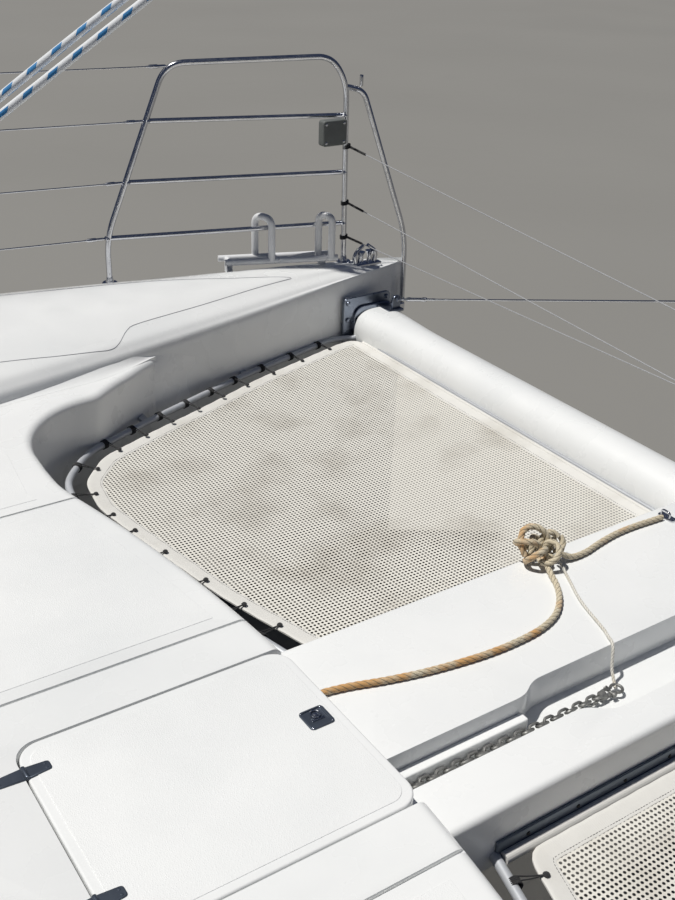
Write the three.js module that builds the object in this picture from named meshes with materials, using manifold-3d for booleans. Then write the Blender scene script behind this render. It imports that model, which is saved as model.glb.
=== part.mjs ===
// A cruising sailing catamaran, afloat: two hulls under a bridge deck with a cabin, a cockpit and a
// foredeck, a walkway beam and a cross beam that carry two nets, a mast with its boom and furled sails,
// rails, rudders and propellers. Millimetres. +X is forward, +Y is to port, +Z is up, and the origin
// lies on the waterline at the middle of the boat.
import * as THREE from "three";
import { mergeVertices } from "three/addons/utils/BufferGeometryUtils.js";
import Module from "manifold-3d";

const wasm = await Module();
wasm.setup();

// Driving dimensions
const TOUCH = 0.3; // left between pieces that rest on each other
const HULL_Y = 2460; // from the boat's middle to each hull's middle
const STERN_X = -5750;
const STEM_X = 5930;
const WALK_Z = 1400; // top of the walkway beam
const FOREDECK_Z = WALK_Z + 65;
const FRONT_X = 3975; // front edge of the foredeck at the middle
const BEAM = { x: 5663, half: 110, top: WALK_Z - 18, bottom: WALK_Z - 240, end: 2290 };
const WALK = { half: 355, bottom: WALK_Z - 300, chamfer: 14, fore: 5625 };
const NET = { z: WALK_Z - 136, thick: 6, rail: 62, railRadius: 13, track: 14 };
const BRIDGE = { bottom: 690, half: 2080, fore: 2250, aft: -4550 };
const SOLE_Z = 1050; // floor of the cockpit and of the saloon
const CABIN = { aft: -1900, front: 2350, half: 1930, wall: 34, roof: 2680 };
const MAST = { x: 1150, foot: 2705, top: 17200, hounds: 15300, long: 105, wide: 68 };
const BOOM = { z: 3950, length: 4750, radius: 75, hinge: 1000, eye: 34, pin: 12 };
const WHEEL = { x: -2215, y: -1150, z: 2050, radius: 360, tube: 14 };
const RAIL_TUBE = 12.5;

// Helpers: every shape is a three.js geometry, and booleans go through manifold-3d
function asSolid(geometry) {
  const bare = geometry.clone();
  for (const name of ["normal", "uv", "color"]) bare.deleteAttribute(name);
  const merged = mergeVertices(bare, 1e-3);
  const triVerts = new Uint32Array(merged.index.array);
  const vertProperties = new Float32Array(merged.attributes.position.array);
  return new wasm.Manifold(new wasm.Mesh({ numProp: 3, vertProperties, triVerts }));
}

function asGeometry(solid) {
  const made = solid.getMesh();
  return new THREE.BufferGeometry()
    .setAttribute("position", new THREE.BufferAttribute(new Float32Array(made.vertProperties), 3))
    .setIndex(new THREE.BufferAttribute(new Uint32Array(made.triVerts), 1));
}

function join(...pieces) {
  return asGeometry(pieces.map(asSolid).reduce((a, b) => a.add(b)));
}

function cut(body, ...tools) {
  return asGeometry(tools.map(asSolid).reduce((a, b) => a.subtract(b), asSolid(body)));
}

function common(a, b) {
  return asGeometry(asSolid(a).intersect(asSolid(b)));
}

function moved(geometry, x, y, z) {
  return geometry.clone().translate(x, y, z);
}

// The same shape on the other side of the boat
function mirrored(geometry) {
  const plain = geometry.index ? geometry.toNonIndexed() : geometry.clone();
  plain.scale(1, -1, 1);
  const p = plain.attributes.position;
  for (let i = 0; i < p.count; i += 3) {
    const [x, y, z] = [p.getX(i), p.getY(i), p.getZ(i)];
    p.setXYZ(i, p.getX(i + 1), p.getY(i + 1), p.getZ(i + 1));
    p.setXYZ(i + 1, x, y, z);
  }
  return plain;
}

function box([x0, x1], [y0, y1], [z0, z1]) {
  const size = [x1 - x0, y1 - y0, z1 - z0];
  return new THREE.BoxGeometry(...size).translate((x0 + x1) / 2, (y0 + y1) / 2, (z0 + z1) / 2);
}

const shapeOf = (points) => new THREE.Shape(points.map(([u, v]) => new THREE.Vector2(u, v)));

// A plan outline in x and y, from z0 up to z1
function slab(outline, z0, z1) {
  const options = { depth: z1 - z0, bevelEnabled: false, curveSegments: 6 };
  return new THREE.ExtrudeGeometry(shapeOf(outline), options).translate(0, 0, z0);
}

// A side outline in x and z, from y0 to y1
function sideways(outline, y0, y1) {
  const options = { depth: y1 - y0, bevelEnabled: false };
  return new THREE.ExtrudeGeometry(shapeOf(outline), options).rotateX(Math.PI / 2).translate(0, y1, 0);
}

// A cross outline in y and z, from x0 to x1
function lengthways(outline, x0, x1) {
  const options = { depth: x1 - x0, bevelEnabled: false };
  const solid = new THREE.ExtrudeGeometry(shapeOf(outline), options);
  return solid.rotateX(Math.PI / 2).rotateZ(Math.PI / 2).translate(x0, 0, 0);
}

// A turned shape about the z axis: profile as [radius, z] pairs, from below to above, closed by the axis
function turned(profile, sides = 16) {
  const points = [[0, profile[0][1]], ...profile, [0, profile.at(-1)[1]]];
  return new THREE.LatheGeometry(points.map(([r, z]) => new THREE.Vector2(r, z)), sides).rotateX(Math.PI / 2);
}

// Aims a shape that stands on the origin along +Z, from one point towards another
function aimed(geometry, from, to) {
  const a = new THREE.Vector3(...from);
  const direction = new THREE.Vector3(...to).sub(a).normalize();
  const turn = new THREE.Quaternion().setFromUnitVectors(new THREE.Vector3(0, 0, 1), direction);
  return geometry.clone().applyQuaternion(turn).translate(a.x, a.y, a.z);
}

// A curve that goes through its own points, one for each step of an extrusion
class Route extends THREE.Curve {
  constructor(points) {
    super();
    this.points = points.map((p) => new THREE.Vector3(...p));
  }
  getPoint(t) {
    const at = t * (this.points.length - 1);
    const i = Math.min(Math.floor(at), this.points.length - 2);
    return this.points[i].clone().lerp(this.points[i + 1], at - i);
  }
  getPointAt(t) {
    return this.getPoint(t);
  }
  getTangentAt(t) {
    const i = Math.round(t * (this.points.length - 1));
    const before = this.points[Math.max(i - 1, 0)];
    const after = this.points[Math.min(i + 1, this.points.length - 1)];
    return after.clone().sub(before).normalize();
  }
}

function tube(points, radius, sides = 6) {
  const ring = Array.from({ length: sides }, (_, i) => {
    const a = (2 * Math.PI * i) / sides;
    return [radius * Math.cos(a), radius * Math.sin(a)];
  });
  const options = { steps: points.length - 1, extrudePath: new Route(points), bevelEnabled: false };
  return new THREE.ExtrudeGeometry(shapeOf(ring), options);
}

// Rounds the corners of a path: each inner point becomes a short arc of the given radius
function rounded(points, radius, arcSteps = 3) {
  const out = [points[0]];
  for (let i = 1; i < points.length - 1; i++) {
    const [a, b, c] = [points[i - 1], points[i], points[i + 1]].map((p) => new THREE.Vector3(...p));
    const reach = Math.min(radius, a.distanceTo(b) / 2.1, b.distanceTo(c) / 2.1);
    const start = b.clone().add(a.clone().sub(b).setLength(reach));
    const end = b.clone().add(c.clone().sub(b).setLength(reach));
    const bend = new THREE.QuadraticBezierCurve3(start, b, end);
    for (const p of bend.getPoints(arcSteps)) out.push(p.toArray());
  }
  out.push(points.at(-1));
  return out;
}

// Joins rings of equal count into a closed skin, each end closed by a fan about its middle
function loft(rings) {
  const position = [];
  const index = [];
  const count = rings[0].length;
  for (const ring of rings) for (const p of ring) position.push(...p);
  for (let s = 0; s + 1 < rings.length; s++)
    for (let i = 0; i < count; i++) {
      const a = s * count + i;
      const b = s * count + ((i + 1) % count);
      index.push(a, b, b + count, a, b + count, a + count);
    }
  for (const [s, flip] of [[0, true], [rings.length - 1, false]]) {
    const middle = [0, 1, 2].map((k) => rings[s].reduce((sum, p) => sum + p[k], 0) / count);
    const centre = position.length / 3;
    position.push(...middle);
    for (let i = 0; i < count; i++) {
      const a = s * count + i;
      const b = s * count + ((i + 1) % count);
      index.push(centre, flip ? b : a, flip ? a : b);
    }
  }
  const geometry = new THREE.BufferGeometry();
  geometry.setAttribute("position", new THREE.Float32BufferAttribute(position, 3));
  geometry.setIndex(index);
  return asSolid(geometry).volume() < 0 ? reversed(geometry) : geometry;
}

function reversed(geometry) {
  const index = Array.from(geometry.index.array);
  for (let i = 0; i < index.length; i += 3) [index[i], index[i + 1]] = [index[i + 1], index[i]];
  return geometry.clone().setIndex(index);
}

// A closed outline moved outwards by a distance, corner by corner
function widened(outline, distance) {
  const area = outline.reduce((sum, [x, y], i) => {
    const [u, v] = outline[(i + 1) % outline.length];
    return sum + x * v - u * y;
  }, 0);
  const side = Math.sign(area) * distance;
  return outline.map((p, i) => {
    const before = outline[(i + outline.length - 1) % outline.length];
    const after = outline[(i + 1) % outline.length];
    const d1 = new THREE.Vector2(p[0] - before[0], p[1] - before[1]).normalize();
    const d2 = new THREE.Vector2(after[0] - p[0], after[1] - p[1]).normalize();
    const n = new THREE.Vector2(d1.y + d2.y, -d1.x - d2.x).normalize();
    const stretch = side / Math.max(0.35, n.x * d1.y - n.y * d1.x);
    return [p[0] + n.x * stretch, p[1] + n.y * stretch];
  });
}

// An arc in a plan outline, angles in degrees
function arc([cx, cy], radius, from, to, steps = 5) {
  return Array.from({ length: steps + 1 }, (_, i) => {
    const a = THREE.MathUtils.degToRad(from + ((to - from) * i) / steps);
    return [cx + radius * Math.cos(a), cy + radius * Math.sin(a)];
  });
}

// A rectangle with round corners, counted from its lower left corner
function roundRect([x0, x1], [y0, y1], radius, steps = 3) {
  return [
    ...arc([x0 + radius, y0 + radius], radius, 180, 270, steps),
    ...arc([x1 - radius, y0 + radius], radius, 270, 360, steps),
    ...arc([x1 - radius, y1 - radius], radius, 0, 90, steps),
    ...arc([x0 + radius, y1 - radius], radius, 90, 180, steps),
  ];
}

// Finishes of the real boat
const FINISH = {
  gelcoat: { color: 0xf1f1ec, roughness: 0.35, metalness: 0 },
  steel: { color: 0xc9ccd0, roughness: 0.25, metalness: 1 },
  alloy: { color: 0xd9dadb, roughness: 0.4, metalness: 0.6 },
  glass: { color: 0x1d2226, roughness: 0.1, metalness: 0 },
  net: { color: 0xe4e2dc, roughness: 0.8, metalness: 0 },
  rope: { color: 0xb89a72, roughness: 0.9, metalness: 0 },
  line: { color: 0xe9e7e0, roughness: 0.85, metalness: 0 },
  canvas: { color: 0xd8d8d4, roughness: 0.9, metalness: 0 },
  vinyl: { color: 0xcfd0cc, roughness: 0.6, metalness: 0 },
  zinc: { color: 0x8b8b86, roughness: 0.6, metalness: 0.8 },
  bronze: { color: 0xa8843f, roughness: 0.4, metalness: 0.9 },
  engine: { color: 0x6d7478, roughness: 0.6, metalness: 0.2 },
};

const boat = new THREE.Group();
const shapes = {};

// Adds one named piece of the boat
function place(name, finish, geometry) {
  const skin = geometry.index ? geometry.toNonIndexed() : geometry.clone();
  skin.computeVertexNormals();
  const mesh = new THREE.Mesh(skin, new THREE.MeshStandardMaterial(FINISH[finish]));
  mesh.name = name;
  boat.add(mesh);
  shapes[name] = geometry;
}

// Adds a piece on the port side, and its mirror image to starboard
function placePair(name, finish, geometry) {
  place(name + "_port", finish, geometry);
  place(name + "_starboard", finish, mirrored(geometry));
}

// Hulls: one row for each station along the port hull
const HULL_STATIONS = [
  // x, half width at the deck, half width at the waterline, keel line, deck edge
  [STERN_X, 600, 470, -40, 1500],
  [-4800, 690, 560, -230, 1510],
  [-3500, 760, 610, -380, 1520],
  [-1500, 800, 640, -470, 1530],
  [500, 800, 630, -490, 1540],
  [2200, 730, 540, -460, 1550],
  [3300, 590, 410, -420, 1555],
  [4140, 440, 290, -370, 1555],
  [4900, 275, 165, -310, 1550],
  [5500, 130, 75, -240, 1540],
  [5850, 45, 26, -170, 1515],
  [STEM_X, 14, 10, -110, 1500],
];

// Straight-line reading of a station column at any x
function hullAt(x, column) {
  const i = Math.max(1, HULL_STATIONS.findIndex((row) => row[0] >= x));
  const [a, b] = [HULL_STATIONS[i - 1], HULL_STATIONS[i]];
  const t = (x - a[0]) / (b[0] - a[0]);
  return a[column] + t * (b[column] - a[column]);
}

const deckZ = (x) => hullAt(x, 4) + 0.1 * hullAt(x, 1);

function hullRing([x, deck, water, keel, edge]) {
  const shoulder = Math.min(120, 0.5 * deck);
  const half = [
    [0.3 * water, 0.97 * keel],
    [0.66 * water, 0.7 * keel],
    [0.92 * water, 0.28 * keel],
    [water + 0.12 * (deck - water), 150],
    [water + 0.7 * (deck - water), 650],
    [deck, edge - 420],
    [deck, edge - shoulder],
    [deck - 0.3 * shoulder, edge - 0.3 * shoulder],
    [deck - shoulder, edge],
    [0.35 * deck, edge + 0.09 * deck],
  ];
  const right = half.map(([y, z]) => [x, HULL_Y - y, z]).reverse();
  const left = half.map(([y, z]) => [x, HULL_Y + y, z]);
  return [[x, HULL_Y, keel], ...left, [x, HULL_Y, edge + 0.1 * deck], ...right];
}

// Boarding steps cut into the stern: aft of x, above z
const STERN_STEPS = [
  [-4700, 1200],
  [-5040, 850],
  [-5380, 450],
];
const KEEL = { x: -350, length: 2300, depth: -1120, half: 130 };
const RUDDER = { x: -5060, y: HULL_Y, stock: 22, top: 120, chord: 520, depth: -1000 };
const BAY = { x: [-4560, -3760], half: 310, floor: 250 };
const LID_RIM = { wide: 40, round: 55, thick: 30 }; // of the engine bay lids, past the edge of the bay
const DRIVE_X = -3850;
const LID_Z = 1590; // upper face of the engine bay lids
const LID_GAP = 5; // round the lids
const LID_SWING = 50; // room ahead of the lids for their forward edge as they swing up

const keelFoil = (scale, z) =>
  Array.from({ length: 14 }, (_, i) => {
    const a = (2 * Math.PI * i) / 14;
    const along = Math.cos(a);
    return [
      KEEL.x + (along * KEEL.length * scale) / 2,
      HULL_Y + KEEL.half * scale * Math.sin(a) * (0.78 + 0.22 * along),
      z,
    ];
  });

function hull() {
  let body = join(
    loft(HULL_STATIONS.map(hullRing)),
    loft([keelFoil(1, -330), keelFoil(0.86, -800), keelFoil(0.7, KEEL.depth)]),
  );
  const wide = [HULL_Y - 900, HULL_Y + 900];
  body = cut(body, ...STERN_STEPS.map(([x, z]) => box([STERN_X - 50, x], wide, [z, 1800])));
  const bay = [HULL_Y - BAY.half, HULL_Y + BAY.half];
  const reach = LID_RIM.wide + LID_GAP;
  const length = [BAY.x[0] - reach, BAY.x[1] + LID_RIM.wide + LID_SWING];
  const rebate = roundRect(length, [bay[0] - reach, bay[1] + reach], LID_RIM.round + LID_GAP);
  const bore = turned([[RUDDER.stock + 0.8, -600], [RUDDER.stock + 0.8, RUDDER.top]], 24);
  return cut(
    body,
    box(BAY.x, bay, [BAY.floor, 1800]),
    slab(rebate, LID_Z - LID_RIM.thick, 1800),
    moved(bore, RUDDER.x, RUDDER.y, 0),
  );
}

const hullPort = hull();
const hullStarboard = mirrored(hullPort);
place("hull_port", "gelcoat", hullPort);
place("hull_starboard", "gelcoat", hullStarboard);

// Cuts a piece back to what carries it, with the touching gap on each side that it comes from
function seated(piece, carrier, ...sides) {
  return cut(piece, ...sides.map(([dx, dy, dz]) => moved(carrier, dx * TOUCH, dy * TOUCH, dz * TOUCH)));
}
const [FORE, AFT, UP, DOWN] = [[1, 0, 0], [-1, 0, 0], [0, 0, 1], [0, 0, -1]];
const [INWARD, OUTWARD] = [[0, -1, 0], [0, 1, 0]];

// Engine bays: lids, engines, saildrive legs, propellers and rudders
function engineLid() {
  const { wide, round, thick } = LID_RIM;
  const across = [HULL_Y - BAY.half - wide, HULL_Y + BAY.half + wide];
  const outline = roundRect([BAY.x[0] - wide, BAY.x[1] + wide], across, round);
  return slab(outline, LID_Z - thick + TOUCH, LID_Z);
}
placePair("engine_lid", "gelcoat", engineLid());
placePair("engine", "engine", box([-4480, -3900], [HULL_Y - 220, HULL_Y + 220], [BAY.floor + TOUCH, 900]));

const PROP = { x: DRIVE_X - 330, z: -640, radius: 205, hub: 42, long: 110 };
function saildrive() {
  const foil = (z, chord, half, shift) =>
    [-1, -0.45, 0.3, 0.85, 1].flatMap((u, i, all) => {
      const w = half * Math.sqrt(1 - u * u * 0.96);
      return i === 0 || i === all.length - 1
        ? [[DRIVE_X + shift + u * chord, HULL_Y, z]]
        : [[DRIVE_X + shift + u * chord, HULL_Y + w, z]];
    }).concat(
      [0.85, 0.3, -0.45].map((u) => [
        DRIVE_X + shift + u * chord,
        HULL_Y - half * Math.sqrt(1 - u * u * 0.96),
        z,
      ]),
    );
  const leg = loft([foil(PROP.z, 130, 30, -20), foil(-150, 190, 55, 0)]);
  const pod = aimed(
    turned([[12, 0], [48, 60], [62, 200], [60, 330], [40, 420 - TOUCH]], 12),
    [DRIVE_X + 140, HULL_Y, PROP.z],
    [PROP.x, HULL_Y, PROP.z],
  );
  return seated(join(leg, pod), hullPort, DOWN);
}
placePair("saildrive", "engine", saildrive());

function propeller() {
  const hub = turned([[30, -PROP.long], [PROP.hub, -PROP.long + 35], [PROP.hub, -TOUCH]], 12);
  const blades = [0, 120, 240].map((turn) =>
    new THREE.CapsuleGeometry(52, 100, 3, 8)
      .scale(1, 1, 0.16)
      .rotateY(THREE.MathUtils.degToRad(32))
      .translate(0, PROP.radius - 102, -PROP.long / 2)
      .rotateZ(THREE.MathUtils.degToRad(turn)),
  );
  return join(hub, ...blades).rotateY(Math.PI / 2).translate(PROP.x + 50, HULL_Y, PROP.z);
}
placePair("propeller", "bronze", propeller());

// Section of a rudder blade: share of the chord ahead of the stock, share of the half thickness
const BLADE = [
  [0.26, 0],
  [0.16, 0.75],
  [-0.1, 1],
  [-0.45, 0.6],
  [-0.74, 0],
  [-0.45, -0.6],
  [-0.1, -1],
  [0.16, -0.75],
];
function rudder() {
  const blade = (z, chord, half) => BLADE.map(([u, v]) => [RUDDER.x + u * chord, RUDDER.y + v * half, z]);
  const top = -250;
  const stock = turned([[RUDDER.stock, -700], [RUDDER.stock, RUDDER.top - 1]], 24);
  return join(
    loft([blade(RUDDER.depth, RUDDER.chord * 0.72, 24), blade(top, RUDDER.chord, 34)]),
    moved(stock, RUDDER.x, RUDDER.y, 0),
  );
}
placePair("rudder", "gelcoat", rudder());

// Bridge deck with the foredeck, the saloon floor and the cockpit
const bridgeSide = [
  [FRONT_X, FOREDECK_Z],
  [FRONT_X, WALK_Z - 265],
  [FRONT_X - 160, WALK_Z - 420],
  [3250, 790],
  [2500, BRIDGE.bottom],
  [BRIDGE.aft, BRIDGE.bottom],
  [BRIDGE.aft, FOREDECK_Z],
];
const CORNER = { x: 4130, y: 1545, radius: 325 }; // hollow corner between the foredeck and a hull
const LEDGE_TIP = 4560; // forward end of the foredeck's side ledges along the hulls
const frontHalf = [
  [FRONT_X, 0],
  [FRONT_X - 12, 400],
  [FRONT_X - 60, 800],
  [CORNER.x - CORNER.radius, 1300],
  ...arc([CORNER.x, CORNER.y], CORNER.radius, 180, 90, 12),
  [LEDGE_TIP, 2080],
  [LEDGE_TIP, BRIDGE.fore],
  [3500, BRIDGE.fore],
  [3300, BRIDGE.half],
];
const bridgePlan = [
  ...frontHalf,
  [BRIDGE.aft, BRIDGE.half],
  [BRIDGE.aft, -BRIDGE.half],
  ...frontHalf.slice(1).reverse().map(([x, y]) => [x, -y]),
];
const LOCKER = { x: [3330, 3890], y: [-235, 235], floor: 960 };
const LID = { x: [3285, 3962], y: [-290, 290], thick: 42, round: 55 };
const GROOVE_Y = 440;
// Wells in the bridge deck, down to the sole: x range and y range
const COCKPIT = [[-4050, -1960], [-1250, 1250]];
const SALOON = [[CABIN.aft + CABIN.wall, 2150], [-1600, 1600]];
const PASSAGE = [[-1990, -1840], [-420, 620]];

function bridgeDeck() {
  const [, ...below] = bridgeSide;
  const whole = common(
    sideways([[LEDGE_TIP, FOREDECK_Z], [LEDGE_TIP, WALK_Z - 265], ...below], -BRIDGE.fore, BRIDGE.fore),
    slab(bridgePlan, 500, FOREDECK_Z),
  );
  const lidSeat = roundRect([LID.x[0] - 5, LID.x[1] + 60], [LID.y[0] - 5, LID.y[1] + 5], LID.round);
  const grooves = [-1, 1].map((s) =>
    box([3000, FRONT_X + 50], [s * GROOVE_Y - 3, s * GROOVE_Y + 3], [FOREDECK_Z - 7, FOREDECK_Z + 5]),
  );
  return seated(
    seated(
      cut(
        whole,
        ...[COCKPIT, SALOON, PASSAGE].map((well) => box(...well, [SOLE_Z, 1600])),
        box(LOCKER.x, LOCKER.y, [LOCKER.floor, 1600]),
        slab(lidSeat, FOREDECK_Z - LID.thick - TOUCH, 1600),
        box([LOCKER.x[1] - 20, FRONT_X + 60], CHANNEL.narrow, [CHANNEL.floor, 1600]),
        box([LOCKER.x[1] - 20, FRONT_X + 60], ROPE_SLOT, [WALK_Z, 1600]),
        ...grooves,
      ),
      hullPort,
      [0, -1, 0],
    ),
    hullStarboard,
    [0, 1, 0],
  );
}
const CHANNEL = { narrow: [-210, -105], wide: [-258, -72], floor: WALK_Z - 90, step: [4420, 4570] };
const ROPE_SLOT = [122, 182];
place("bridge_deck", "gelcoat", bridgeDeck());

// Anchor locker lid on two strap hinges, with a flush latch
const HINGES_Y = [-165, 205];
function anchorLid() {
  const plate = slab(roundRect(LID.x, LID.y, LID.round), FOREDECK_Z - LID.thick, FOREDECK_Z);
  const straps = HINGES_Y.map((y) =>
    box([LID.x[0] + 10, LID.x[0] + 75], [y - 16, y + 16], [FOREDECK_Z - 2, FOREDECK_Z + 4]),
  );
  const latch = slab(roundRect([3875, 3925], [-5, 65], 12, 2), FOREDECK_Z - 2, FOREDECK_Z + 3);
  return join(plate, ...straps, latch);
}
place("anchor_lid", "gelcoat", anchorLid());

// Cross beam between the bows, its end brackets, and the walkway beam with the chain channel
function beamRing() {
  const [cz, rz] = [(BEAM.top + BEAM.bottom) / 2, (BEAM.top - BEAM.bottom) / 2];
  return Array.from({ length: 20 }, (_, i) => {
    const a = (2 * Math.PI * i) / 20;
    const bulge = (v) => Math.sign(v) * Math.abs(v) ** 0.92;
    return [BEAM.x + BEAM.half * bulge(Math.cos(a)), cz + rz * bulge(Math.sin(a))];
  });
}
place("cross_beam", "gelcoat", sideways(beamRing(), -BEAM.end, BEAM.end));

function beamBracket() {
  const { x, end, top, bottom } = BEAM;
  const plate = box([x - 170, x + 85], [end + TOUCH, 2400], [bottom + 60, top + 62]);
  const ear = box([x + 45, x + 63], [end - 62, end + 10], [top + TOUCH, top + 48]);
  const stool = box([x + 5, x + 84], [end - 70, end + 5], [top + TOUCH, top + 9]);
  return seated(join(plate, ear, stool), hullPort, INWARD);
}
placePair("beam_bracket", "steel", beamBracket());

function walkway() {
  const { half, bottom, chamfer } = WALK;
  const side = [
    [half - chamfer, WALK_Z],
    [half, WALK_Z - chamfer],
    [half, WALK_Z - 170],
    [half - 90, bottom],
  ];
  const section = [...side, ...side.map(([y, z]) => [-y, z]).reverse()];
  const [n, w] = [CHANNEL.narrow, CHANNEL.wide];
  const channel = [
    [3800, n[0]],
    [CHANNEL.step[1] - 60, n[0]],
    [CHANNEL.step[1], w[0]],
    [WALK.fore + 20, w[0]],
    [WALK.fore + 20, w[1]],
    [CHANNEL.step[0] + 50, w[1]],
    [CHANNEL.step[0], n[1]],
    [3800, n[1]],
  ];
  return cut(
    lengthways(section, 3900, WALK.fore),
    slab(channel, CHANNEL.floor, WALK_Z + 20),
    moved(shapes.cross_beam, -TOUCH, 0, 0),
    moved(shapes.cross_beam, 0, 0, TOUCH),
    moved(slab(bridgePlan, 500, FOREDECK_Z), TOUCH, 0, 0),
  );
}
place("walkway_beam", "gelcoat", walkway());

// Nets: plan outline of the port net's hem, from its inner aft corner round to its inner forward corner
const NET_EDGE = [
  [4115, 386],
  [4040, 800],
  [3975, 1200],
  [3950, 1450],
  [3985, 1640],
  [4110, 1782],
  [4375, 1895],
  [4922, 2095],
  [5440, 2240],
  [5524, 2240],
  [5524, 386],
];
const LACED = 8; // the first sides of that outline are laced to a tube, and the others run in a track

function netAndLacing() {
  const sheet = slab(NET_EDGE, NET.z - NET.thick / 2, NET.z + NET.thick / 2);
  const straps = [];
  const outer = widened(NET_EDGE, NET.rail);
  for (let i = 0; i < LACED; i++) {
    const [a, b] = [NET_EDGE[i], NET_EDGE[i + 1]];
    const length = Math.hypot(b[0] - a[0], b[1] - a[1]);
    const [c, d] = [outer[i], outer[i + 1]];
    const count = Math.max(1, Math.round(length / 260));
    for (let k = 0; k < count; k++) {
      const t = (k + 0.5) / count;
      const inner = [a[0] + t * (b[0] - a[0]), a[1] + t * (b[1] - a[1])];
      const reach = [c[0] + t * (d[0] - c[0]), c[1] + t * (d[1] - c[1])];
      const along = [(b[0] - a[0]) / length, (b[1] - a[1]) / length];
      const away = [reach[0] - inner[0], reach[1] - inner[1]];
      const back = [inner[0] - away[0] * 0.4, inner[1] - away[1] * 0.4];
      const corner = (p, s) => [p[0] + s * 6 * along[0], p[1] + s * 6 * along[1]];
      const strap = [corner(back, -1), corner(reach, -1), corner(reach, 1), corner(back, 1)];
      straps.push(slab(strap, NET.z - 2, NET.z + 2));
    }
  }
  return cut(join(sheet, ...straps), railPipe(0.5));
}

function railPipe(grow) {
  const line = widened(NET_EDGE, NET.rail).slice(1, LACED + 1).map(([x, y]) => [x, y, NET.z]);
  const start = [NET_EDGE[0][0] - NET.rail, WALK.half - 10, NET.z];
  const end = [BEAM.x - BEAM.half - 18, NET_EDGE[LACED][1] + 26, NET.z];
  return tube([start, ...line, end], NET.railRadius + grow, 6);
}
placePair("net", "net", netAndLacing());

function lacingRail() {
  const lugs = [
    // x range and y range of each lug that holds the tube to its wall
    [[4345, 4375], [1958, 2020]],
    [[4890, 4920], [2158, 2320]],
    [[5270, 5300], [2263, 2380]],
    [[3880, 3963], [880, 910]],
    [[3780, 3892], [1380, 1410]],
  ].map(([x, y]) => box(x, y, [NET.z - 8, NET.z + 8]));
  const tall = [NET.z - NET.track, NET.z + NET.track];
  const tracks = [
    box([NET_EDGE[0][0] - NET.rail, BEAM.x - 60], [WALK.half - 5, NET_EDGE[0][1] - TOUCH], tall),
    box([NET_EDGE.at(-1)[0] + TOUCH, BEAM.x - 60], [WALK.half - 5, BEAM.end - 2], tall),
  ];
  let rail = join(railPipe(0), ...tracks, ...lugs);
  rail = seated(rail, hullPort, INWARD);
  rail = seated(rail, shapes.bridge_deck, FORE);
  rail = seated(rail, shapes.walkway_beam, OUTWARD);
  rail = seated(rail, shapes.beam_bracket_port, INWARD);
  return seated(rail, shapes.cross_beam, AFT);
}
placePair("lacing_rail", "gelcoat", lacingRail());

// Pulpit on each bow: a hoop of tube with three rails, a second hoop down to the stem, and base flanges
const DECK = 1570; // bow deck under the rails
function pulpit() {
  const hoop = rounded(
    [
      [4580, 2768, DECK - 30],
      [4580, 2768, WALK_Z + 330],
      [4868, 2735, WALK_Z + 1030],
      [5525, 2500, WALK_Z + 1052],
      [5600, 2494, WALK_Z + 940],
      [5610, 2490, DECK - 50],
    ],
    85,
  );
  const stemHoop = rounded(
    [
      [5596, 2495, WALK_Z + 925],
      [5680, 2478, WALK_Z + 905],
      [5889, 2400, WALK_Z + 256],
      [5894, 2400, WALK_Z - 100],
    ],
    60,
  );
  const rails = [
    // height above the walkway, aft end, forward end
    [806, [4783, 2744], [5594, 2495]],
    [560, [4684, 2756], [5598, 2493]],
    [330, [4582, 2768], [5602, 2492]],
  ].map(([z, aft, fore]) => tube([[...aft, WALK_Z + z], [...fore, WALK_Z + z]], RAIL_TUBE - 2, 8));
  const flanges = [[4580, 2768], [5610, 2490]].map(([x, y]) =>
    moved(turned([[32, DECK - 60], [32, DECK + 12]], 8), x, y, 0),
  );
  const heel = box([5868, 5912], [2385, 2450], [WALK_Z - 115, WALK_Z - 70]);
  const whole = join(tube(hoop, RAIL_TUBE), tube(stemHoop, RAIL_TUBE), ...rails, ...flanges, heel);
  return seated(seated(whole, hullPort, UP), hullPort, INWARD);
}
placePair("pulpit", "steel", pulpit());

// Side rails: stanchions on the outer deck edge, four lifelines, and a bent rail at the stern
const STANCHIONS_X = [3250, 1800, 350, -1100, -2500, -3850];
const LIFELINES = [330, 560, 806, 1020]; // heights above the walkway
function sideRail() {
  const edgeY = (x) => HULL_Y + hullAt(x, 1) - 95;
  const posts = STANCHIONS_X.map((x) => {
    const foot = [x, edgeY(x), hullAt(x, 4) - 60];
    const head = [x, edgeY(x), WALK_Z + 1030];
    const flange = moved(turned([[30, -60], [30, 14]], 8), foot[0], foot[1], hullAt(x, 4));
    return join(tube([foot, head], 13), flange);
  });
  const aftX = -4550;
  const aftPost = rounded(
    [
      [STANCHIONS_X.at(-1), edgeY(-3850), WALK_Z + 1020],
      [aftX, edgeY(aftX), WALK_Z + 1000],
      [aftX - 40, edgeY(aftX) - 10, WALK_Z + 60],
      [aftX - 40, edgeY(aftX) - 10, 1440],
    ],
    110,
  );
  const heads = [[4585, 2768], [4672, 2756], [4772, 2744], [4850, 2735]];
  const wires = LIFELINES.map((z, i) => {
    const points = [[heads[i][0] - 22, heads[i][1], WALK_Z + z]];
    for (const x of STANCHIONS_X) points.push([x, edgeY(x), WALK_Z + z]);
    if (i < 3) points.push([aftX - 25, edgeY(aftX) - 8, WALK_Z + z]);
    return tube(points, 4, 4);
  });
  const whole = join(...posts, tube(aftPost, RAIL_TUBE), ...wires);
  return seated(whole, hullPort, UP);
}
placePair("side_rail", "steel", sideRail());

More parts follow.
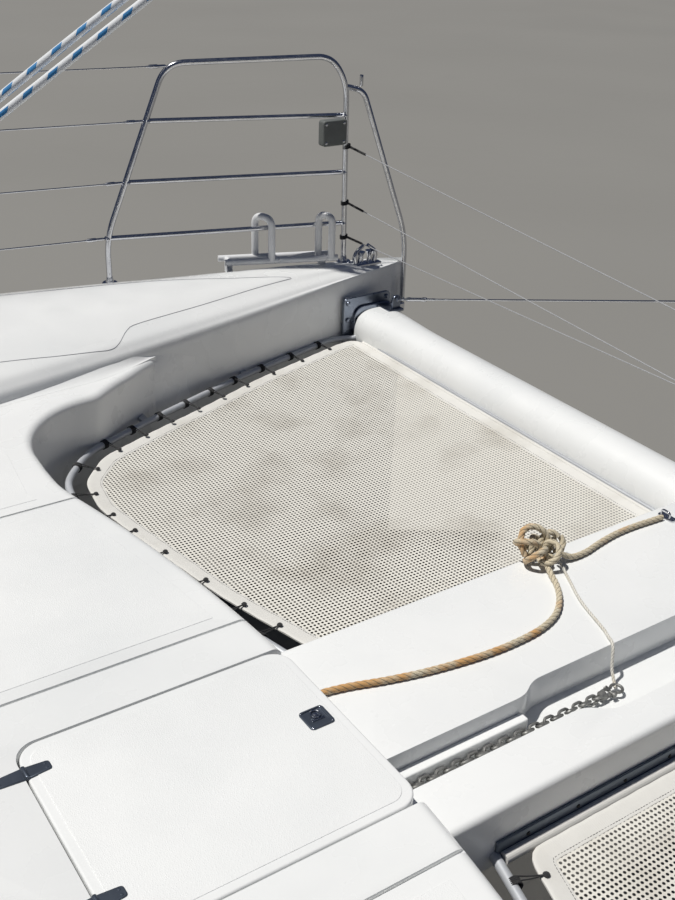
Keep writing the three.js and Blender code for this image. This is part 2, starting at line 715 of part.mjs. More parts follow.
// Boarding ladder stowed on the port bow
function bowLadder() {
  const z = deckZ(5300) + 32;
  const slope = -0.36; // the ladder lies along the outer deck edge
  const across = (x, y) => [x, y + slope * (x - 5350), z];
  const runners = [2503, 2571].map((y) => tube([across(5060, y), across(5540, y)], 13));
  const treads = [5090, 5290, 5490].map((x) => tube([across(x, 2490), across(x, 2584)], 11));
  const hoops = [[5238, 2577], [5495, 2545]].map(([x, outer]) => {
    const [near, far] = [across(x + 14, 2503), across(x - 14, outer)];
    const up = ([u, v, w], rise) => [u, v, w + rise];
    return tube(rounded([far, up(far, 190), up(near, 190), near], 42), 12);
  });
  const feet = [5090, 5490].map((x) => {
    const [u, v] = across(x, 2540);
    return box([u - 14, u + 14], [v - 14, v + 14], [z - 90, z]);
  });
  return seated(join(...runners, ...treads, ...hoops, ...feet), hullPort, UP);
}
place("bow_ladder", "alloy", bowLadder());

// Cabin: a shell with round corners that stands on the bridge deck and the hulls
const CABIN_LEVELS = [
  // z, aft x, front x, half width
  [SOLE_Z + 20, CABIN.aft, CABIN.front, CABIN.half],
  [1750, CABIN.aft, CABIN.front - 60, CABIN.half - 10],
  [2080, CABIN.aft, CABIN.front - 260, CABIN.half - 50],
  [2480, CABIN.aft, CABIN.front - 760, CABIN.half - 200],
  [2600, CABIN.aft, CABIN.front - 1000, CABIN.half - 330],
  [CABIN.roof, CABIN.aft, CABIN.front - 1500, CABIN.half - 800],
];
function cabinRing([z, aft, front, half], grow) {
  const [f, h] = [front + grow, half + grow];
  const nose = [[f, 0.3 * h], [f - 130, 0.62 * h], [f - 420, 0.87 * h], [f - 900, h]];
  const left = [...nose, [aft - grow, h]];
  return [...left, ...left.map(([x, y]) => [x, -y]).reverse()].map(([x, y]) => [x, y, z]);
}
function cabinSolid(grow, lift) {
  return loft(
    CABIN_LEVELS.map((level, i) => {
      const top = i === CABIN_LEVELS.length - 1;
      const ring = cabinRing(level, grow);
      return ring.map(([x, y, z]) => [x, y, top ? z + lift : z]);
    }),
  );
}
const SIDE_WINDOWS = [[-1550, -500], [-380, 560]];
const FRONT_WINDOWS = [[-1180, -640], [-520, 520], [640, 1180]];
const DOOR = { y: [-380, 580], head: 2440 };

function cabinCuts() {
  const sides = SIDE_WINDOWS.map(([x0, x1]) => box([x0, x1], [-2200, 2200], [2010, 2330]));
  const fronts = FRONT_WINDOWS.map(([y0, y1]) => box([1350, 2600], [y0, y1], [2010, 2330]));
  const door = box([CABIN.aft - 100, CABIN.aft + 100], DOOR.y, [SOLE_Z, DOOR.head]);
  return [...sides, ...fronts, door];
}
function cabin() {
  const room = cabinSolid(-CABIN.wall, -30);
  const underRoof = box([-2500, 2500], [-2100, 2100], [1000, 2640]);
  const shell = cut(cabinSolid(0, 0), common(room, underRoof));
  const inner = moved(room, 0, 0, -40);
  const hollow = cut(shell, inner);
  const below = box([-2500, 2800], [-2300, 2300], [900, FOREDECK_Z + TOUCH]);
  const whole = cut(hollow, ...cabinCuts(), below);
  return seated(seated(whole, hullPort, UP, INWARD), hullStarboard, UP, OUTWARD);
}
place("cabin", "gelcoat", cabin());

function glazing() {
  const band = cut(cabinSolid(9, 9), cabinSolid(0.6, 0.6));
  return common(band, box([-1680, 2600], [-2300, 2300], [1960, 2385]));
}
place("saloon_windows", "glass", glazing());

function slidingDoor() {
  const x = [CABIN.aft + CABIN.wall + 5.5, CABIN.aft + CABIN.wall + 35];
  const leaf = box(x, [DOOR.y[0] - 30, DOOR.y[1] + 30], [SOLE_Z + 12, DOOR.head + 25]);
  const runners = DOOR.y.map((y) => box([x[0] + 8, x[1] - 8], [y - 25, y + 25], [SOLE_Z + 0.5, SOLE_Z + 20]));
  const pane = box([x[0] - 5, x[1] + 5], [DOOR.y[0] + 60, DOOR.y[1] - 60], [SOLE_Z + 120, DOOR.head - 70]);
  const bar = box([x[0] + 12, x[1] - 12], [DOOR.y[0] + 50, DOOR.y[1] - 50], [SOLE_Z + 110, DOOR.head - 60]);
  return join(cut(leaf, pane), bar, ...runners);
}
place("sliding_door", "glass", slidingDoor());

function saloonFurniture() {
  const settee = [
    box([900, 1500], [-1150, 1150], [SOLE_Z + TOUCH, 1480]),
    box([-300, 1000], [850, 1450], [SOLE_Z + TOUCH, 1480]),
  ];
  const table = [
    box([150, 780], [-250, 750], [1720, 1755]),
    box([430, 500], [250, 320], [SOLE_Z + TOUCH, 1730]),
  ];
  const galley = box([-1500, 950], [-1520, -950], [SOLE_Z + TOUCH, 1900]);
  const plinth = box([380, 920], [200, 370], [SOLE_Z + TOUCH, SOLE_Z + 30]);
  return join(...settee, ...table, galley, plinth);
}
place("saloon_furniture", "vinyl", saloonFurniture());

// Cockpit: helm, seat, cushions, table and the hard top on its posts
const HELM_X = -2180; // aft face of the console
function helmConsole() {
  const back = CABIN.aft - TOUCH;
  const side = [[back, 1900], [HELM_X, 1960], [HELM_X, 2260], [-2050, 2330], [back, 2330]];
  return sideways(side, WHEEL.y - 240, WHEEL.y + 240);
}
place("helm_console", "gelcoat", helmConsole());

function helmWheel() {
  const rim = new THREE.TorusGeometry(WHEEL.radius, WHEEL.tube, 5, 20);
  const spokes = [0, 72, 144, 216, 288].map((turn) =>
    tube([[0, 0, 0], [WHEEL.radius, 0, 0]], 8, 4).rotateZ(THREE.MathUtils.degToRad(turn)),
  );
  const shaft = HELM_X - 0.4 - (WHEEL.x - 24);
  const hub = turned([[28, -shaft], [28, -24], [45, -22], [45, 26]], 12);
  return join(rim, ...spokes, hub).rotateY(-Math.PI / 2).translate(WHEEL.x - 24, WHEEL.y, WHEEL.z);
}
place("helm_wheel", "steel", helmWheel());

function helmSeat() {
  const pad = slab(roundRect([-3000, -2560], [-1560, -760], 60), 1890, 1950);
  const back = box([-3040, -2990], [-1540, -780], [1880, 2250]);
  const base = box([-2960, -2620], [-1500, -1270], [FOREDECK_Z + TOUCH, 1900]);
  return join(pad, back, base);
}
place("helm_seat", "vinyl", helmSeat());

const CUSHION = FOREDECK_Z + TOUCH;
place("cushion_port", "vinyl", slab(roundRect([-3950, -2050], [1280, 1655], 40), CUSHION, CUSHION + 80));
place("cushion_aft", "vinyl", slab(roundRect([-4500, -4080], [-1150, 1150], 40), CUSHION, CUSHION + 80));

function cockpitTable() {
  const top = slab(roundRect([-3600, -2500], [250, 1000], 70), 1740, 1775);
  const leg = turned([[110, SOLE_Z + TOUCH], [110, SOLE_Z + 20], [38, SOLE_Z + 30], [38, 1745]], 12);
  return join(top, moved(leg, -3050, 625, 0));
}
place("cockpit_table", "gelcoat", cockpitTable());

function hardTop() {
  const plate = slab(roundRect([-4150, -1650], [-1650, 1650], 220), 3060, 3110);
  const edge = slab(roundRect([-4120, -1680], [-1620, 1620], 200), 3030, 3062);
  const posts = [[-4020, 1500], [-4020, -1500]].map(([x, y]) =>
    tube([[x, y, 3040], [x - 60, y, FOREDECK_Z - 30]], 25, 8),
  );
  const front = [[-1790, 1300], [-1790, -1300]].map(([x, y]) => tube([[x, y, 3040], [x, y, 2636]], 25, 8));
  const whole = join(plate, edge, ...posts, ...front);
  return seated(seated(whole, shapes.cabin, UP), shapes.bridge_deck, UP);
}
place("hard_top", "gelcoat", hardTop());

// Mast with spreaders and diamond stays, boom with the stowed mainsail, furled headsail and stays
function mast() {
  const ring = (z, k) =>
    Array.from({ length: 12 }, (_, i) => {
      const a = (2 * Math.PI * i) / 12;
      return [MAST.x + k * MAST.long * Math.cos(a), k * MAST.wide * Math.sin(a), z];
    });
  const pole = loft([ring(MAST.foot + TOUCH, 1), ring(14000, 1), ring(MAST.top, 0.72)]);
  const spreaders = [-1, 1].map((s) => tube([[MAST.x, 0, 9000], [MAST.x - 260, s * 900, 9060]], 26, 6));
  const diamonds = [-1, 1].map((s) =>
    tube([[MAST.x, s * 30, 14600], [MAST.x - 260, s * 905, 9060], [MAST.x, s * 30, 4700]], 6, 6),
  );
  const heel = box([MAST.x - 190, MAST.x + 190], [-130, 130], [MAST.foot - 60, MAST.foot + 16]);
  const plates = [-1, 1].map((s) => {
    const z = [BOOM.z + s * (BOOM.eye + 0.4), BOOM.z + s * (BOOM.eye + 12)].sort((a, b) => a - b);
    return box([BOOM.hinge - 20, MAST.x], [-26, 26], z);
  });
  const pin = turned([[BOOM.pin, -BOOM.eye - 6], [BOOM.pin, BOOM.eye + 6]], 16);
  pin.translate(BOOM.hinge, 0, BOOM.z);
  const head = box([MAST.x - 230, MAST.x + 160], [-22, 22], [MAST.top - 20, MAST.top + 40]);
  const truck = turned([[5, 0], [5, 420]], 6).translate(MAST.x - 200, 0, MAST.top + 30);
  const whole = join(pole, ...spreaders, ...diamonds, heel, ...plates, pin, head, truck);
  return seated(whole, shapes.cabin, UP);
}
place("mast", "alloy", mast());

function boom() {
  const section = turned([[BOOM.radius, 0], [BOOM.radius, BOOM.length]], 12);
  const spar = aimed(section, [BOOM.hinge - 60, 0, BOOM.z], [BOOM.hinge - 1000, 0, BOOM.z]);
  const eye = turned([[24, -BOOM.eye], [24, BOOM.eye]], 16).translate(BOOM.hinge, 0, BOOM.z);
  const neck = box([BOOM.hinge - 80, BOOM.hinge], [-16, 16], [BOOM.z - BOOM.eye, BOOM.z + BOOM.eye]);
  const bore = turned([[BOOM.pin + 0.7, -60], [BOOM.pin + 0.7, 60]], 16).translate(BOOM.hinge, 0, BOOM.z);
  return cut(join(spar, eye, neck), bore);
}
place("boom", "alloy", boom());

function sailBag() {
  const ring = (x, half, top) => {
    const z = BOOM.z + 20;
    const side = [
      [BOOM.radius + 4, z],
      [half, z + 0.35 * (top - z)],
      [0.75 * half, z + 0.85 * (top - z)],
      [0.2 * half, top],
    ];
    return [...side, ...side.map(([y, v]) => [-y, v]).reverse()].map(([y, v]) => [x, y, v]);
  };
  const body = loft([
    ring(BOOM.hinge - 140, 150, BOOM.z + 620),
    ring(BOOM.hinge - 900, 185, BOOM.z + 540),
    ring(BOOM.hinge - 3000, 165, BOOM.z + 400),
    ring(BOOM.hinge - 4600, 110, BOOM.z + 260),
  ]);
  const shadow = turned([[BOOM.radius + 0.4, -100], [BOOM.radius + 0.4, BOOM.length + 100]], 12);
  return cut(body, aimed(shadow, [BOOM.hinge, 0, BOOM.z], [BOOM.hinge - 1000, 0, BOOM.z]));
}
place("sail_bag", "canvas", sailBag());

const FORESTAY = { foot: [BEAM.x, 0, BEAM.top + TOUCH], head: [MAST.x + MAST.long + 4, 0, MAST.hounds] };
function furledHeadsail() {
  const length = new THREE.Vector3(...FORESTAY.foot).distanceTo(new THREE.Vector3(...FORESTAY.head));
  const roll = [
    [10, 0],
    [10, 190],
    [95, 192],
    [95, 205],
    [40, 210],
    [40, 255],
    [95, 260],
    [95, 272],
    [14, 275],
    [14, 520],
    [55, 620],
    [82, 1500],
    [74, 5000],
    [50, 10000],
    [24, 12600],
    [10, 12900],
    [10, length],
  ];
  const foot = box([BEAM.x - 30, BEAM.x + 30], [-12, 12], [BEAM.top - 10, BEAM.top + 60]);
  const whole = join(aimed(turned(roll, 12), FORESTAY.foot, FORESTAY.head), foot);
  return seated(seated(whole, shapes.cross_beam, UP), shapes.mast, FORE);
}
place("furled_headsail", "canvas", furledHeadsail());

const SHROUD_Y = 0.886 * MAST.wide + 6.4; // beside the tapered mast head
function capShroud() {
  const foot = [-50, HULL_Y + 600, 1440];
  const head = [MAST.x, SHROUD_Y, MAST.hounds];
  const wire = tube([foot, head], 6, 6);
  const screw = aimed(turned([[8, 60], [15, 130], [15, 400], [8, 470]], 8), foot, head);
  const plate = box([-85, -15], [HULL_Y + 562, HULL_Y + 586], [1480, 1650]);
  return seated(join(wire, screw, plate), hullPort, UP);
}
placePair("cap_shroud", "steel", capShroud());

// Striker above the cross beam: two struts to a peak, with a wire down to each end of the beam
function striker() {
  const peak = [BEAM.x + 40, 0, BEAM.top + 760];
  const struts = [-1, 1].map((s) => tube([[BEAM.x + 40, s * 330, BEAM.top - 20], peak], 20, 8));
  const feet = [-1, 1].map((s) =>
    box([BEAM.x, BEAM.x + 80], [s * 330 - 45, s * 330 + 45], [BEAM.top - 25, BEAM.top + 10]),
  );
  const wires = [-1, 1].flatMap((s) => {
    const end = [BEAM.x + 69, s * (BEAM.end - 90), BEAM.top + 52];
    return [tube([peak, end], 5, 6), aimed(turned([[7, 0], [13, 40], [13, 230], [7, 270]], 8), end, peak)];
  });
  return seated(join(...struts, ...feet, ...wires), shapes.cross_beam, UP);
}
place("striker", "steel", striker());

// Ground tackle: roller on the cross beam, anchor, windlass in the locker, chain, ropes and knot
const CHAIN_Y = -155;
const ROLLER_X = BEAM.x + 200;
function bowRoller() {
  const aft = BEAM.x - 60;
  const side = [
    [aft, BEAM.top + TOUCH],
    [ROLLER_X + 45, BEAM.top + 10],
    [ROLLER_X + 45, BEAM.top + 70],
    [aft, BEAM.top + 60],
  ];
  const cheeks = [-32, 26].map((y) => sideways(side, CHAIN_Y + y, CHAIN_Y + y + 6));
  const base = box([aft, ROLLER_X - 10], [CHAIN_Y - 32, CHAIN_Y + 32], [BEAM.top - 20, BEAM.top + 12]);
  const wheel = turned([[34, -25], [22, 0], [34, 25]], 12).rotateX(Math.PI / 2);
  const pin = turned([[7, -40], [7, 40]], 8).rotateX(Math.PI / 2);
  const at = (g) => moved(g, ROLLER_X, CHAIN_Y, BEAM.top + 40);
  return seated(join(...cheeks, base, at(wheel), at(pin)), shapes.cross_beam, UP);
}
place("bow_roller", "steel", bowRoller());

function anchor() {
  const [x, y, z] = [ROLLER_X, CHAIN_Y, BEAM.top + 40];
  const under = z + 26.2; // the shank rests in the roller's groove
  const outline = [
    [x - 250, under],
    [x + 40, under],
    [x + 88, z - 60],
    [x + 40, z - 420],
    [x + 100, z - 420],
    [x + 140, z - 50],
    [x + 70, under + 36],
    [x - 250, under + 36],
  ];
  const shank = sideways(outline, y - 8, y + 8);
  const ring = (u, half, drop) => [
    [u, y, z - 380 + drop],
    [u, y + half, z - 430],
    [u, y, z - 470 + drop],
    [u, y - half, z - 430],
  ];
  const rings = [
    ring(x + 150, 12, 0),
    ring(x + 70, 120, 10),
    ring(x - 20, 175, 0),
    ring(x - 75, 110, 0),
  ];
  return join(shank, loft(rings));
}
place("anchor", "zinc", anchor());

function windlass() {
  const body = slab(roundRect([3420, 3680], [-200, 60], 40), LOCKER.floor + 180, LOCKER.floor + 290);
  const stool = box([3440, 3660], [-180, 40], [LOCKER.floor + TOUCH, LOCKER.floor + 190]);
  const gypsy = turned([[62, 280], [40, 300], [40, 318], [62, 338], [50, 360]], 12);
  return join(body, stool, moved(gypsy, 3550, -75, LOCKER.floor));
}
place("windlass", "steel", windlass());

// Chain: links stand and lie in turn, each reaching into the next
const LINK = { start: 3772, pitch: 24, wire: 4, half: 14, count: 38 };
const CHAIN_Z = CHANNEL.floor + LINK.half + TOUCH;
function chain() {
  const links = Array.from({ length: LINK.count }, (_, i) => {
    const x = LINK.start + i * LINK.pitch;
    const turned90 = i % 2 === 0;
    const reach = [x - LINK.pitch / 2 - LINK.wire, x + LINK.pitch / 2 + LINK.wire];
    const thin = [-LINK.wire, LINK.wire];
    const wide = [-LINK.half, LINK.half];
    const [y, z] = turned90 ? [thin, wide] : [wide, thin];
    return box(reach, y.map((v) => CHAIN_Y + v), z.map((v) => CHAIN_Z + v));
  });
  const ring = turned([[13, -14], [13, 14]], 8).rotateX(Math.PI / 2);
  return join(...links, moved(ring, LINK.start + LINK.count * LINK.pitch, CHAIN_Y, CHAIN_Z));
}
place("anchor_chain", "zinc", chain());

const ROPE_R = 9;
const ROPE = [
  [3895, 152, WALK_Z + 9.5],
  [3945, 152, WALK_Z + 9.5],
  [3990, 152, WALK_Z + 9.5],
  [4060, 138, WALK_Z + 9.5],
  [4150, 110, WALK_Z + 9.5],
  [4250, 85, WALK_Z + 9.5],
  [4350, 68, WALK_Z + 9.5],
  [4440, 58, WALK_Z + 9.5],
  [4530, 56, WALK_Z + 9.5],
  [4620, 64, WALK_Z + 9.5],
  [4695, 88, WALK_Z + 9.5],
  [4752, 130, WALK_Z + 9.5],
  [4796, 185, WALK_Z + 9.5],
  [4822, 240, WALK_Z + 12],
  [4840, 290, WALK_Z + 30],
];
const KNOT = { at: [4850, 318, WALK_Z + 54], radii: [78, 62, 53.4] };
const knotBall = (grow) =>
  new THREE.SphereGeometry(1, 12, 8)
    .rotateX(Math.PI / 2)
    .scale(...KNOT.radii.map((r) => r + grow))
    .translate(...KNOT.at);
place("rope_knot", "rope", knotBall(0));
place("tow_rope", "rope", cut(tube(ROPE, ROPE_R, 10), knotBall(0.4)));

const ROPE_FORE = [
  [4880, 290, WALK_Z + 40],
  [4930, 272, WALK_Z + 14],
  [4990, 272, WALK_Z + 9.5],
  [5060, 286, WALK_Z + 9.5],
  [5140, 298, WALK_Z + 9.5],
  [5220, 300, WALK_Z + 9.5],
  [5290, 296, WALK_Z + 9.5],
  [5340, 293, WALK_Z + 9.5],
];
place("tow_rope_fore", "rope", cut(tube(ROPE_FORE, ROPE_R, 10), knotBall(0.4)));

function padEye() {
  const plate = slab(roundRect([5349.5, 5376], [262, 322], 8, 2), WALK_Z + TOUCH, WALK_Z + 7);
  const post = box([5350, 5362], [283, 303], [WALK_Z + 4, WALK_Z + 26]);
  return join(plate, post);
}
place("pad_eye", "steel", padEye());

const SNUBBER = [
  [4868, 280, WALK_Z + 40],
  [4870, 245, WALK_Z + 18],
  [4862, 215, WALK_Z + 6],
  [4845, 180, WALK_Z + 5],
  [4820, 130, WALK_Z + 5],
  [4800, 80, WALK_Z + 5],
  [4785, 30, WALK_Z + 5],
  [4770, -20, WALK_Z + 5],
  [4757, -50, WALK_Z + 5.5],
  [4748, -70, WALK_Z + 7],
  [4738, -86, WALK_Z],
  [4730, -96, WALK_Z - 22],
  [4722, -108, WALK_Z - 50],
  [4713, -128, WALK_Z - 72],
  [4704, -142, WALK_Z - 76],
];
place("snubber_line", "line", cut(tube(SNUBBER, 4.5, 8), knotBall(0.4)));

// Tinted deck hatches on the hulls, hinged at their forward edge
function deckHatch() {
  const x = [2350, 2870];
  const y = [HULL_Y - 230, HULL_Y + 230];
  const z = deckZ(2350);
  return seated(slab(roundRect(x, y, 60), z - 60, z + 30), hullPort, UP);
}
placePair("hatch_lid", "glass", deckHatch());

export default boat;
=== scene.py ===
# %% [markdown]
# # A cruising sailing catamaran, afloat
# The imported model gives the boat's pieces at their real size. This lesson dresses them: smooth hulls in
# place of faceted ones, moulded decks with round edges, perforated nets, laid rope, sails and fittings.
# Everything is in metres, +X forward, +Y to port, +Z up, and z = 0 is the waterline.

import math

import bmesh
import bpy
import numpy as np
from mathutils import Matrix, Vector


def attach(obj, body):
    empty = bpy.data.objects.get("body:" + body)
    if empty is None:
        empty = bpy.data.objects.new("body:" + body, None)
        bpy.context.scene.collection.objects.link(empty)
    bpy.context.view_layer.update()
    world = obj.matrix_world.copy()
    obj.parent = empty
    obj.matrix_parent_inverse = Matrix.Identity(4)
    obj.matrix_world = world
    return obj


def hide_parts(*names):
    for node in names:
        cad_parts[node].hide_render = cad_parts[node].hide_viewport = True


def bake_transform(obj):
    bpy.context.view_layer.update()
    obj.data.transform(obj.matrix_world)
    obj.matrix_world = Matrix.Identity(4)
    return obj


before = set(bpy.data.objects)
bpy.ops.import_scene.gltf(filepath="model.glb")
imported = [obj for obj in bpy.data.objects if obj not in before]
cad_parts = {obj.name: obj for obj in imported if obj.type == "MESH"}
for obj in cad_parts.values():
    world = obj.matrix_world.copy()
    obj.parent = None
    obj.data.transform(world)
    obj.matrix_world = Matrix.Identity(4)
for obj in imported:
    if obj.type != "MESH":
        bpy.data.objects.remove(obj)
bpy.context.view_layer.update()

# %% [markdown]
# ## The camera
# The photograph looks down from beside the cabin, forward and to port. Two families of straight lines on
# the boat fix the view: those that run forward meet in one point of the frame, and those that run to
# port meet in another. With the focal length, the two points give the camera's turn, so no angle is
# guessed, and the place of the eye is then a plain position in metres.

# %% Camera from two vanishing points
PHOTO = (675, 900)  # the photograph's width and height in pixels
MEET_FORWARD = (2200, -80)  # pixel where lines along +X meet
MEET_PORT = (-504, -169)  # pixel where lines along +Y meet
FOCAL = 1112  # focal length in pixels
EYE = (2.830, -1.585, 3.184)
SENSOR = 36.0


def view_axes(forward, port, focal, size):
    """Rows are the boat's X, Y and Z as the camera sees them: a meeting point minus the frame's middle,
    with the focal length as depth, is the direction of its family of lines; Z is their cross product."""
    middle = np.array(size) / 2
    x = np.append(np.array(forward) - middle, focal)
    y = np.append(np.array(port) - middle, focal)
    x = x / np.linalg.norm(x)
    z = np.cross(x, y)
    z = z / np.linalg.norm(z) * -np.sign(z[1])
    return np.stack([x, np.cross(z, x), z])


axes = view_axes(MEET_FORWARD, MEET_PORT, FOCAL, PHOTO)
turn = Matrix(np.stack([axes[:, 0], -axes[:, 1], -axes[:, 2]], axis=1).tolist())
camera = bpy.data.objects.new("camera", bpy.data.cameras.new("camera"))
camera.data.sensor_fit = "VERTICAL"
camera.data.sensor_height = SENSOR
camera.data.lens = SENSOR * FOCAL / PHOTO[1]
camera.matrix_world = Matrix.Translation(EYE) @ turn.to_4x4()
bpy.context.scene.collection.objects.link(camera)
bpy.context.scene.camera = camera
print("lens", round(camera.data.lens, 2), "mm")

# %% [markdown]
# ## Shapes from arrays
# Almost every piece of a boat is a profile carried along a path, or a patch of skin given by two
# parameters. These helpers turn whole arrays of points into meshes. A shape is a pair: an array of points
# and a list of faces, and several shapes join into one piece.

# %% Grids, joins and finished pieces
TAU = 2 * math.pi
SMOOTH_BELOW = math.radians(32)  # edges flatter than this are shaded smooth
SAME_PLACE = 1e-5  # points closer than this are one point
SHARP = 1e-5  # the edge of a plate that stays sharp


def grid(points, around=False, along=False, ends=False):
    """Faces of an n by m array of points: four neighbours make a face, wrapped round where asked.
    Rows go along the shape and columns go round it, anticlockwise as seen from ahead."""
    n, m = points.shape[:2]
    index = np.arange(n * m).reshape(n, m)
    rows = np.vstack([index, index[:1]]) if along else index
    both = np.hstack([rows, rows[:, :1]]) if around else rows
    corners = [both[:-1, :-1], both[:-1, 1:], both[1:, 1:], both[1:, :-1]]
    faces = np.stack(corners, axis=-1).reshape(-1, 4).tolist()
    if ends:
        faces += [index[0, ::-1].tolist(), index[-1].tolist()]
    return points.reshape(-1, 3), faces


def joined(*shapes):
    """One shape of several: points one after another, and face numbers moved up to match."""
    points, faces, count = [], [], 0
    for own_points, own_faces in shapes:
        points.append(own_points)
        faces += [[i + count for i in face] for face in own_faces]
        count += len(own_points)
    return np.concatenate(points), faces


def mirrored(shape):
    """The same shape on the other side of the boat: y changes sign and each face turns round."""
    points, faces = shape
    return points * [1, -1, 1], [face[::-1] for face in faces]


def moved(shape, offset):
    return shape[0] + np.array(offset), shape[1]


def placed(name, mesh, body="root", instead_of=()):
    """Puts a mesh into the scene: it rides on a body and stands for CAD nodes."""
    made = bpy.data.objects.new(name, mesh)
    bpy.context.scene.collection.objects.link(made)
    if body:
        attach(made, body)
    if instead_of:
        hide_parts(*instead_of)
    return made


def shaded(mesh):
    mesh.shade_smooth()
    mesh.set_sharp_from_angle(angle=SMOOTH_BELOW)


def build(name, shape, finish, body="root", instead_of=(), uv=None, closed=True):
    """Makes a piece of a shape. The faces of closed shapes are turned outwards, unless a map counts on
    the order of their points."""
    points, faces = shape
    mesh = bpy.data.meshes.new(name)
    mesh.from_pydata(np.asarray(points, float).tolist(), [], faces)
    mesh.update()
    if closed and uv is None:
        edited(mesh, turned_outwards)
    shaded(mesh)
    if uv is not None:
        corner = np.zeros(len(mesh.loops), int)
        mesh.loops.foreach_get("vertex_index", corner)
        layer = mesh.uv_layers.new(name="lay")
        layer.data.foreach_set("uv", np.asarray(uv, np.float32)[corner].ravel())
    if finish:
        mesh.materials.append(finish)
    return placed(name, mesh, body, instead_of)


def edited(mesh, change):
    """Hands a mesh to one of the changes below as loose elements, and takes it back."""
    loose = bmesh.new()
    loose.from_mesh(mesh)
    change(loose)
    loose.to_mesh(mesh)
    loose.free()


def turned_outwards(loose):
    bmesh.ops.remove_doubles(loose, verts=loose.verts, dist=SAME_PLACE)
    bmesh.ops.recalc_face_normals(loose, faces=loose.faces)


def mended(loose):
    """Takes away loose edges and closes the pinholes that a cut can leave."""
    bmesh.ops.delete(loose, geom=[e for e in loose.edges if e.is_wire], context="EDGES")
    bmesh.ops.holes_fill(loose, edges=[e for e in loose.edges if e.is_boundary], sides=6)


def settled(made):
    """Applies what modifiers a piece has, and shades it again."""
    graph = bpy.context.evaluated_depsgraph_get()
    mesh = bpy.data.meshes.new_from_object(made.evaluated_get(graph))
    edited(mesh, mended)
    made.modifiers.clear()
    made.data = mesh
    shaded(mesh)
    return made


def carved(made, *shapes, operation="DIFFERENCE"):
    """Cuts closed shapes out of a piece, or adds them to it."""
    for i, shape in enumerate(shapes):
        tool = build("carving_tool_%d" % i, shape, finish=None, body=None)
        change = made.modifiers.new("carve", "BOOLEAN")
        change.operation = operation
        change.solver = "EXACT"
        change.object = tool
        settled(made)
        bpy.data.objects.remove(tool)
    return made


def softened(made, width, segments=2, angle=40):
    """Rounds the sharp edges of a piece by a bevel of the given width."""
    bevel = made.modifiers.new("soft edges", "BEVEL")
    bevel.width = width
    bevel.segments = segments
    bevel.limit_method = "ANGLE"
    bevel.angle_limit = math.radians(angle)
    bevel.harden_normals = False
    return settled(made)


# %% Smooth curves and paths
def cubic(t, a, b, leaving, arriving):
    """The cubic from a to b that leaves with one slope and arrives with another, at shares t."""
    ease = 3 * t**2 - 2 * t**3
    return (1 - ease) * a + (t**3 - 2 * t**2 + t) * leaving + ease * b + (t**3 - t**2) * arriving


def through(p, per):
    """Rows of points on smooth curves through the given ones, with so many a stretch. The slope at a point
    is half the way from the one before to the one after; the first and the last only set a slope."""
    slope = (p[:, 2:] - p[:, :-2]) / 2
    t = np.linspace(0, 1, per, endpoint=False)[:, None, None, None]
    fine = cubic(t, p[:, 1:-2], p[:, 2:-1], slope[:, :-1], slope[:, 1:])
    return fine.transpose(1, 2, 0, 3).reshape(len(p), -1, p.shape[2])


def smoothly(points, step):
    """A smooth curve through the given points, read at even steps."""
    p = np.asarray(points, float)
    p = np.vstack([2 * p[:1] - p[1:2], p, 2 * p[-1:] - p[-2:-1]])
    return evenly(np.vstack([through(p[None], 40)[0], p[-2:-1]]), step)


def evenly(points, step):
    """The same path read at even steps of its own length."""
    length = measured(points)
    read = np.linspace(0, length[-1], max(2, int(round(length[-1] / step)) + 1))
    return np.stack([np.interp(read, length, column) for column in points.T], axis=1)


def unit(v):
    """Vectors brought to length 1."""
    return v / np.linalg.norm(v, axis=-1, keepdims=True)


def measured(path):
    """Length along a path up to each of its points."""
    return np.append(0, np.cumsum(np.linalg.norm(np.diff(path, axis=0), axis=1)))


def bent(points, radius, steps=8):
    """A path of straight runs whose corners are rounded: each corner is a parabola between points one
    radius before it and one radius after it."""
    p = np.asarray(points, float)
    out = [p[0]]
    t = np.linspace(0, 1, steps + 1)[:, None]
    for before, corner, after in zip(p[:-2], p[1:-1], p[2:]):
        near, far = before - corner, after - corner
        reach = min(radius, np.linalg.norm(near) / 2.1, np.linalg.norm(far) / 2.1)
        start, end = corner + unit(near) * reach, corner + unit(far) * reach
        out.extend((1 - t) ** 2 * start + 2 * t * (1 - t) * corner + t**2 * end)
    out.append(p[-1])
    return np.array(out)


# %% Tubes and turned shapes
def frames_along(path, closed=False):
    """Tangent, side and upright at each point of a path. The side is square to the tangent and to the
    one direction that the path runs along least, so it never flips."""
    around = np.roll(path, -1, axis=0) - np.roll(path, 1, axis=0)
    tangent = unit(around if closed else np.gradient(path, axis=0))
    least = np.linalg.eigh(tangent.T @ tangent)[1][:, 0]
    side = unit(np.cross(least, tangent))
    return tangent, side, np.cross(tangent, side)


def carried(path, section, closed=False):
    """Points of a section carried along a path: path + u * side + v * upright. The section is one list of
    (u, v) for the whole path, or one for each of its points."""
    _, side, upright = frames_along(path, closed)
    section = np.broadcast_to(section, (len(path),) + np.shape(section)[-2:])
    return path[:, None] + section[..., :1] * side[:, None] + section[..., 1:] * upright[:, None]


def circle(radius, sides):
    a = np.linspace(0, TAU, sides, endpoint=False)
    return np.stack([np.cos(a), np.sin(a)], axis=1) * radius


def tube(path, radius, sides=16, closed=False):
    """A round tube along a path, with flat ends; the radius may differ from point to point."""
    radius = np.broadcast_to(radius, len(path))
    section = circle(1, sides)[None] * radius[:, None, None]
    return grid(
        carried(np.asarray(path, float), section, closed), around=True, along=closed, ends=not closed)


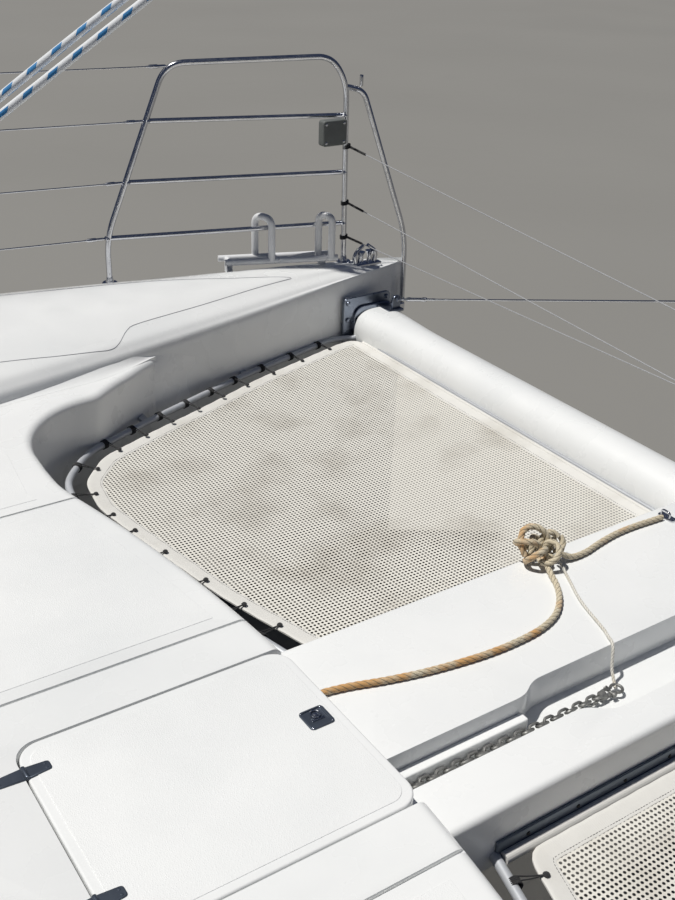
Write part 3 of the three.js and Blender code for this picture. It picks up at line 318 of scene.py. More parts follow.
def turned(profile, foot, head, sides=24):
    """A profile of (radius, distance) pairs turned about the line from foot towards head."""
    axis = unit(np.array(head, float) - foot)
    side = unit(np.cross(axis, [0, 1, 0] if abs(axis[1]) < 0.8 else [1, 0, 0]))
    across = np.cross(axis, side)
    radius, along = np.array(profile, float).T
    ring = circle(1, sides)
    points = np.array(foot) + along[:, None, None] * axis
    points = points + radius[:, None, None] * (ring[None, :, :1] * side + ring[None, :, 1:] * across)
    return grid(points, around=True, ends=True)


def stood(profile, at, sides=24):
    """The same, turned about the upright through a place."""
    return turned(profile, at, np.array(at) + [0, 0, 1], sides)


# %% Outlines and plates
def arc(centre, radius, start, end, steps):
    a = np.radians(np.linspace(start, end, steps + 1))
    return np.stack([centre[0] + radius * np.cos(a), centre[1] + radius * np.sin(a)], axis=1)


def round_rect(x, y, radius, steps=8):
    """A rectangle's outline with quarter-circle corners, anticlockwise."""
    corners = [
        (x[0], y[0], 1, 1, 180), (x[1], y[0], -1, 1, 270), (x[1], y[1], -1, -1, 0),
        (x[0], y[1], 1, -1, 90)]
    bits = [arc((u + i * radius, v + j * radius), radius, a, a + 90, steps) for u, v, i, j, a in corners]
    return np.concatenate(bits)


def inset(outline, distance):
    """A closed outline moved inwards, corner by corner, along the mean of its two normals."""
    after = np.roll(outline, -1, axis=0)
    distance = distance * np.sign((outline[:, 0] * after[:, 1] - outline[:, 1] * after[:, 0]).sum())
    before = unit(outline - np.roll(outline, 1, axis=0))
    after = unit(np.roll(outline, -1, axis=0) - outline)
    inward = unit(np.stack([-before[:, 1] - after[:, 1], before[:, 0] + after[:, 0]], axis=1))
    stretch = inward[:, :1] * -before[:, 1:] + inward[:, 1:] * before[:, :1]
    return outline + inward * distance / np.maximum(stretch, 0.35)


def plate(outline, low, high, edge, steps=4, both=False):
    """A flat plate with a quarter-round upper edge, and lower edge where both are asked: going up the
    edge by angle a, the outline moves in by edge * (1 - cos a) and rises by edge * sin a."""
    a = np.linspace(0, math.pi / 2, steps + 1)
    rows = [(edge * (1 - math.cos(v)), high - edge + edge * math.sin(v)) for v in a]
    rows.append((edge * 1.3 + 0.0005, high))
    under = [(d, low + high - z) for d, z in rows[::-1]] if both else [(0, low)]
    rows = under + rows
    points = np.array([np.column_stack([inset(outline, d), np.full(len(outline), z)]) for d, z in rows])
    return grid(points, around=True, ends=True)


def block(x, y, z):
    """A plain box, for cutting."""
    corners = np.array([[x[0], y[0]], [x[1], y[0]], [x[1], y[1]], [x[0], y[1]]], float)
    return plate(corners, *z, SHARP, 1)


# %% [markdown]
# ## Finishes
# A boat has few materials, and each shows its own small variation: gelcoat is glossy with a faint
# orange-peel and a chalky film, decks carry a fine non-slip grain, stainless steel is bright with soft
# rub marks, cloth is woven. Each finish is one principled shader whose colour, roughness and bump come
# from procedural noise on object coordinates, so nothing is painted from a picture.

# %% A small kit for node materials
class Finish:
    """One material: a principled shader, with steps that feed its colour, roughness and normal."""

    def __init__(self, name, colour, roughness, metallic=0.0, **sockets):
        self.material = bpy.data.materials.new(name)
        self.material.use_nodes = True
        self.material.diffuse_color = (*colour[:3], 1)
        self.tree = self.material.node_tree
        self.shader = self.tree.nodes["Principled BSDF"]
        self.shader.inputs["Base Color"].default_value = (*colour[:3], 1)
        self.shader.inputs["Roughness"].default_value = roughness
        self.shader.inputs["Metallic"].default_value = metallic
        for key, value in sockets.items():
            self.shader.inputs[key.replace("_", " ")].default_value = value
        self.normal = None

    def node(self, kind, **settings):
        made = self.tree.nodes.new("ShaderNode" + kind)
        for key, value in settings.items():
            if key in made.inputs:
                made.inputs[key].default_value = value
            else:
                setattr(made, key, value)
        return made

    def feed(self, source, socket):
        """A socket takes another node's output, a colour or a number."""
        if isinstance(source, bpy.types.NodeSocket):
            self.tree.links.new(source, socket)
        else:
            socket.default_value = (*source[:3], 1) if isinstance(source, tuple) else source

    def place(self, scale=(1, 1, 1), source="Object"):
        """Coordinates, stretched along each axis by the given scale."""
        coordinates = self.node("TexCoord").outputs[source]
        mapping = self.node("Mapping")
        mapping.inputs["Scale"].default_value = scale
        self.feed(coordinates, mapping.inputs["Vector"])
        return mapping.outputs["Vector"]

    def noise(self, size, detail=3, stretch=(1, 1, 1), source="Object"):
        """Noise whose blotches are about the given size in metres."""
        made = self.node("TexNoise", Scale=1 / size, Detail=float(detail))
        self.feed(self.place(stretch, source), made.inputs["Vector"])
        return made.outputs["Fac"]

    def ramp(self, value, stops):
        """Colours laid along a value between 0 and 1."""
        made = self.node("ValToRGB")
        line = made.color_ramp
        while len(line.elements) < len(stops):
            line.elements.new(0.5)
        for element, (at, colour) in zip(line.elements, stops):
            element.position = at
            element.color = (*colour[:3], 1)
        self.feed(value, made.inputs["Fac"])
        return made.outputs["Color"]

    def mix(self, amount, a, b):
        made = self.node("Mix", data_type="RGBA")
        for number, source in ((0, amount), (6, a), (7, b)):
            self.feed(source, made.inputs[number])
        return made.outputs[2]

    def math(self, operation, a, b=0.0):
        made = self.node("Math", operation=operation)
        self.feed(a, made.inputs[0])
        self.feed(b, made.inputs[1])
        return made.outputs[0]

    def between(self, value, low, high, to_low=0.0, to_high=1.0):
        """A value read from one range into another, held at its ends."""
        made = self.node("MapRange")
        for key, number in (("From Min", low), ("From Max", high), ("To Min", to_low), ("To Max", to_high)):
            made.inputs[key].default_value = number
        self.feed(value, made.inputs["Value"])
        return made.outputs["Result"]

    def axis(self, letter, source="Object"):
        """One coordinate, in metres."""
        split = self.node("SeparateXYZ")
        self.feed(self.node("TexCoord").outputs[source], split.inputs[0])
        return split.outputs[letter]

    def colour(self, source):
        self.feed(source, self.shader.inputs["Base Color"])
        return self

    def rough(self, value, low, high):
        self.feed(self.between(value, 0.3, 0.7, low, high), self.shader.inputs["Roughness"])
        return self

    def bump(self, height, depth, strength=1.0):
        """Raises the surface by up to the given depth in metres where the height is 1."""
        made = self.node("Bump", Strength=strength, Distance=depth)
        self.feed(height, made.inputs["Height"])
        if self.normal:
            self.feed(self.normal, made.inputs["Normal"])
        self.normal = made.outputs["Normal"]
        self.feed(self.normal, self.shader.inputs["Normal"])
        return self


# %% Gelcoat and deck finishes
WHITE = (0.83, 0.84, 0.835)
CHALK = (0.76, 0.775, 0.775)


def gelcoat(name, white=WHITE, chalk=CHALK, gloss=0.22, grain=0.0):
    """White laminate skin. Large soft noise mixes clean and chalky white, small noise gives orange-peel,
    and a deck has a fine grain of rounded cells that stops feet from sliding."""
    made = Finish(name, white, gloss, Coat_Weight=0.25, Coat_Roughness=0.12)
    film = made.noise(0.55, detail=5)
    made.colour(made.mix(made.between(film, 0.42, 0.72), white, chalk))
    made.rough(made.noise(0.12, detail=4), gloss, gloss + 0.16)
    made.bump(made.noise(0.006, detail=1), 0.00003)
    made.bump(made.noise(0.9, detail=1), 0.0012)
    if grain:
        cells = made.node("TexVoronoi", Scale=1 / 0.0042, feature="DISTANCE_TO_EDGE")
        made.feed(made.place(), cells.inputs["Vector"])
        made.bump(made.between(cells.outputs["Distance"], 0.0, 0.4), grain)
    return made.material


def hull_skin():
    """White topsides, a dark boot stripe just above the water and slate antifouling below it. The height
    above the water picks the colour, with a thin smear of growth along the waterline."""
    made = Finish("hull skin", WHITE, 0.2, Coat_Weight=0.3, Coat_Roughness=0.1)
    height = made.axis("Z")
    film = made.noise(0.6, detail=5)
    clean = made.mix(made.between(film, 0.42, 0.72), WHITE, CHALK)
    slime = made.noise(0.05, detail=6, stretch=(0.3, 0.3, 1))
    line = made.between(made.math("ADD", height, made.math("MULTIPLY", slime, -0.05)), 0.03, 0.034)
    stripe = made.between(height, 0.088, 0.09)
    bottom = made.ramp(slime, [(0.3, (0.05, 0.065, 0.085)), (0.7, (0.085, 0.1, 0.11))])
    below = made.mix(line, bottom, (0.02, 0.03, 0.07))
    made.colour(made.mix(stripe, below, clean))
    made.rough(made.noise(0.15, detail=4), 0.18, 0.34)
    made.bump(made.noise(0.006, detail=1), 0.00003)
    made.bump(made.noise(1.3, detail=1), 0.002)
    return made.material


smooth_white = gelcoat("gelcoat")
deck_white = gelcoat("deck gelcoat", gloss=0.34, grain=0.0004)
hull_white = hull_skin()
print("gelcoat finishes ready")

# %% Metals, glass, cloth, line and rubber
def polished(name, colour, roughness, streak=0.02):
    """Polished or brushed metal: long thin noise rubs the roughness, and a faint film dulls the colour."""
    made = Finish(name, colour, roughness, metallic=1.0)
    film = made.noise(0.09, detail=5)
    dull = tuple(0.72 * c for c in colour)
    made.colour(made.mix(made.between(film, 0.5, 0.85), colour, dull))
    made.rough(made.noise(streak, detail=3), roughness, roughness + 0.14)
    made.bump(made.noise(0.03, detail=2), 0.00012)
    return made.material


def plain(name, colour, roughness, size=0.02, vary=0.12, depth=0.0002, **sockets):
    """Paint, rubber, moulded plastic or cast metal: a colour that wanders a little, over a fine grain."""
    made = Finish(name, colour, roughness, **sockets)
    dark = tuple(c * (1 - vary) for c in colour)
    made.colour(made.mix(made.between(made.noise(size * 6, detail=5), 0.35, 0.7), colour, dark))
    made.rough(made.noise(size * 3, detail=3), roughness, min(1.0, roughness + 0.15))
    made.bump(made.noise(size, detail=3), depth)
    return made.material


def woven(name, colour, shade, thread=0.0012, roughness=0.85, source="Object", depth=0.0003, stain=0.5):
    """Cloth: two waves at right angles make the weave, and broad noise soils it."""
    made = Finish(name, colour, roughness, Sheen_Weight=0.15, Sheen_Roughness=0.5)
    waves = []
    for direction in ("X", "Y"):
        wave = made.node("TexWave", bands_direction=direction, Scale=1 / (thread * 6.3) * 0.5)
        made.feed(made.place(source=source), wave.inputs["Vector"])
        waves.append(wave.outputs["Fac"])
    weave = made.math("MAXIMUM", waves[0], waves[1])
    soil = made.between(made.noise(0.22, detail=6, source=source), stain, stain + 0.3)
    made.colour(made.mix(soil, colour, shade))
    made.bump(weave, depth)
    made.bump(made.noise(0.05, detail=3, source=source), 0.001)
    return made.material


steel = polished("stainless steel", (0.62, 0.63, 0.66), 0.10)
# Painted reflection: the dark bluish colour of this steel stands in for the dark sky that the polished
# hinges and latch reflect.
dark_steel = plain(
    "steel darkened as painted reflection", (0.10, 0.12, 0.155), 0.3, size=0.01, vary=0.3, depth=0.0001, metallic=0.6)
# Painted reflection: the dark bluish colour of the bracket plate stands in for the sky that it reflects in
# the shade of the hull.
bracket_steel = polished("bracket steel darkened as painted reflection", (0.24, 0.27, 0.33), 0.25)
wire_grey = plain("wire rope", (0.45, 0.46, 0.48), 0.4, size=0.002, metallic=0.3)
white_coat = plain("white powder coat", (0.78, 0.79, 0.80), 0.3, depth=0.0001)
alloy = polished("anodised alloy", (0.66, 0.67, 0.68), 0.32)
track_grey = plain("anodised track", (0.17, 0.20, 0.24), 0.42, metallic=0.3)
tube_grey = plain("lacing tube", (0.55, 0.57, 0.60), 0.35, metallic=0.3)
black_rubber = plain("black rubber", (0.015, 0.015, 0.017), 0.6)
black_cord = woven("black lashing cord", (0.02, 0.02, 0.022), (0.04, 0.04, 0.042), thread=0.0006)
net_cloth = woven("net cloth", (0.72, 0.70, 0.64), (0.52, 0.49, 0.43), thread=0.0016)
hem_cloth = woven("net hem", (0.70, 0.69, 0.655), (0.56, 0.54, 0.49), thread=0.0008)
canvas = woven("sail bag canvas", (0.62, 0.63, 0.63), (0.5, 0.51, 0.5), thread=0.001)
galvanised = plain("galvanised steel", (0.30, 0.30, 0.29), 0.5, size=0.004, vary=0.4, metallic=0.85)
print("other finishes ready")


# %% [markdown]
# ## Light and floor
# The photograph is lit by one hard light, high up and a little from aft and port: an upright thing on the
# walkway throws a shadow four tenths as long as it is tall, forward and slightly to starboard. The weak
# fill is bluish, so faces that look to starboard fall into slate shade. One lamp far away does the same.
# The floor is a plain pale disc at the waterline.

# %% Floor, lamp and surround
FLOOR_RADIUS = 160
SUN_FROM = (-0.34, 0.22, 1.0)
SUN_SPREAD = 1.5  # degrees across the lamp's disc

ground = circle(FLOOR_RADIUS, 96)
floor = build(
    "floor", (np.column_stack([ground, np.zeros(len(ground))]), [list(range(len(ground)))]),
    plain("pale floor", (0.235, 0.23, 0.215), 0.7, size=0.4, vary=0.05, depth=0.0), body=None, closed=False)
sun = bpy.data.objects.new("sun", bpy.data.lights.new("sun", "SUN"))
sun.data.energy = 3.75
sun.data.color = (1.0, 0.975, 0.93)
sun.data.angle = math.radians(SUN_SPREAD)
sun.matrix_world = Vector(SUN_FROM).to_track_quat("Z", "Y").to_matrix().to_4x4()
bpy.context.scene.collection.objects.link(sun)
world = bpy.data.worlds.new("studio")
world.use_nodes = True
world.node_tree.nodes["Background"].inputs["Color"].default_value = (0.42, 0.56, 1.0, 1)
world.node_tree.nodes["Background"].inputs["Strength"].default_value = 0.085
bpy.context.scene.world = world
bpy.context.scene.view_settings.view_transform = "Standard"
print("floor of", FLOOR_RADIUS, "m radius")

# %% [markdown]
# ## The ropes on the walkway
# A weathered three-strand rope comes out from under the anchor lid, runs forward along the walkway to a
# big knot and on to a pad eye, and a thinner white line goes down from the knot to the chain. Laid rope
# could be a plain tube with a stripe, but three strands show in its outline: so the section is a circle
# pinched in three places, and it turns as it is carried along the route.

# %% Laid rope
WALK_TOP = 1.400
ROPE_ROUTE = [
    (3.895, 0.152, 1.4095), (3.945, 0.152, 1.4095), (3.990, 0.152, 1.4095), (4.060, 0.138, 1.4095),
    (4.150, 0.110, 1.4095), (4.250, 0.085, 1.4095), (4.350, 0.068, 1.4095), (4.440, 0.058, 1.4095),
    (4.530, 0.056, 1.4095), (4.620, 0.064, 1.4095), (4.695, 0.088, 1.4095), (4.752, 0.130, 1.4095),
    (4.796, 0.185, 1.4095), (4.822, 0.240, 1.4120), (4.840, 0.290, 1.4300),
]
ROPE_FORE_ROUTE = [
    (4.880, 0.290, 1.4400), (4.930, 0.272, 1.4140), (4.990, 0.272, 1.4095), (5.060, 0.286, 1.4095),
    (5.140, 0.298, 1.4095), (5.220, 0.300, 1.4095), (5.290, 0.296, 1.4095), (5.340, 0.293, 1.4095),
]
SNUBBER_ROUTE = [
    (4.868, 0.280, 1.4400), (4.870, 0.245, 1.4180), (4.862, 0.215, 1.4060), (4.845, 0.180, 1.4050),
    (4.820, 0.130, 1.4050), (4.800, 0.080, 1.4050), (4.785, 0.030, 1.4050), (4.770, -0.020, 1.4050),
    (4.757, -0.050, 1.4055), (4.748, -0.070, 1.4070), (4.738, -0.086, 1.4000), (4.730, -0.096, 1.3780),
    (4.722, -0.108, 1.3500), (4.713, -0.128, 1.3280), (4.704, -0.142, 1.3240),
]
KNOT_AT = np.array([4.850, 0.318, 1.454])
STRANDS = 3
PINCH = 0.20  # how deep the valleys between strands are, as a share of the radius


def laid(path, radius, lay=3.4, sides=30):
    """Laid rope: round the path by angle a at distance s, the radius is R (1 - pinch (1 - |cos 1.5 (a -
    turn)|)), where the turn goes once round in each length of lay, a few diameters."""
    length = measured(path)
    a = np.linspace(0, TAU, sides, endpoint=False)
    turn = TAU * length / (2 * radius * lay)
    pinch = 1 - PINCH * (1 - np.abs(np.cos(STRANDS / 2 * (a[None] - turn[:, None]))))
    section = np.stack([np.cos(a) * pinch, np.sin(a) * pinch], axis=2) * radius
    uv = np.stack(np.broadcast_arrays(length[:, None], (a[None] - turn[:, None]) / TAU * STRANDS), axis=2)
    return grid(carried(path, section), around=True, ends=True), uv.reshape(-1, 2)


def rope_finish(name, light, dark, stain):
    """Fibre: fine streaks slanting across each strand, painted shade that darkens the valleys between
    strands, and rusty stains.
    """
    made = Finish(name, light, 0.9, Sheen_Weight=0.2)
    strand_valley_shade = made.math(
        "ABSOLUTE", made.math("COSINE", made.math("MULTIPLY", made.axis("Y", "UV"), math.pi)))
    fibre = made.noise(0.0016, detail=3, stretch=(0.25, 1, 1))
    body = made.mix(made.between(fibre, 0.35, 0.65), dark, light)
    rust = made.math("ADD", made.noise(0.07, detail=5), made.between(made.axis("X"), 4.78, 4.30, 0.0, 0.12))
    rust = made.between(rust, 0.54, 0.70)
    stained = made.mix(rust, body, stain)
    # Painted shade: the valleys between strands take 0.3 of the dark fibre colour.
    made.colour(made.mix(made.between(strand_valley_shade, 0.0, 0.45), tuple(0.3 * c for c in dark), stained))
    made.bump(fibre, 0.0008)
    return made.material


old_rope = rope_finish("weathered rope", (0.72, 0.65, 0.50), (0.43, 0.36, 0.24), (0.58, 0.33, 0.13))
white_line = rope_finish("white laid line", (0.78, 0.76, 0.70), (0.58, 0.56, 0.50), (0.6, 0.55, 0.45))


def cord(name, route, radius, finish, node, step):
    """Laid rope along a route, in place of a CAD node."""
    path = smoothly(route, step)
    shape, uv = laid(path, radius)
    made = build(name, shape, finish, instead_of=[node], uv=uv)
    return made


# %% [markdown]
# ### The knot
# The rope is tied to itself in a bulky knot of several turns with one loop standing up. A real knot
# tightened in code is slow to get right, so it is drawn as what the eye reads: one rope that winds round
# a small fat ring while it rises and falls, ending in a loose tail.

# %% Knot of the tow rope
KNOT_TURNS = 5


def knot_route(count=420):
    """A winding: the angle u goes round the knot twice while the rope coils KNOT_TURNS times about that
    ring, and the ring swells and leans so that no two turns look alike."""
    u = np.linspace(0, 1, count)
    around = TAU * 2 * u
    coil = TAU * KNOT_TURNS * u + 0.6
    ring = 0.037 + 0.007 * np.sin(3.1 * around)
    radius = ring + 0.0215 * np.cos(coil)
    height = 0.0235 * np.sin(coil) + 0.008 * np.sin(around * 0.5 + 0.4)
    route = np.stack([1.22 * radius * np.cos(around), radius * np.sin(around), height], axis=1)
    return route + KNOT_AT + [0, 0, -0.009]


knot_path = evenly(knot_route(), 0.0035)
loop = np.array([(4.800, 0.325, 1.432), (4.795, 0.345, 1.465), (4.815, 0.360, 1.492), (4.845, 0.355, 1.500),
                 (4.868, 0.335, 1.490), (4.880, 0.318, 1.462), (4.878, 0.300, 1.438)])
tail = np.array([
    (4.905, 0.320, 1.450), (4.918, 0.340, 1.440), (4.920, 0.365, 1.425), (4.912, 0.378, 1.4115)])
knot_shapes, knot_uv = zip(
    *[laid(p, 0.0098) for p in (knot_path, smoothly(loop, 0.0035), smoothly(tail, 0.0035))])
knot = build("rope_knot_turns", joined(*knot_shapes), old_rope, instead_of=["rope_knot"],
             uv=np.concatenate(knot_uv))

cord("tow_rope_laid", ROPE_ROUTE, 0.009, old_rope, "tow_rope", 0.0035)
cord("tow_rope_fore_laid", ROPE_FORE_ROUTE, 0.009, old_rope, "tow_rope_fore",
     0.0035)
cord("snubber_line_laid", SNUBBER_ROUTE, 0.0045, white_line, "snubber_line",
     0.002)

# %% [markdown]
# ## The hulls
# Each hull is a smooth laminate shell, wide amidships and fine at the bow. It could be subdivided from
# the faceted solid, but stern steps and deck edges would go soft. So it is lofted again from the same
# few stations, read with smooth curves both along the hull and round each section.

# %% Hull stations
HULL_Y = 2.46
STATIONS = np.array([
    # x, half width at the deck, half width at the waterline, keel line, deck edge
    (-5.750, 0.600, 0.470, -0.040, 1.500),
    (-4.800, 0.690, 0.560, -0.230, 1.510),
    (-3.500, 0.760, 0.610, -0.380, 1.520),
    (-1.500, 0.800, 0.640, -0.470, 1.530),
    (0.500, 0.800, 0.630, -0.490, 1.540),
    (2.200, 0.730, 0.540, -0.460, 1.550),
    (3.300, 0.590, 0.410, -0.420, 1.555),
    (4.140, 0.440, 0.290, -0.370, 1.555),
    (4.900, 0.275, 0.165, -0.310, 1.550),
    (5.500, 0.130, 0.075, -0.240, 1.540),
    (5.850, 0.045, 0.026, -0.170, 1.515),
    (5.930, 0.014, 0.010, -0.110, 1.500),
])
STERN_STEPS = [(-4.700, 1.200), (-5.040, 0.850), (-5.380, 0.450)]  # aft of x, above z cut away
SECTION_STEPS = 7  # points to each stretch of a section
SIDE_POINTS = 57  # points of a half section up to the shoulder, before the deck begins


def faired(x, knots, values):
    """A smooth reading between knots, each stretch a cubic with the slope of its neighbours."""
    slope = np.gradient(values, knots, axis=0)
    i = np.clip(np.searchsorted(knots, x, side="right") - 1, 0, len(knots) - 2)
    h = (knots[i + 1] - knots[i])[:, None]
    t = ((x - knots[i])[:, None]) / h
    return cubic(t, values[i], values[i + 1], h * slope[i], h * slope[i + 1])


def half_sections(x):
    """Half sections from the keel round to the middle of the deck, as (distance from the hull's middle
    line, height), at each x: a round bottom, a flared side, a rounded shoulder and a crowned deck."""
    deck, water, keel, edge = faired(x, STATIONS[:, 0], STATIONS[:, 1:]).T
    s = 0.12 * (1 - np.exp(-deck / 0.18))
    zero = np.zeros_like(deck)
    rows = [
        (-0.3 * water, 0.97 * keel), (zero, keel), (0.3 * water, 0.97 * keel), (0.66 * water, 0.7 * keel),
        (0.92 * water, 0.28 * keel), (water + 0.12 * (deck - water), zero + 0.15),
        (water + 0.7 * (deck - water), zero + 0.65), (deck, edge - 0.42), (deck, edge - s),
        (deck - 0.3 * s, edge - 0.3 * s), (deck - s, edge), (0.35 * deck, edge + 0.09 * deck),
        (zero, edge + 0.1 * deck), (-0.35 * deck, edge + 0.09 * deck),
    ]
    p = np.array([np.stack(row, axis=1) for row in rows]).transpose(1, 0, 2)
    return np.concatenate([through(p, SECTION_STEPS), p[:, -2:-1]], axis=1)


def deck_height(x, y):
    """Height of the port or starboard hull's deck skin at a place."""
    x, y = np.broadcast_arrays(np.asarray(x, float), np.abs(np.asarray(y, float)))
    out = []
    for section, off in zip(half_sections(x.ravel()), np.abs(y.ravel() - HULL_Y)):
        top = section[section[:, 1] > 1.2]
        out.append(np.interp(off, top[::-1, 0], top[::-1, 1]))
    return np.reshape(out, x.shape)


def hull_places():
    """Where the hull's sections stand, as (x, height): aft of a step's riser a section goes only up to that
    step's height, and at the riser there are two sections, one for each height."""
    x = np.concatenate([np.arange(-5.75, 5.5, 0.14), np.arange(5.5, 5.93, 0.04), [5.93]])
    x = np.unique(np.round(x, 4))
    uncut = 9.0  # a height above all of the hull
    rows = [(v, uncut) for v in x if v > STERN_STEPS[0][0]]
    ends = [riser for riser, _ in STERN_STEPS[1:]] + [STATIONS[0, 0]]
    for (riser, height), end in zip(STERN_STEPS, ends):
        tread = [(v, height) for v in x if end < v < riser]
        rows = tread + [(riser, height), (riser, rows[0][1])] + rows
    return [(STATIONS[0, 0], STERN_STEPS[-1][1])] + rows


def hull_shape():
    """The port hull: at each place a section is read up to its height and closed by a flat tread."""
    rows = hull_places()
    rings = []
    for (x, height), section in zip(rows, half_sections(np.array([row[0] for row in rows]))):
        side, top = section[:SIDE_POINTS], section[SIDE_POINTS:]
        if height < section[:, 1].max():
            count = np.arange(len(side))
            read = np.linspace(0, np.interp(height, side[:, 1], count), len(side))
            side = np.stack([np.interp(read, count, c) for c in side.T], axis=1)
            top = np.stack([np.linspace(side[-1, 0], 0, len(top)), np.full(len(top), height)], axis=1)
        port = np.concatenate([side, top])
        ring = np.concatenate([port[:-1], (port * [-1, 1])[::-1][:-1]])
        rings.append(np.column_stack([np.full(len(ring), x), HULL_Y + ring[:, 0], ring[:, 1]]))
    middle = rings[-1].mean(axis=0)
    nose = middle + (rings[-1] - middle) * [1, 0.35, 0.985] + [0.008, 0, 0]
    return grid(np.array(rings + [nose]), around=True, ends=True)


KEEL_LEVELS = [(1.0, -0.33), (0.86, -0.80), (0.70, -1.08), (0.66, -1.115), (0.60, -1.12)]


def keel_shape():
    """The stub keel: a foil section 2.3 m long that shrinks downwards."""
    a = np.linspace(0, TAU, 48, endpoint=False)
    rows = []
    for scale, z in KEEL_LEVELS:
        x = -0.35 + np.cos(a) * 1.15 * scale
        y = HULL_Y + 0.13 * scale * np.sin(a) * (0.78 + 0.22 * np.cos(a))
        rows.append(np.column_stack([x, y, np.full(len(a), z)]))
    return grid(np.array(rows[::-1]), around=True, ends=True)


BAY_X, BAY_HALF, LID_Z = (-4.56, -3.76), 0.31, 1.59
HATCH = dict(x=(2.350, 2.870), y=(2.230, 2.690), z=(1.6113, 1.6520), rim=0.045)
bay = (HULL_Y - BAY_HALF, HULL_Y + BAY_HALF)
bay_cut = block(BAY_X, bay, (0.25, 1.8))
rebate = round_rect((BAY_X[0] - 0.045, BAY_X[1] + 0.09), (bay[0] - 0.045, bay[1] + 0.045), 0.06)
rebate_cut = plate(rebate, LID_Z - 0.03, 1.8, SHARP, 1)
opening = [(side[0] + HATCH["rim"], side[1] - HATCH["rim"]) for side in (HATCH["x"], HATCH["y"])]
hatch_cut = plate(round_rect(*opening, 0.05), 1.20, 1.8, SHARP, 1)
hull_port = build("hull_skin_port", hull_shape(), hull_white, instead_of=["hull_port"])
carved(hull_port, keel_shape(), operation="UNION")
carved(hull_port, bay_cut, rebate_cut, hatch_cut)
softened(hull_port, 0.004)
hull_mesh = hull_port.data.copy()
hull_mesh.transform(Matrix.Scale(-1, 4, (0, 1, 0)))
hull_mesh.flip_normals()
placed("hull_skin_starboard", hull_mesh, instead_of=["hull_starboard"])
print("hull faces", len(hull_mesh.polygons))

# %% [markdown]
# ## The foredeck
# Between the hulls the bridge deck ends in a moulded foredeck: a thick white slab with a rounded front
# edge that curves back into hollow corners beside the hulls. The faceted solid has the right outline, so
# it stays below, and a new slab with a real rounded edge takes the place of its top. The lid's seat, the
# chain channel and the panel grooves are cut out of it, and then their edges are softened.

# %% Foredeck slab
DECK_TOP = 1.465
SLAB_BOTTOM = 1.135
SLAB_AFT = 1.60
GROOVES_Y = (0.440, 1.232)
GROOVE_HALF = 0.0042
LOCKER = dict(x=(3.330, 3.890), y=(-0.235, 0.235), floor=0.960)
LID = dict(x=(3.285, 3.962), y=(-0.290, 0.290), thick=0.042, round=0.055)
CHANNEL = dict(narrow=(-0.210, -0.105), wide=(-0.258, -0.072), floor=1.310, step=(4.420, 4.570),
               shelf=1.352, shelf_wide=0.030)
ROPE_SLOT = (0.122, 0.182)
CORNER = dict(at=(4.130, 1.545), radius=0.325)
SHOULDER = 0.028


def front_edge():
    """The port half of the front edge, from the middle outwards: a shallow curve x = 3.975 - 0.1 y y, a
    short easing, and a quarter circle into the ledge that runs out along the hull."""
    y = np.linspace(0, 1.22, 36)
    shallow = np.stack([3.975 - 0.1006 * y**2, y], axis=1)
    easing = smoothly([(3.8253, 1.22), (3.803, 1.33), (3.7995, 1.44), (3.805, 1.545)], 0.03)[1:-1]
    hollow = arc(CORNER["at"], CORNER["radius"], 180, 90, 24)
    ledge = smoothly(
        [(4.16, 1.880), (4.25, 1.942), (4.33, 1.988), (4.40, 2.034), (4.46, 2.072), (4.495, 2.14)], 0.03)
    return np.concatenate([shallow, easing, hollow, ledge])


deck_half = np.concatenate([front_edge(), [(4.495, 2.24), (3.5, 2.24), (3.3, 2.08), (SLAB_AFT, 2.08)]])
deck_outline = np.concatenate([deck_half, (deck_half[1:] * [1, -1])[::-1]])
slab = build("foredeck_slab", plate(deck_outline, SLAB_BOTTOM, DECK_TOP, SHOULDER, steps=6), smooth_white)
seat = round_rect(
    (LID["x"][0] - 0.005, LID["x"][1] + 0.06), (LID["y"][0] - 0.005, LID["y"][1] + 0.005), LID["round"])
groove_cuts = [
    block((2.9, 4.1), (s * g - GROOVE_HALF, s * g + GROOVE_HALF), (DECK_TOP - 0.011, DECK_TOP + 0.01))
    for g in GROOVES_Y for s in (-1, 1)
]
carved(
    slab,
    plate(seat, DECK_TOP - LID["thick"] - 0.0003, 1.6, SHARP, 1),
    block(LOCKER["x"], LOCKER["y"], (1.0, 1.6)),
    block((LOCKER["x"][1] - 0.02, 4.1), CHANNEL["narrow"], (CHANNEL["floor"], 1.6)),
    block((LOCKER["x"][1] - 0.02, 4.1), ROPE_SLOT, (WALK_TOP, 1.6)),
    *groove_cuts,
)
softened(slab, 0.0022)
print("foredeck faces", len(slab.data.polygons))


def flat_faces_whole(loose):
    bmesh.ops.remove_doubles(loose, verts=loose.verts, dist=SAME_PLACE)
    bmesh.ops.dissolve_limit(loose, angle_limit=math.radians(0.5), verts=loose.verts, edges=loose.edges)


def cad_copy(name, node, finish, body="root"):
    """A copy of a CAD node's mesh, merged and with its flat faces whole, to cut and soften."""
    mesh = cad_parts[node].data.copy()
    edited(mesh, flat_faces_whole)
    mesh.materials.clear()
    mesh.materials.append(finish)
    return placed(name, mesh, body, [node])


bridge = cad_copy("bridge_shell", "bridge_deck", smooth_white)
BETWEEN_HULLS = (-2.3, 2.3)
carved(bridge, block((SLAB_AFT, 4.8), BETWEEN_HULLS, (SLAB_BOTTOM, 1.6)),
       block((4.44, 4.8), BETWEEN_HULLS, (0.9, 1.6)))
softened(bridge, 0.008)

# %% [markdown]
# ### Cove and fairing beside the hulls
# The deck doesn't meet the hull in a sharp corner. Beside it runs a cove, and where the narrow ledge runs
# out, its wall fades into the side of the hull. Both are strips whose sections move from a deck line to
# the hull's own skin, so they can't leave a gap.

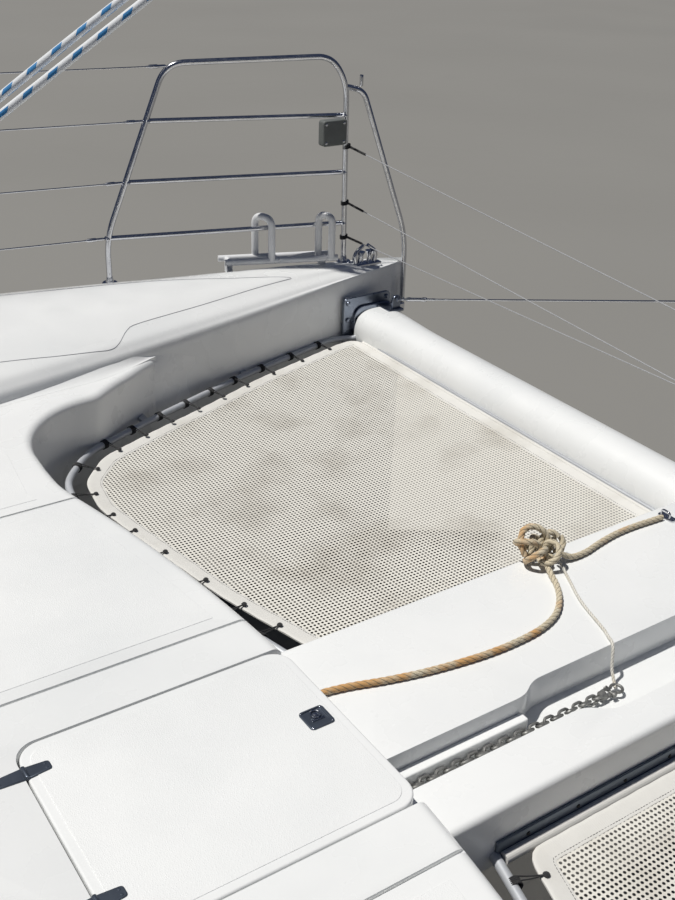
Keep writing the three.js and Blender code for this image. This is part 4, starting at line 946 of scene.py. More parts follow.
# %% Cove and fairing
COVE_EDGE = np.array([
    (2.30, 1.70), (3.00, 1.795), (3.40, 1.868), (3.82, 1.945), (4.02, 1.968), (4.20, 1.985),
    (4.34, 2.030), (4.47, 2.085)])
COVE_RISE = 0.074
FAIRING_X = (4.22, 4.66)
FAIRING_STEP = 0.078


def eased(share):
    """A share held between 0 and 1, as the smooth step 3 t ** 2 - 2 t ** 3."""
    t = np.clip(share, 0, 1)
    return t * t * (3 - 2 * t)


def wall(x, z):
    """Distance of the hull's inner side from the boat's middle line, at a place and a height."""
    sections = half_sections(np.atleast_1d(np.asarray(x, float)))
    heights = np.broadcast_to(z, len(sections))
    flank = slice(SECTION_STEPS, SIDE_POINTS + 3)
    return np.array([HULL_Y - np.interp(v, s[flank, 1], s[flank, 0]) for s, v in zip(sections, heights)])


def cove_shape():
    """Across the cove by share u, y goes evenly from the deck line to the hull and z rises by u ** 2.1.
    Towards its fore end the rise fades."""
    line = smoothly(COVE_EDGE, 0.03)
    u = np.linspace(0, 1, 9)
    left = np.clip((COVE_EDGE[-1, 0] - line[:, 0]) / 0.35, 0, 1)
    rise = COVE_RISE * left * (2 - left)
    reach = wall(line[:, 0], DECK_TOP + rise) + 0.003
    y = line[:, 1:] * (1 - u) + reach[:, None] * u
    z = DECK_TOP + 0.0004 + rise[:, None] * u**2.1
    top = np.stack([np.broadcast_to(line[:, :1], y.shape), y, z], axis=2)
    under = top[:, ::-1] - [0, 0, 0.012]
    return grid(np.concatenate([top, under], axis=1), around=True, ends=True)


def fairing_shape():
    """The fairing stands off the hull by a step that fades as the square of the way left. At its top, y
    goes from that line to the hull by a smooth step of height."""
    x = np.linspace(*FAIRING_X, 30)
    left = (FAIRING_X[1] - x) / (FAIRING_X[1] - FAIRING_X[0])
    z = np.concatenate([[1.14, 1.25, 1.33], np.linspace(1.37, 1.50, 14)])
    t = eased((z - 1.37) / 0.13)
    skin = np.stack([wall(x, v) for v in z], axis=1)
    foot = (skin[:, 4] - FAIRING_STEP * left**2)[:, None]
    outer = np.minimum(foot * (1 - t) + (skin + 0.004) * t, skin + 0.004)
    front = np.stack(
        [np.broadcast_to(x[:, None], outer.shape), outer, np.broadcast_to(z, outer.shape)], axis=2)
    back = front[:, ::-1] * [1, 0, 1] + np.stack([0 * skin, skin + 0.03, 0 * skin], axis=2)[:, ::-1]
    return grid(np.concatenate([front, back], axis=1), around=True, ends=True)


def pair(name, shape, finish, instead_of=None, body="root", uv=None, closed=True):
    """The same piece on both sides of the boat. A body name that ends in _ gets the side added."""
    made = []
    for side, own in (("port", shape), ("starboard", mirrored(shape))):
        gone = [instead_of + "_" + side] if instead_of else []
        rides = body + side if body.endswith("_") else body
        made.append(build(name + "_" + side, own, finish, rides, gone, uv, closed))
    return made


pair("deck_cove", joined(cove_shape(), fairing_shape()), smooth_white)

# %% [markdown]
# ### Non-slip panels
# The flat fields of the deck carry a fine non-slip grain inside a smooth border. Each field is a plate a
# millimetre proud, so its edge shows as the faint line that the moulding has.

# %% Deck panels
PROUD = 0.0012


def inner_front(y0, y1, border):
    """Front edge between two widths, drawn back by the border."""
    y = np.linspace(y0, y1, 14)
    return np.stack([3.975 - 0.1006 * y**2 - border, y], axis=1)


panel_shapes = []
for low, high in ((GROOVES_Y[0] + 0.045, GROOVES_Y[1] - 0.045), (GROOVES_Y[1] + 0.045, 1.80)):
    front = inner_front(low, high, 0.075) if high < 1.5 else inner_front(low, 1.40, 0.11)[:6]
    aft = np.array([(2.62, high if high < 1.5 else 1.72), (2.62, low)])
    outer = np.array([(3.72, 1.60), (3.66, 1.72)]) if high > 1.5 else np.zeros((0, 2))
    outline = np.concatenate([front, outer, aft])
    shape = plate(outline, DECK_TOP - 0.0006, DECK_TOP + PROUD, 0.0009, 3)
    panel_shapes += [shape, mirrored(shape)]
build("foredeck_panels", joined(*panel_shapes), deck_white)
lid_plate = plate(
    round_rect(LID["x"], LID["y"], LID["round"], 10), DECK_TOP - LID["thick"], DECK_TOP, 0.005, 4,
    both=True)
build(
    "anchor_lid_plate", lid_plate, smooth_white, body="anchor_lid",
    instead_of=["anchor_lid"])
LID_BORDER = 0.022
lid_sides = [(side[0] + LID_BORDER, side[1] - LID_BORDER) for side in (LID["x"], LID["y"])]
lid_field = round_rect(*lid_sides, 0.04, 10)
build(
    "anchor_lid_panel", plate(lid_field, DECK_TOP - 0.0006, DECK_TOP + PROUD, 0.0009, 3), deck_white,
    body="anchor_lid")

# %% [markdown]
# ## Walkway beam and cross beam
# The cross beam is a round white tube between the bows, and the walkway beam is a moulded box with a
# channel for the chain that widens halfway. Both are profiles carried along a straight line.

# %% Beams
BEAM = dict(x=5.663, z=1.271, half=0.110, rise=0.111, end=2.290)
CAP = dict(x=(5.533, 5.776), z=(1.163, 1.388), start=1.90, full=2.245, square=0.74)
WALK = dict(half=0.355, aft=3.900, fore=5.625, bottom=1.100, waist=1.230, edge=0.016)


def squared_circle(angle, power):
    """Between a circle, where the power is 1, and a square, where it nears 0."""
    u, v = np.cos(angle), np.sin(angle)
    return np.sign(u) * np.abs(u) ** power, np.sign(v) * np.abs(v) ** power


def beam_shape(grow=0.0):
    """A nearly round section carried along Y. Close to each end it turns into a larger, squarer cap: the
    share of the cap rises smoothly from 0 to 1, and the cap's own end is rounded in."""
    a = np.linspace(0, TAU, 80, endpoint=False)
    end = BEAM["end"] - 0.001
    side = np.concatenate([np.linspace(0.4, CAP["start"], 8), np.linspace(CAP["start"], CAP["full"], 9)[1:],
                           end - np.array([0.028, 0.024, 0.018, 0.011, 0.005, 0.0015, 0.0])])
    share = eased((side - CAP["start"]) / (CAP["full"] - CAP["start"]))[:, None]
    pull = np.maximum(0, 0.024 - (end - side))[:, None]
    pull = 0.024 - np.sqrt(0.024**2 - pull**2)
    round_x, round_z = squared_circle(a, 0.92)
    cap_x, cap_z = squared_circle(a, CAP["square"])
    middle, reach = [sum(CAP[k]) / 2 for k in "xz"], [(CAP[k][1] - CAP[k][0]) / 2 for k in "xz"]
    tube_x = BEAM["x"] + (BEAM["half"] + grow) * round_x
    tube_z = BEAM["z"] + (BEAM["rise"] + grow) * round_z
    x = (1 - share) * tube_x + share * (middle[0] + (reach[0] - pull) * cap_x)
    z = (1 - share) * tube_z + share * (middle[1] + (reach[1] - pull) * cap_z)
    y = np.broadcast_to(side[:, None], x.shape)
    port = np.stack([x, y, z], axis=2)
    return grid(np.concatenate([port[::-1], port * [1, -1, 1]]), around=True, ends=True)


def walkway_shape():
    """Section in y and z: a flat top with rounded edges, upright sides down to the waist, then sides that
    slope in to a narrow bottom, carried along X."""
    h, e = WALK["half"], WALK["edge"]
    right = np.concatenate([
        arc((h - e, WALK_TOP - e), e, 90, 0, 6), [(h, WALK["waist"]), (h - 0.09, WALK["bottom"])]])
    section = np.concatenate([right, (right * [-1, 1])[::-1]])
    x = np.array([WALK["aft"], 4.3, 4.8, 5.3, WALK["fore"]])
    points = np.stack([np.column_stack([np.full(len(section), v), section]) for v in x])
    return grid(points[::-1], around=True, ends=True)


def channel_outline():
    n, w, step, fore = CHANNEL["narrow"], CHANNEL["wide"], CHANNEL["step"], WALK["fore"] + 0.05
    corner = [(3.80, n[0]), (step[1] - 0.06, n[0]), (step[1], w[0]), (fore, w[0]), (fore, w[1]),
              (step[0] + 0.05, w[1]), (step[0], n[1]), (3.80, n[1])]
    flat = np.column_stack([np.array(corner + corner[:1]), np.zeros(9)])
    return bent(flat, 0.03, 6)[:-1, :2]


build("cross_beam_tube", beam_shape(), smooth_white, instead_of=["cross_beam"])
walkway = build(
    "walkway_moulding", walkway_shape(), smooth_white, instead_of=["walkway_beam"])
carved(walkway, plate(channel_outline(), CHANNEL["floor"], 1.5, SHARP, 1), beam_shape(0.0003),
       plate(inset(deck_outline, -0.0003), 0.9, 1.6, SHARP, 1))
softened(walkway, 0.006, 3)
shelf_y = (CHANNEL["narrow"][1] - CHANNEL["shelf_wide"], CHANNEL["narrow"][1] - 0.0003)
build(
    "channel_shelf",
    plate(
        round_rect((3.960, CHANNEL["step"][0] - 0.01), shelf_y, 0.006, 4), CHANNEL["floor"] + 0.0003,
        CHANNEL["shelf"], 0.004, 4),
    smooth_white)
print("walkway faces", len(walkway.data.polygons))


# %% [markdown]
# ## The nets
# Each net is a sheet of strong white cloth punched with round holes on a square grid, with a doubled hem
# all round. The holes could be drawn by a shader, but light falls through real ones and their edges show
# at a slant. So each cell of the grid is a square with an eight-sided hole, and one array of cells makes
# the sheet. It hangs slightly, most in its middle, and the hem hides the grid's ragged edge.

# %% Net outlines and their sag
NET_Z = 1.264
NET_EDGE = np.array([
    (4.185, 0.386), (4.072, 0.800), (3.998, 1.200), (3.957, 1.450), (3.985, 1.640), (4.110, 1.782),
    (4.375, 1.895), (4.922, 2.095), (5.440, 2.240), (5.524, 2.240), (5.524, 0.386),
])
LACED = 8  # the first sides are laced to a tube, and the others run in tracks
CELL = 0.013
HOLE = 0.0042
HEM = 0.052
SAG = 0.022


def hanging(xy):
    """Height of the net: a shallow bowl that is zero at the edge, with soft creases that run along it."""
    x, y = xy[..., 0], np.abs(xy[..., 1])
    u = np.clip((x - 3.95) / (5.524 - 3.95), 0, 1)
    v = np.clip((y - 0.386) / (2.24 - 0.386), 0, 1)
    bowl = 16 * u * (1 - u) * v * (1 - v)
    crease = 0.0016 * np.sin(9 * y + 4 * x) + 0.0011 * np.sin(31 * y - 7 * x)
    return NET_Z - SAG * bowl + crease * np.sqrt(np.clip(bowl, 0, 1))


def rounded_edge(outline, radius):
    """A closed outline with its corners rounded, starting in the middle of its last side."""
    middle = (outline[-1] + outline[0]) / 2
    ring = np.vstack([middle, outline, middle])
    flat = np.column_stack([ring, np.zeros(len(ring))])
    return bent(flat, radius, 6)[:-1, :2]


def inside(points, outline):
    """True where a point is inside a closed outline, by counting the edges that it is left of."""
    a, b = outline, np.roll(outline, -1, axis=0)
    x, y = points[:, None, 0], points[:, None, 1]
    spans = (a[:, 1] > y) != (b[:, 1] > y)
    across = a[:, 0] + (y - a[:, 1]) * (b[:, 0] - a[:, 0]) / np.where(
        a[:, 1] == b[:, 1], 1e9, b[:, 1] - a[:, 1])
    return (spans & (x < across)).sum(axis=1) % 2 == 1


def punched(outline):
    """Cells of the grid whose middles lie inside the outline, each with an eight-sided hole."""
    low, high = outline.min(axis=0), outline.max(axis=0)
    u = np.arange(math.floor(low[0] / CELL), math.ceil(high[0] / CELL))
    v = np.arange(math.floor(low[1] / CELL), math.ceil(high[1] / CELL))
    cells = np.stack(np.meshgrid(u, v, indexing="ij"), axis=-1).reshape(-1, 2)
    cells = cells[inside((cells + 0.5) * CELL, outline)]
    n = len(cells)
    corner = (cells[:, None] + np.array([[0, 0], [1, 0], [1, 1], [0, 1]])).reshape(-1, 2)
    unique, index = np.unique(corner, axis=0, return_inverse=True)
    index = index.reshape(n, 4)
    ring = arc((0, 0), HOLE, -157.5, 157.5, 7)
    holes = ((cells + 0.5) * CELL)[:, None] + ring
    number = len(unique) + np.arange(n * 8).reshape(n, 8)
    sides = [
        np.stack(
            [index[:, k], index[:, (k + 1) % 4], number[:, (2 * k + 2) % 8], number[:, (2 * k + 1) % 8]],
            axis=1)
        for k in range(4)]
    corners = [
        np.stack([index[:, k], number[:, (2 * k + 1) % 8], number[:, (2 * k) % 8]], axis=1)
        for k in range(4)]
    flat = np.concatenate([unique * CELL, holes.reshape(-1, 2)])
    points = np.column_stack([flat, hanging(flat)])
    return points, np.concatenate(sides).tolist() + np.concatenate(corners).tolist()


def hem_shape(outline):
    """The doubled hem: a flat band round the outline, 4 mm thick, slightly lifted by its cord edge."""
    profile = [(0.0, 0.0024), (0.006, 0.0040), (0.012, 0.0026), (HEM - 0.004, 0.0022), (HEM, 0.0009),
               (HEM, -0.0009), (HEM - 0.004, -0.0022), (0.012, -0.0026), (0.006, -0.0040), (0.0, -0.0024)]
    rings = [inset(outline, d) for d, _ in profile]
    pucker = 0.0007 * np.sin(np.arange(len(outline)) * 1.7)
    points = np.stack([
        np.column_stack([r, hanging(r) + dz + pucker * (dz > 0)]) for r, (_, dz) in zip(rings, profile)])
    return grid(points.transpose(1, 0, 2)[:, ::-1], around=True, along=True)


def dashes(path, length, gap, width, height):
    """Short raised stitches along a closed path."""
    line = evenly(np.vstack([path, path[:1]]), length + gap)[:-1]
    run = unit(np.roll(line, -1, axis=0) - line)
    side = np.stack([-run[:, 1], run[:, 0], np.zeros(len(run))], axis=1)
    along = run * length / 2
    base = [
        line - along - side * width / 2, line + along - side * width / 2, line + along + side * width / 2,
        line - along + side * width / 2]
    lift = np.array([0, 0, height])
    top = [p * 0.82 + line * 0.18 + lift for p in base]
    points = np.stack(base + top, axis=1)
    number = np.arange(len(line))[:, None] * 8
    quads = [[4, 5, 6, 7], [0, 1, 5, 4], [1, 2, 6, 5], [2, 3, 7, 6], [3, 0, 4, 7]]
    return points.reshape(-1, 3), np.concatenate([number + np.array(q) for q in quads]).tolist()


smooth_edge = rounded_edge(NET_EDGE, 0.05)
hem_outline = evenly(np.vstack([smooth_edge, smooth_edge[:1]]), 0.02)[:-1]
cloth_shape = punched(inset(hem_outline, HEM - 0.012))
hems = hem_shape(hem_outline)
seam = inset(hem_outline, HEM - 0.007)
seam_shape = dashes(np.column_stack([seam, hanging(seam) + 0.0022]), 0.006, 0.003, 0.0011, 0.0007)
print("holes in a net", len(cloth_shape[1]) // 8)

# %% Lacing tube, tracks and lashings
RAIL = 0.062
RAIL_RADIUS = 0.013
LASH_PITCH = 0.165


def lacing_path():
    line = inset(NET_EDGE, -RAIL)[1:LACED + 1]
    start = (NET_EDGE[0, 0] - RAIL, 0.345)
    end = (5.535, NET_EDGE[LACED, 1] + 0.026)
    flat = np.vstack([start, line, end])
    return bent(np.column_stack([flat, np.full(len(flat), NET_Z)]), 0.07, 8)


def lashing(at, away, turns=5):
    """Cord wound tightly round the tube, with two strands that run to an eye in the hem and a knot there."""
    along = np.array([-away[1], away[0], 0])
    away = np.array([away[0], away[1], 0])
    up = np.array([0, 0, 1])
    radius = 0.0021
    a = np.linspace(0, TAU * turns, 18 * turns)
    hub = at + away * RAIL
    wind = RAIL_RADIUS + radius
    coil = hub + along * (radius * 2 * (a / TAU - turns / 2))[:, None]
    coil = coil + away * (wind * np.cos(a))[:, None] + up * (wind * np.sin(a))[:, None]
    eye = at - away * 0.014 + up * 0.004
    strands = []
    for s in (-1, 1):
        top = hub + up * wind + along * s * 0.007
        middle = (top + eye) / 2 - up * 0.0015
        route = smoothly([hub + away * wind + along * s * 0.007, top, middle, eye], 0.006)
        strands.append(tube(route, radius * 0.8, 8))
    bead = [(0.003, -0.003), (0.0075, 0), (0.0085, 0.003), (0.006, 0.006), (0.002, 0.008)]
    knot = turned(bead, eye - up * 0.002, eye + up, 14)
    return joined(tube(coil, radius, 8), *strands, knot)


def lashings():
    """Lashings a hand's length apart along the laced sides."""
    shapes = []
    for a, b in zip(NET_EDGE[:LACED], NET_EDGE[1:LACED + 1]):
        length = np.linalg.norm(b - a)
        away = np.array([-(b - a)[1], (b - a)[0]]) / length
        count = max(1, round(length / LASH_PITCH))
        for k in range(count):
            at = a + (k + 0.5) / count * (b - a)
            shapes.append(lashing(np.array([*at, NET_Z]), away))
    return joined(*shapes)


def bar(x, y, z, edge=0.002):
    """A long box with softly rounded edges."""
    corner = min(edge, (y[1] - y[0]) / 2.2, (x[1] - x[0]) / 2.2)
    return plate(round_rect(x, y, corner, 3), *z, edge, 3, both=True)


def upright(shape, axis):
    """Stands a flat plate up: its thickness then lies along x or y."""
    points, faces = shape
    if axis == "x":
        return points[:, [2, 0, 1]], faces
    return points[:, [0, 2, 1]], [face[::-1] for face in faces]


def panel(axis, outline, low, high, edge, steps):
    """A plate with all its edges rounded, stood up along x or y."""
    return upright(plate(outline, low, high, edge, steps, both=True), axis)


UP = (0, 0, 1)


def heads(places, normal, radius=0.008, height=0.005, sides=12):
    """Round bolt or screw heads on places, standing along one direction."""
    profile = [
        (radius, -0.001), (radius, 0.35 * height), (0.8 * radius, 0.8 * height), (0.35 * radius, height)]
    return joined(*[turned(profile, p, np.array(p) + normal, sides) for p in places])


TRACK_X = (4.12, 5.545)
tube_shape = tube(evenly(lacing_path(), 0.03), RAIL_RADIUS, 20)
lugs = joined(*[bar(x, y, (NET_Z - 0.008, NET_Z + 0.008)) for x, y in (
    ((4.345, 4.375), (1.958, 2.018)), ((4.890, 4.920), (2.158, 2.318)), ((5.270, 5.300), (2.263, 2.378)),
    ((3.885, 3.963), (0.880, 0.910)), ((3.785, 3.892), (1.380, 1.410)),
)])
pair("lacing_tube", joined(tube_shape, lugs), tube_grey, "lacing_rail")
side_track = bar(TRACK_X, (0.3553, 0.364), (1.266, 1.306), 0.003)
lip = bar(TRACK_X, (0.360, 0.3695), (1.262, 1.270), 0.002)
beam_track = bar((5.541, 5.556), (0.37, 2.20), (1.247, 1.275), 0.003)
pair("net_track", joined(side_track, lip), track_grey)
pair("net_track_beam", beam_track, tube_grey)
ropes = [tube(np.array([(TRACK_X[0] + 0.012, 0.3745, 1.2655), (TRACK_X[1], 0.3745, 1.2655)]), 0.0145, 20),
         tube(np.array([(5.5335, 0.386, 1.262), (5.5335, 2.20, 1.262)]), 0.0085, 16)]
pair("net_bolt_rope", joined(*ropes), hem_cloth)
bolts = [(x, 0.364, 1.288) for x in np.arange(4.21, 5.5, 0.1525)]
pair("track_bolt", heads(bolts, (0, 1, 0), 0.0055, 0.003), black_rubber)
hem_pieces = pair("net_hem", hems, hem_cloth)
seam_pieces = pair("net_stitching", seam_shape, black_cord, closed=False)
lash_pieces = pair("net_lashing", lashings(), black_cord)
nets = pair("net_cloth", cloth_shape, net_cloth, "net", closed=False)


# %% [markdown]
# ## Pulpit, rails and ladder
# The rails are polished tube, bent in smooth curves and welded to round flanges. A tube along a rounded
# path gives them, and thin wires run through the stanchions.

# %% Pulpits and side rails
RAIL_TUBE = 0.0125
LIFELINES = (1.730, 1.960, 2.206, 2.420)
STANCHIONS_X = (3.250, 1.800, 0.350, -1.100, -2.500, -3.850)


def edge_y(x):
    return HULL_Y + np.interp(x, STATIONS[:, 0], STATIONS[:, 1]) - 0.095


def pipe(points, radius, corner=0.085, sides=18):
    return tube(bent(points, corner, 10), radius, sides)


def flange(x, y, radius=0.034):
    """A round foot on the deck with a welded collar."""
    z = float(deck_height(x, y))
    profile = [
        (radius, -0.03), (radius, 0.004), (radius - 0.003, 0.007), (0.018, 0.009), (0.0155, 0.022),
        (0.0135, 0.03)]
    return stood(profile, (x, y, z), 28)


def weld(at, radius=0.0165):
    return stood([(0.6 * radius, -0.5 * radius), (radius, 0), (0.6 * radius, 0.5 * radius)], at, 16)


hoop = [(4.580, 2.768, 1.520), (4.580, 2.768, 1.730), (4.868, 2.735, 2.430), (5.525, 2.500, 2.452),
        (5.600, 2.494, 2.340), (5.610, 2.490, 1.520)]
stem_hoop = [(5.596, 2.495, 2.325), (5.680, 2.478, 2.305), (5.889, 2.400, 1.656), (5.894, 2.400, 1.320)]
rungs = [[(4.783, 2.744, 2.206), (5.594, 2.495, 2.206)], [(4.684, 2.756, 1.960), (5.598, 2.493, 1.960)],
         [(4.582, 2.768, 1.730), (5.602, 2.492, 1.730)]]
heel = [
    bar((5.868, 5.902), (2.384, 2.446), (1.285, 1.330), 0.006),
    bar((5.660, 5.672), (2.470, 2.486), (2.325, 2.372), 0.003)]
pulpit = joined(
    tube(bent(hoop, 0.085, 12), RAIL_TUBE, 20), tube(bent(stem_hoop, 0.09, 12), RAIL_TUBE, 20),
    *[tube(np.array(r), 0.0105, 16) for r in rungs],
    *[flange(x, y) for x, y in ((4.580, 2.768), (5.610, 2.490))],
    *[weld(r[i]) for r in rungs for i in (0, 1)], *heel,
)
pair("pulpit_tubes", pulpit, steel, "pulpit")


def terminal(at, towards, long=0.085):
    """Swaged end and tensioning screw of a wire."""
    profile = [
        (0.0035, 0), (0.0065, 0.004), (0.0065, 0.4 * long), (0.0085, 0.45 * long), (0.0085, 0.8 * long),
        (0.0045, 0.9 * long), (0.004, long)]
    return turned(profile, at, towards, 12)


RAIL_AFT = -4.55
LIFELINE_STARTS = [(4.568, 2.768), (4.664, 2.757), (4.765, 2.745), (4.870, 2.730)]
RING = [(0.0062, -0.012), (0.0075, -0.008), (0.0075, 0.008), (0.0062, 0.012)]


def stanchion(x):
    """A post on its flange: straight, with a rounded cap."""
    y = float(edge_y(x))
    z = float(deck_height(x, y))
    top = 2.415 - z
    post = [
        (0.0135, -0.03), (0.0125, 0.03), (0.0125, 0.2), (0.0125, top), (0.011, top + 0.009),
        (0.005, top + 0.015)]
    return joined(flange(x, y), stood(post, (x, y, z), 18))


def lifeline(z, start, y):
    """A wire from the pulpit past every stanchion, with a ring at each and a terminal at both ends."""
    points = [(*start, z)] + [(x, float(edge_y(x)), z) for x in STANCHIONS_X]
    if z < max(LIFELINES):
        points.append((RAIL_AFT - 0.025, y - 0.008, z))
    rings = [turned(RING, p, np.array(p) + [1, 0, 0], 12) for p in points[1:-1]]
    ends = terminal(points[0], points[1]), terminal(points[-1], points[-2])
    return joined(tube(np.array(points), 0.0032, 8), *ends, *rings)


def side_rail():
    y = float(edge_y(RAIL_AFT))
    foot = (RAIL_AFT - 0.04, y - 0.01)
    bend = [
        (STANCHIONS_X[-1], float(edge_y(-3.85)), 2.42), (RAIL_AFT, y, 2.40), (*foot, 1.46), (*foot, 1.40)]
    wires = [lifeline(z, start, y) for z, start in zip(LIFELINES, LIFELINE_STARTS)]
    return joined(*[stanchion(x) for x in STANCHIONS_X], tube(bent(bend, 0.11, 12), RAIL_TUBE, 18),
                  flange(*foot), *wires)


pair("side_rail_tubes", side_rail(), steel, "side_rail")
print("stanchions", len(STANCHIONS_X), "a side")

# %% Boarding ladder on the port bow
LADDER_Z = 1.593
LADDER_SLOPE = -0.36


def across(x, y):
    return x, y + LADDER_SLOPE * (x - 5.350), LADDER_Z


ladder_shapes = [tube(np.array([across(5.060, y), across(5.540, y)]), 0.014, 20) for y in (2.503, 2.571)]
ladder_shapes += [
    tube(np.array([across(x, 2.490), across(x, 2.584)]), 0.011, 16) for x in (5.090, 5.290, 5.490)]
for x, outer in ((5.238, 2.577), (5.495, 2.545)):
    far, near = np.array(across(x - 0.018, outer)), np.array(across(x + 0.018, 2.503))
    up = np.array([0, 0, 0.190])
    ladder_shapes.append(tube(bent([far, far + up, near + up, near], 0.042, 12), 0.016, 20))
for x in (5.090, 5.490):
    u, v, w = across(x, 2.540)
    ladder_shapes.append(bar((u - 0.014, u + 0.014), (v - 0.014, v + 0.014), (w - 0.055, w - 0.004), 0.004))
build("bow_ladder_tubes", joined(*ladder_shapes), white_coat, instead_of=["bow_ladder"])

# %% [markdown]
# ## Gear at the cross beam
# A striker of two struts stands on the middle of the beam and stiffens it with a wire to each end. Each
# wire ends in a screw with a fork, pinned to a plate. The roller and the anchor sit beside the forestay.

# %% Brackets, striker and bow roller
BEAM_TOP = 1.382


def screw(at, towards, long=0.23, body=0.0095, wire=0.003):
    """A rigging screw: a fork with its pin, a threaded end, an open body and the swage on the wire."""
    at, towards = np.array(at, float), np.array(towards, float)
    axis = unit(towards - at)
    side = unit(np.cross(axis, UP))
    profile = [
        (0.004, 0.028), (0.004, 0.05), (body, 0.055), (body * 1.1, 0.07), (body * 0.9, 0.085),
        (body * 0.9, long - 0.065), (body * 1.1, long - 0.05), (body, long - 0.035),
        (0.0055, long - 0.03), (0.0055, long + 0.03), (wire + 0.001, long + 0.04)]
    prong = ((0.009, -0.008), (0.009, 0.022), (0.004, 0.036))
    fork = [tube(np.array([at + s * side * u + axis * v for u, v in prong]), 0.0042, 10) for s in (-1, 1)]
    bolt = [(0.0075, -0.018), (0.0075, -0.014), (0.0048, -0.014), (0.0048, 0.014), (0.0075, 0.014),
            (0.0075, 0.018)]
    pin = turned(bolt, at, at + side, 14)
    return joined(turned(profile, at, towards, 14), *fork, pin)


def bracket():
    """The plate on the hull that holds the beam's end, with its bolts and the wire's ear."""
    shape = panel("y", round_rect((5.493, 5.748), (1.220, 1.444), 0.022, 6), 2.300, 2.316, 0.003, 3)
    rim = panel("y", round_rect((5.545, 5.76), (1.225, 1.40), 0.05, 6), 2.2885, 2.302, 0.004, 3)
    ear = panel("y", round_rect((5.700, 5.745), (1.375, 1.450), 0.02, 6), 2.214, 2.226, 0.002, 2)
    foot = bar((5.668, 5.752), (2.196, 2.300), (1.378, 1.390), 0.004)
    places = ((5.515, 1.42), (5.515, 1.262), (5.725, 1.42), (5.515, 1.341))
    return joined(
        shape, rim, ear, foot, heads([(x, 2.299, z) for x, z in places], (0, -1, 0), 0.011, 0.008))


pair("beam_bracket_plate", bracket(), bracket_steel, "beam_bracket")
PEAK = np.array([5.703, 0, 2.142])
wire_ends = [np.array([5.732, s * 2.200, 1.434]) for s in (-1, 1)]
strut_feet = [np.array([5.703, s * 0.330, 1.372]) for s in (-1, 1)]
boss = [(0.004, -0.03), (0.026, -0.022), (0.03, 0), (0.026, 0.022), (0.004, 0.03)]
striker_shapes = [turned(boss, PEAK, PEAK + [1, 0, 0], 24)]
for foot, end in zip(strut_feet, wire_ends):
    y = foot[1]
    striker_shapes += [
        tube(np.array([foot, PEAK + [0, 0.012 * np.sign(y), 0]]), 0.020, 24),
        bar((5.660, 5.746), (y - 0.045, y + 0.045), (BEAM_TOP - 0.022, BEAM_TOP + 0.008), 0.005),
        heads([(5.672, y + u, BEAM_TOP + 0.0075) for u in (-0.032, 0.032)], UP, 0.007, 0.005),
        tube(np.array([end, PEAK]), 0.0042, 12),
        screw(end, PEAK),
    ]
build("striker_struts", joined(*striker_shapes), steel, instead_of=["striker"])
line_paths = [
    ((5.617, 2.492, 2.072), (5.705, 0.135, 1.860)), ((5.617, 2.492, 1.822), (5.706, 0.232, 1.640)),
    ((5.617, 2.492, 1.665), (5.706, 0.225, 1.655))]
bow_lines = joined(*[tube(np.array(p), 0.002, 8) for p in line_paths])
pair("bow_line", bow_lines, wire_grey)
lash = []
for start, end in line_paths:
    start, end = np.array(start), np.array(end)
    run = unit(end - start)
    beads = 0.0045 + 0.0014 * np.sin(np.linspace(0, 26 * math.pi, 90))
    lash.append(tube(start + run * np.linspace(0, 0.13, 90)[:, None], beads, 10))
    a = np.linspace(0, TAU, 24, endpoint=False)
    ring = np.column_stack([
        start[0] - 0.008 + 0.0155 * np.cos(a), start[1] + 0.0155 * np.sin(a),
        start[2] + 0.003 * np.cos(a)])
    lash += [tube(ring + [0, 0, dz], 0.003, 8, closed=True) for dz in (-0.006, 0, 0.006)]
pair("bow_line_lashing", joined(*lash), black_cord)

ROLLER = np.array([5.863, -0.155, 1.422])


def roller():
    """Two cheeks on a base, with a grooved roller on its pin between them."""
    cheek = np.array([
        (5.603, 1.3825), (5.80, 1.385), (5.90, 1.392), (5.908, 1.42), (5.90, 1.448), (5.86, 1.458),
        (5.603, 1.442)])
    outline = rounded_edge(cheek, 0.02)
    cheeks = [panel("y", outline, ROLLER[1] + y, ROLLER[1] + y + 0.006, 0.0015, 2) for y in (-0.032, 0.026)]
    base = bar((5.603, 5.853), (ROLLER[1] - 0.032, ROLLER[1] + 0.032), (1.372, 1.394), 0.003)
    pin = turned(
        [(0.011, -0.04), (0.011, -0.033), (0.007, -0.033), (0.007, 0.033), (0.011, 0.033), (0.011, 0.04)],
        ROLLER, ROLLER + [0, 1, 0], 16)
    screws = heads([(5.63, ROLLER[1] + y, 1.3935) for y in (-0.018, 0.018)], UP, 0.006, 0.004)
    groove = [
        (0.034, -0.0245), (0.030, -0.018), (0.0225, -0.004), (0.022, 0), (0.0225, 0.004), (0.030, 0.018),
        (0.034, 0.0245)]
    return joined(*cheeks, base, pin, screws, turned(groove, ROLLER, ROLLER + [0, 1, 0], 32))


build("bow_roller_cheeks", roller(), steel, instead_of=["bow_roller"])
anchor = cad_copy("anchor_forging", "anchor", galvanised)
softened(anchor, 0.004, 2, 25)

# %% [markdown]
# ## Chain, windlass and small deck gear
# Chain links are flat ovals that stand and lie in turn. One oval is made from a formula and placed along
# the chain's path.

# %% Chain, shackle and windlass
LINK = dict(start=3.772, pitch=0.024, wire=0.004, half_long=0.016, half_wide=0.0098, count=38)
CHAIN_Y, CHAIN_Z = -0.149, 1.3285


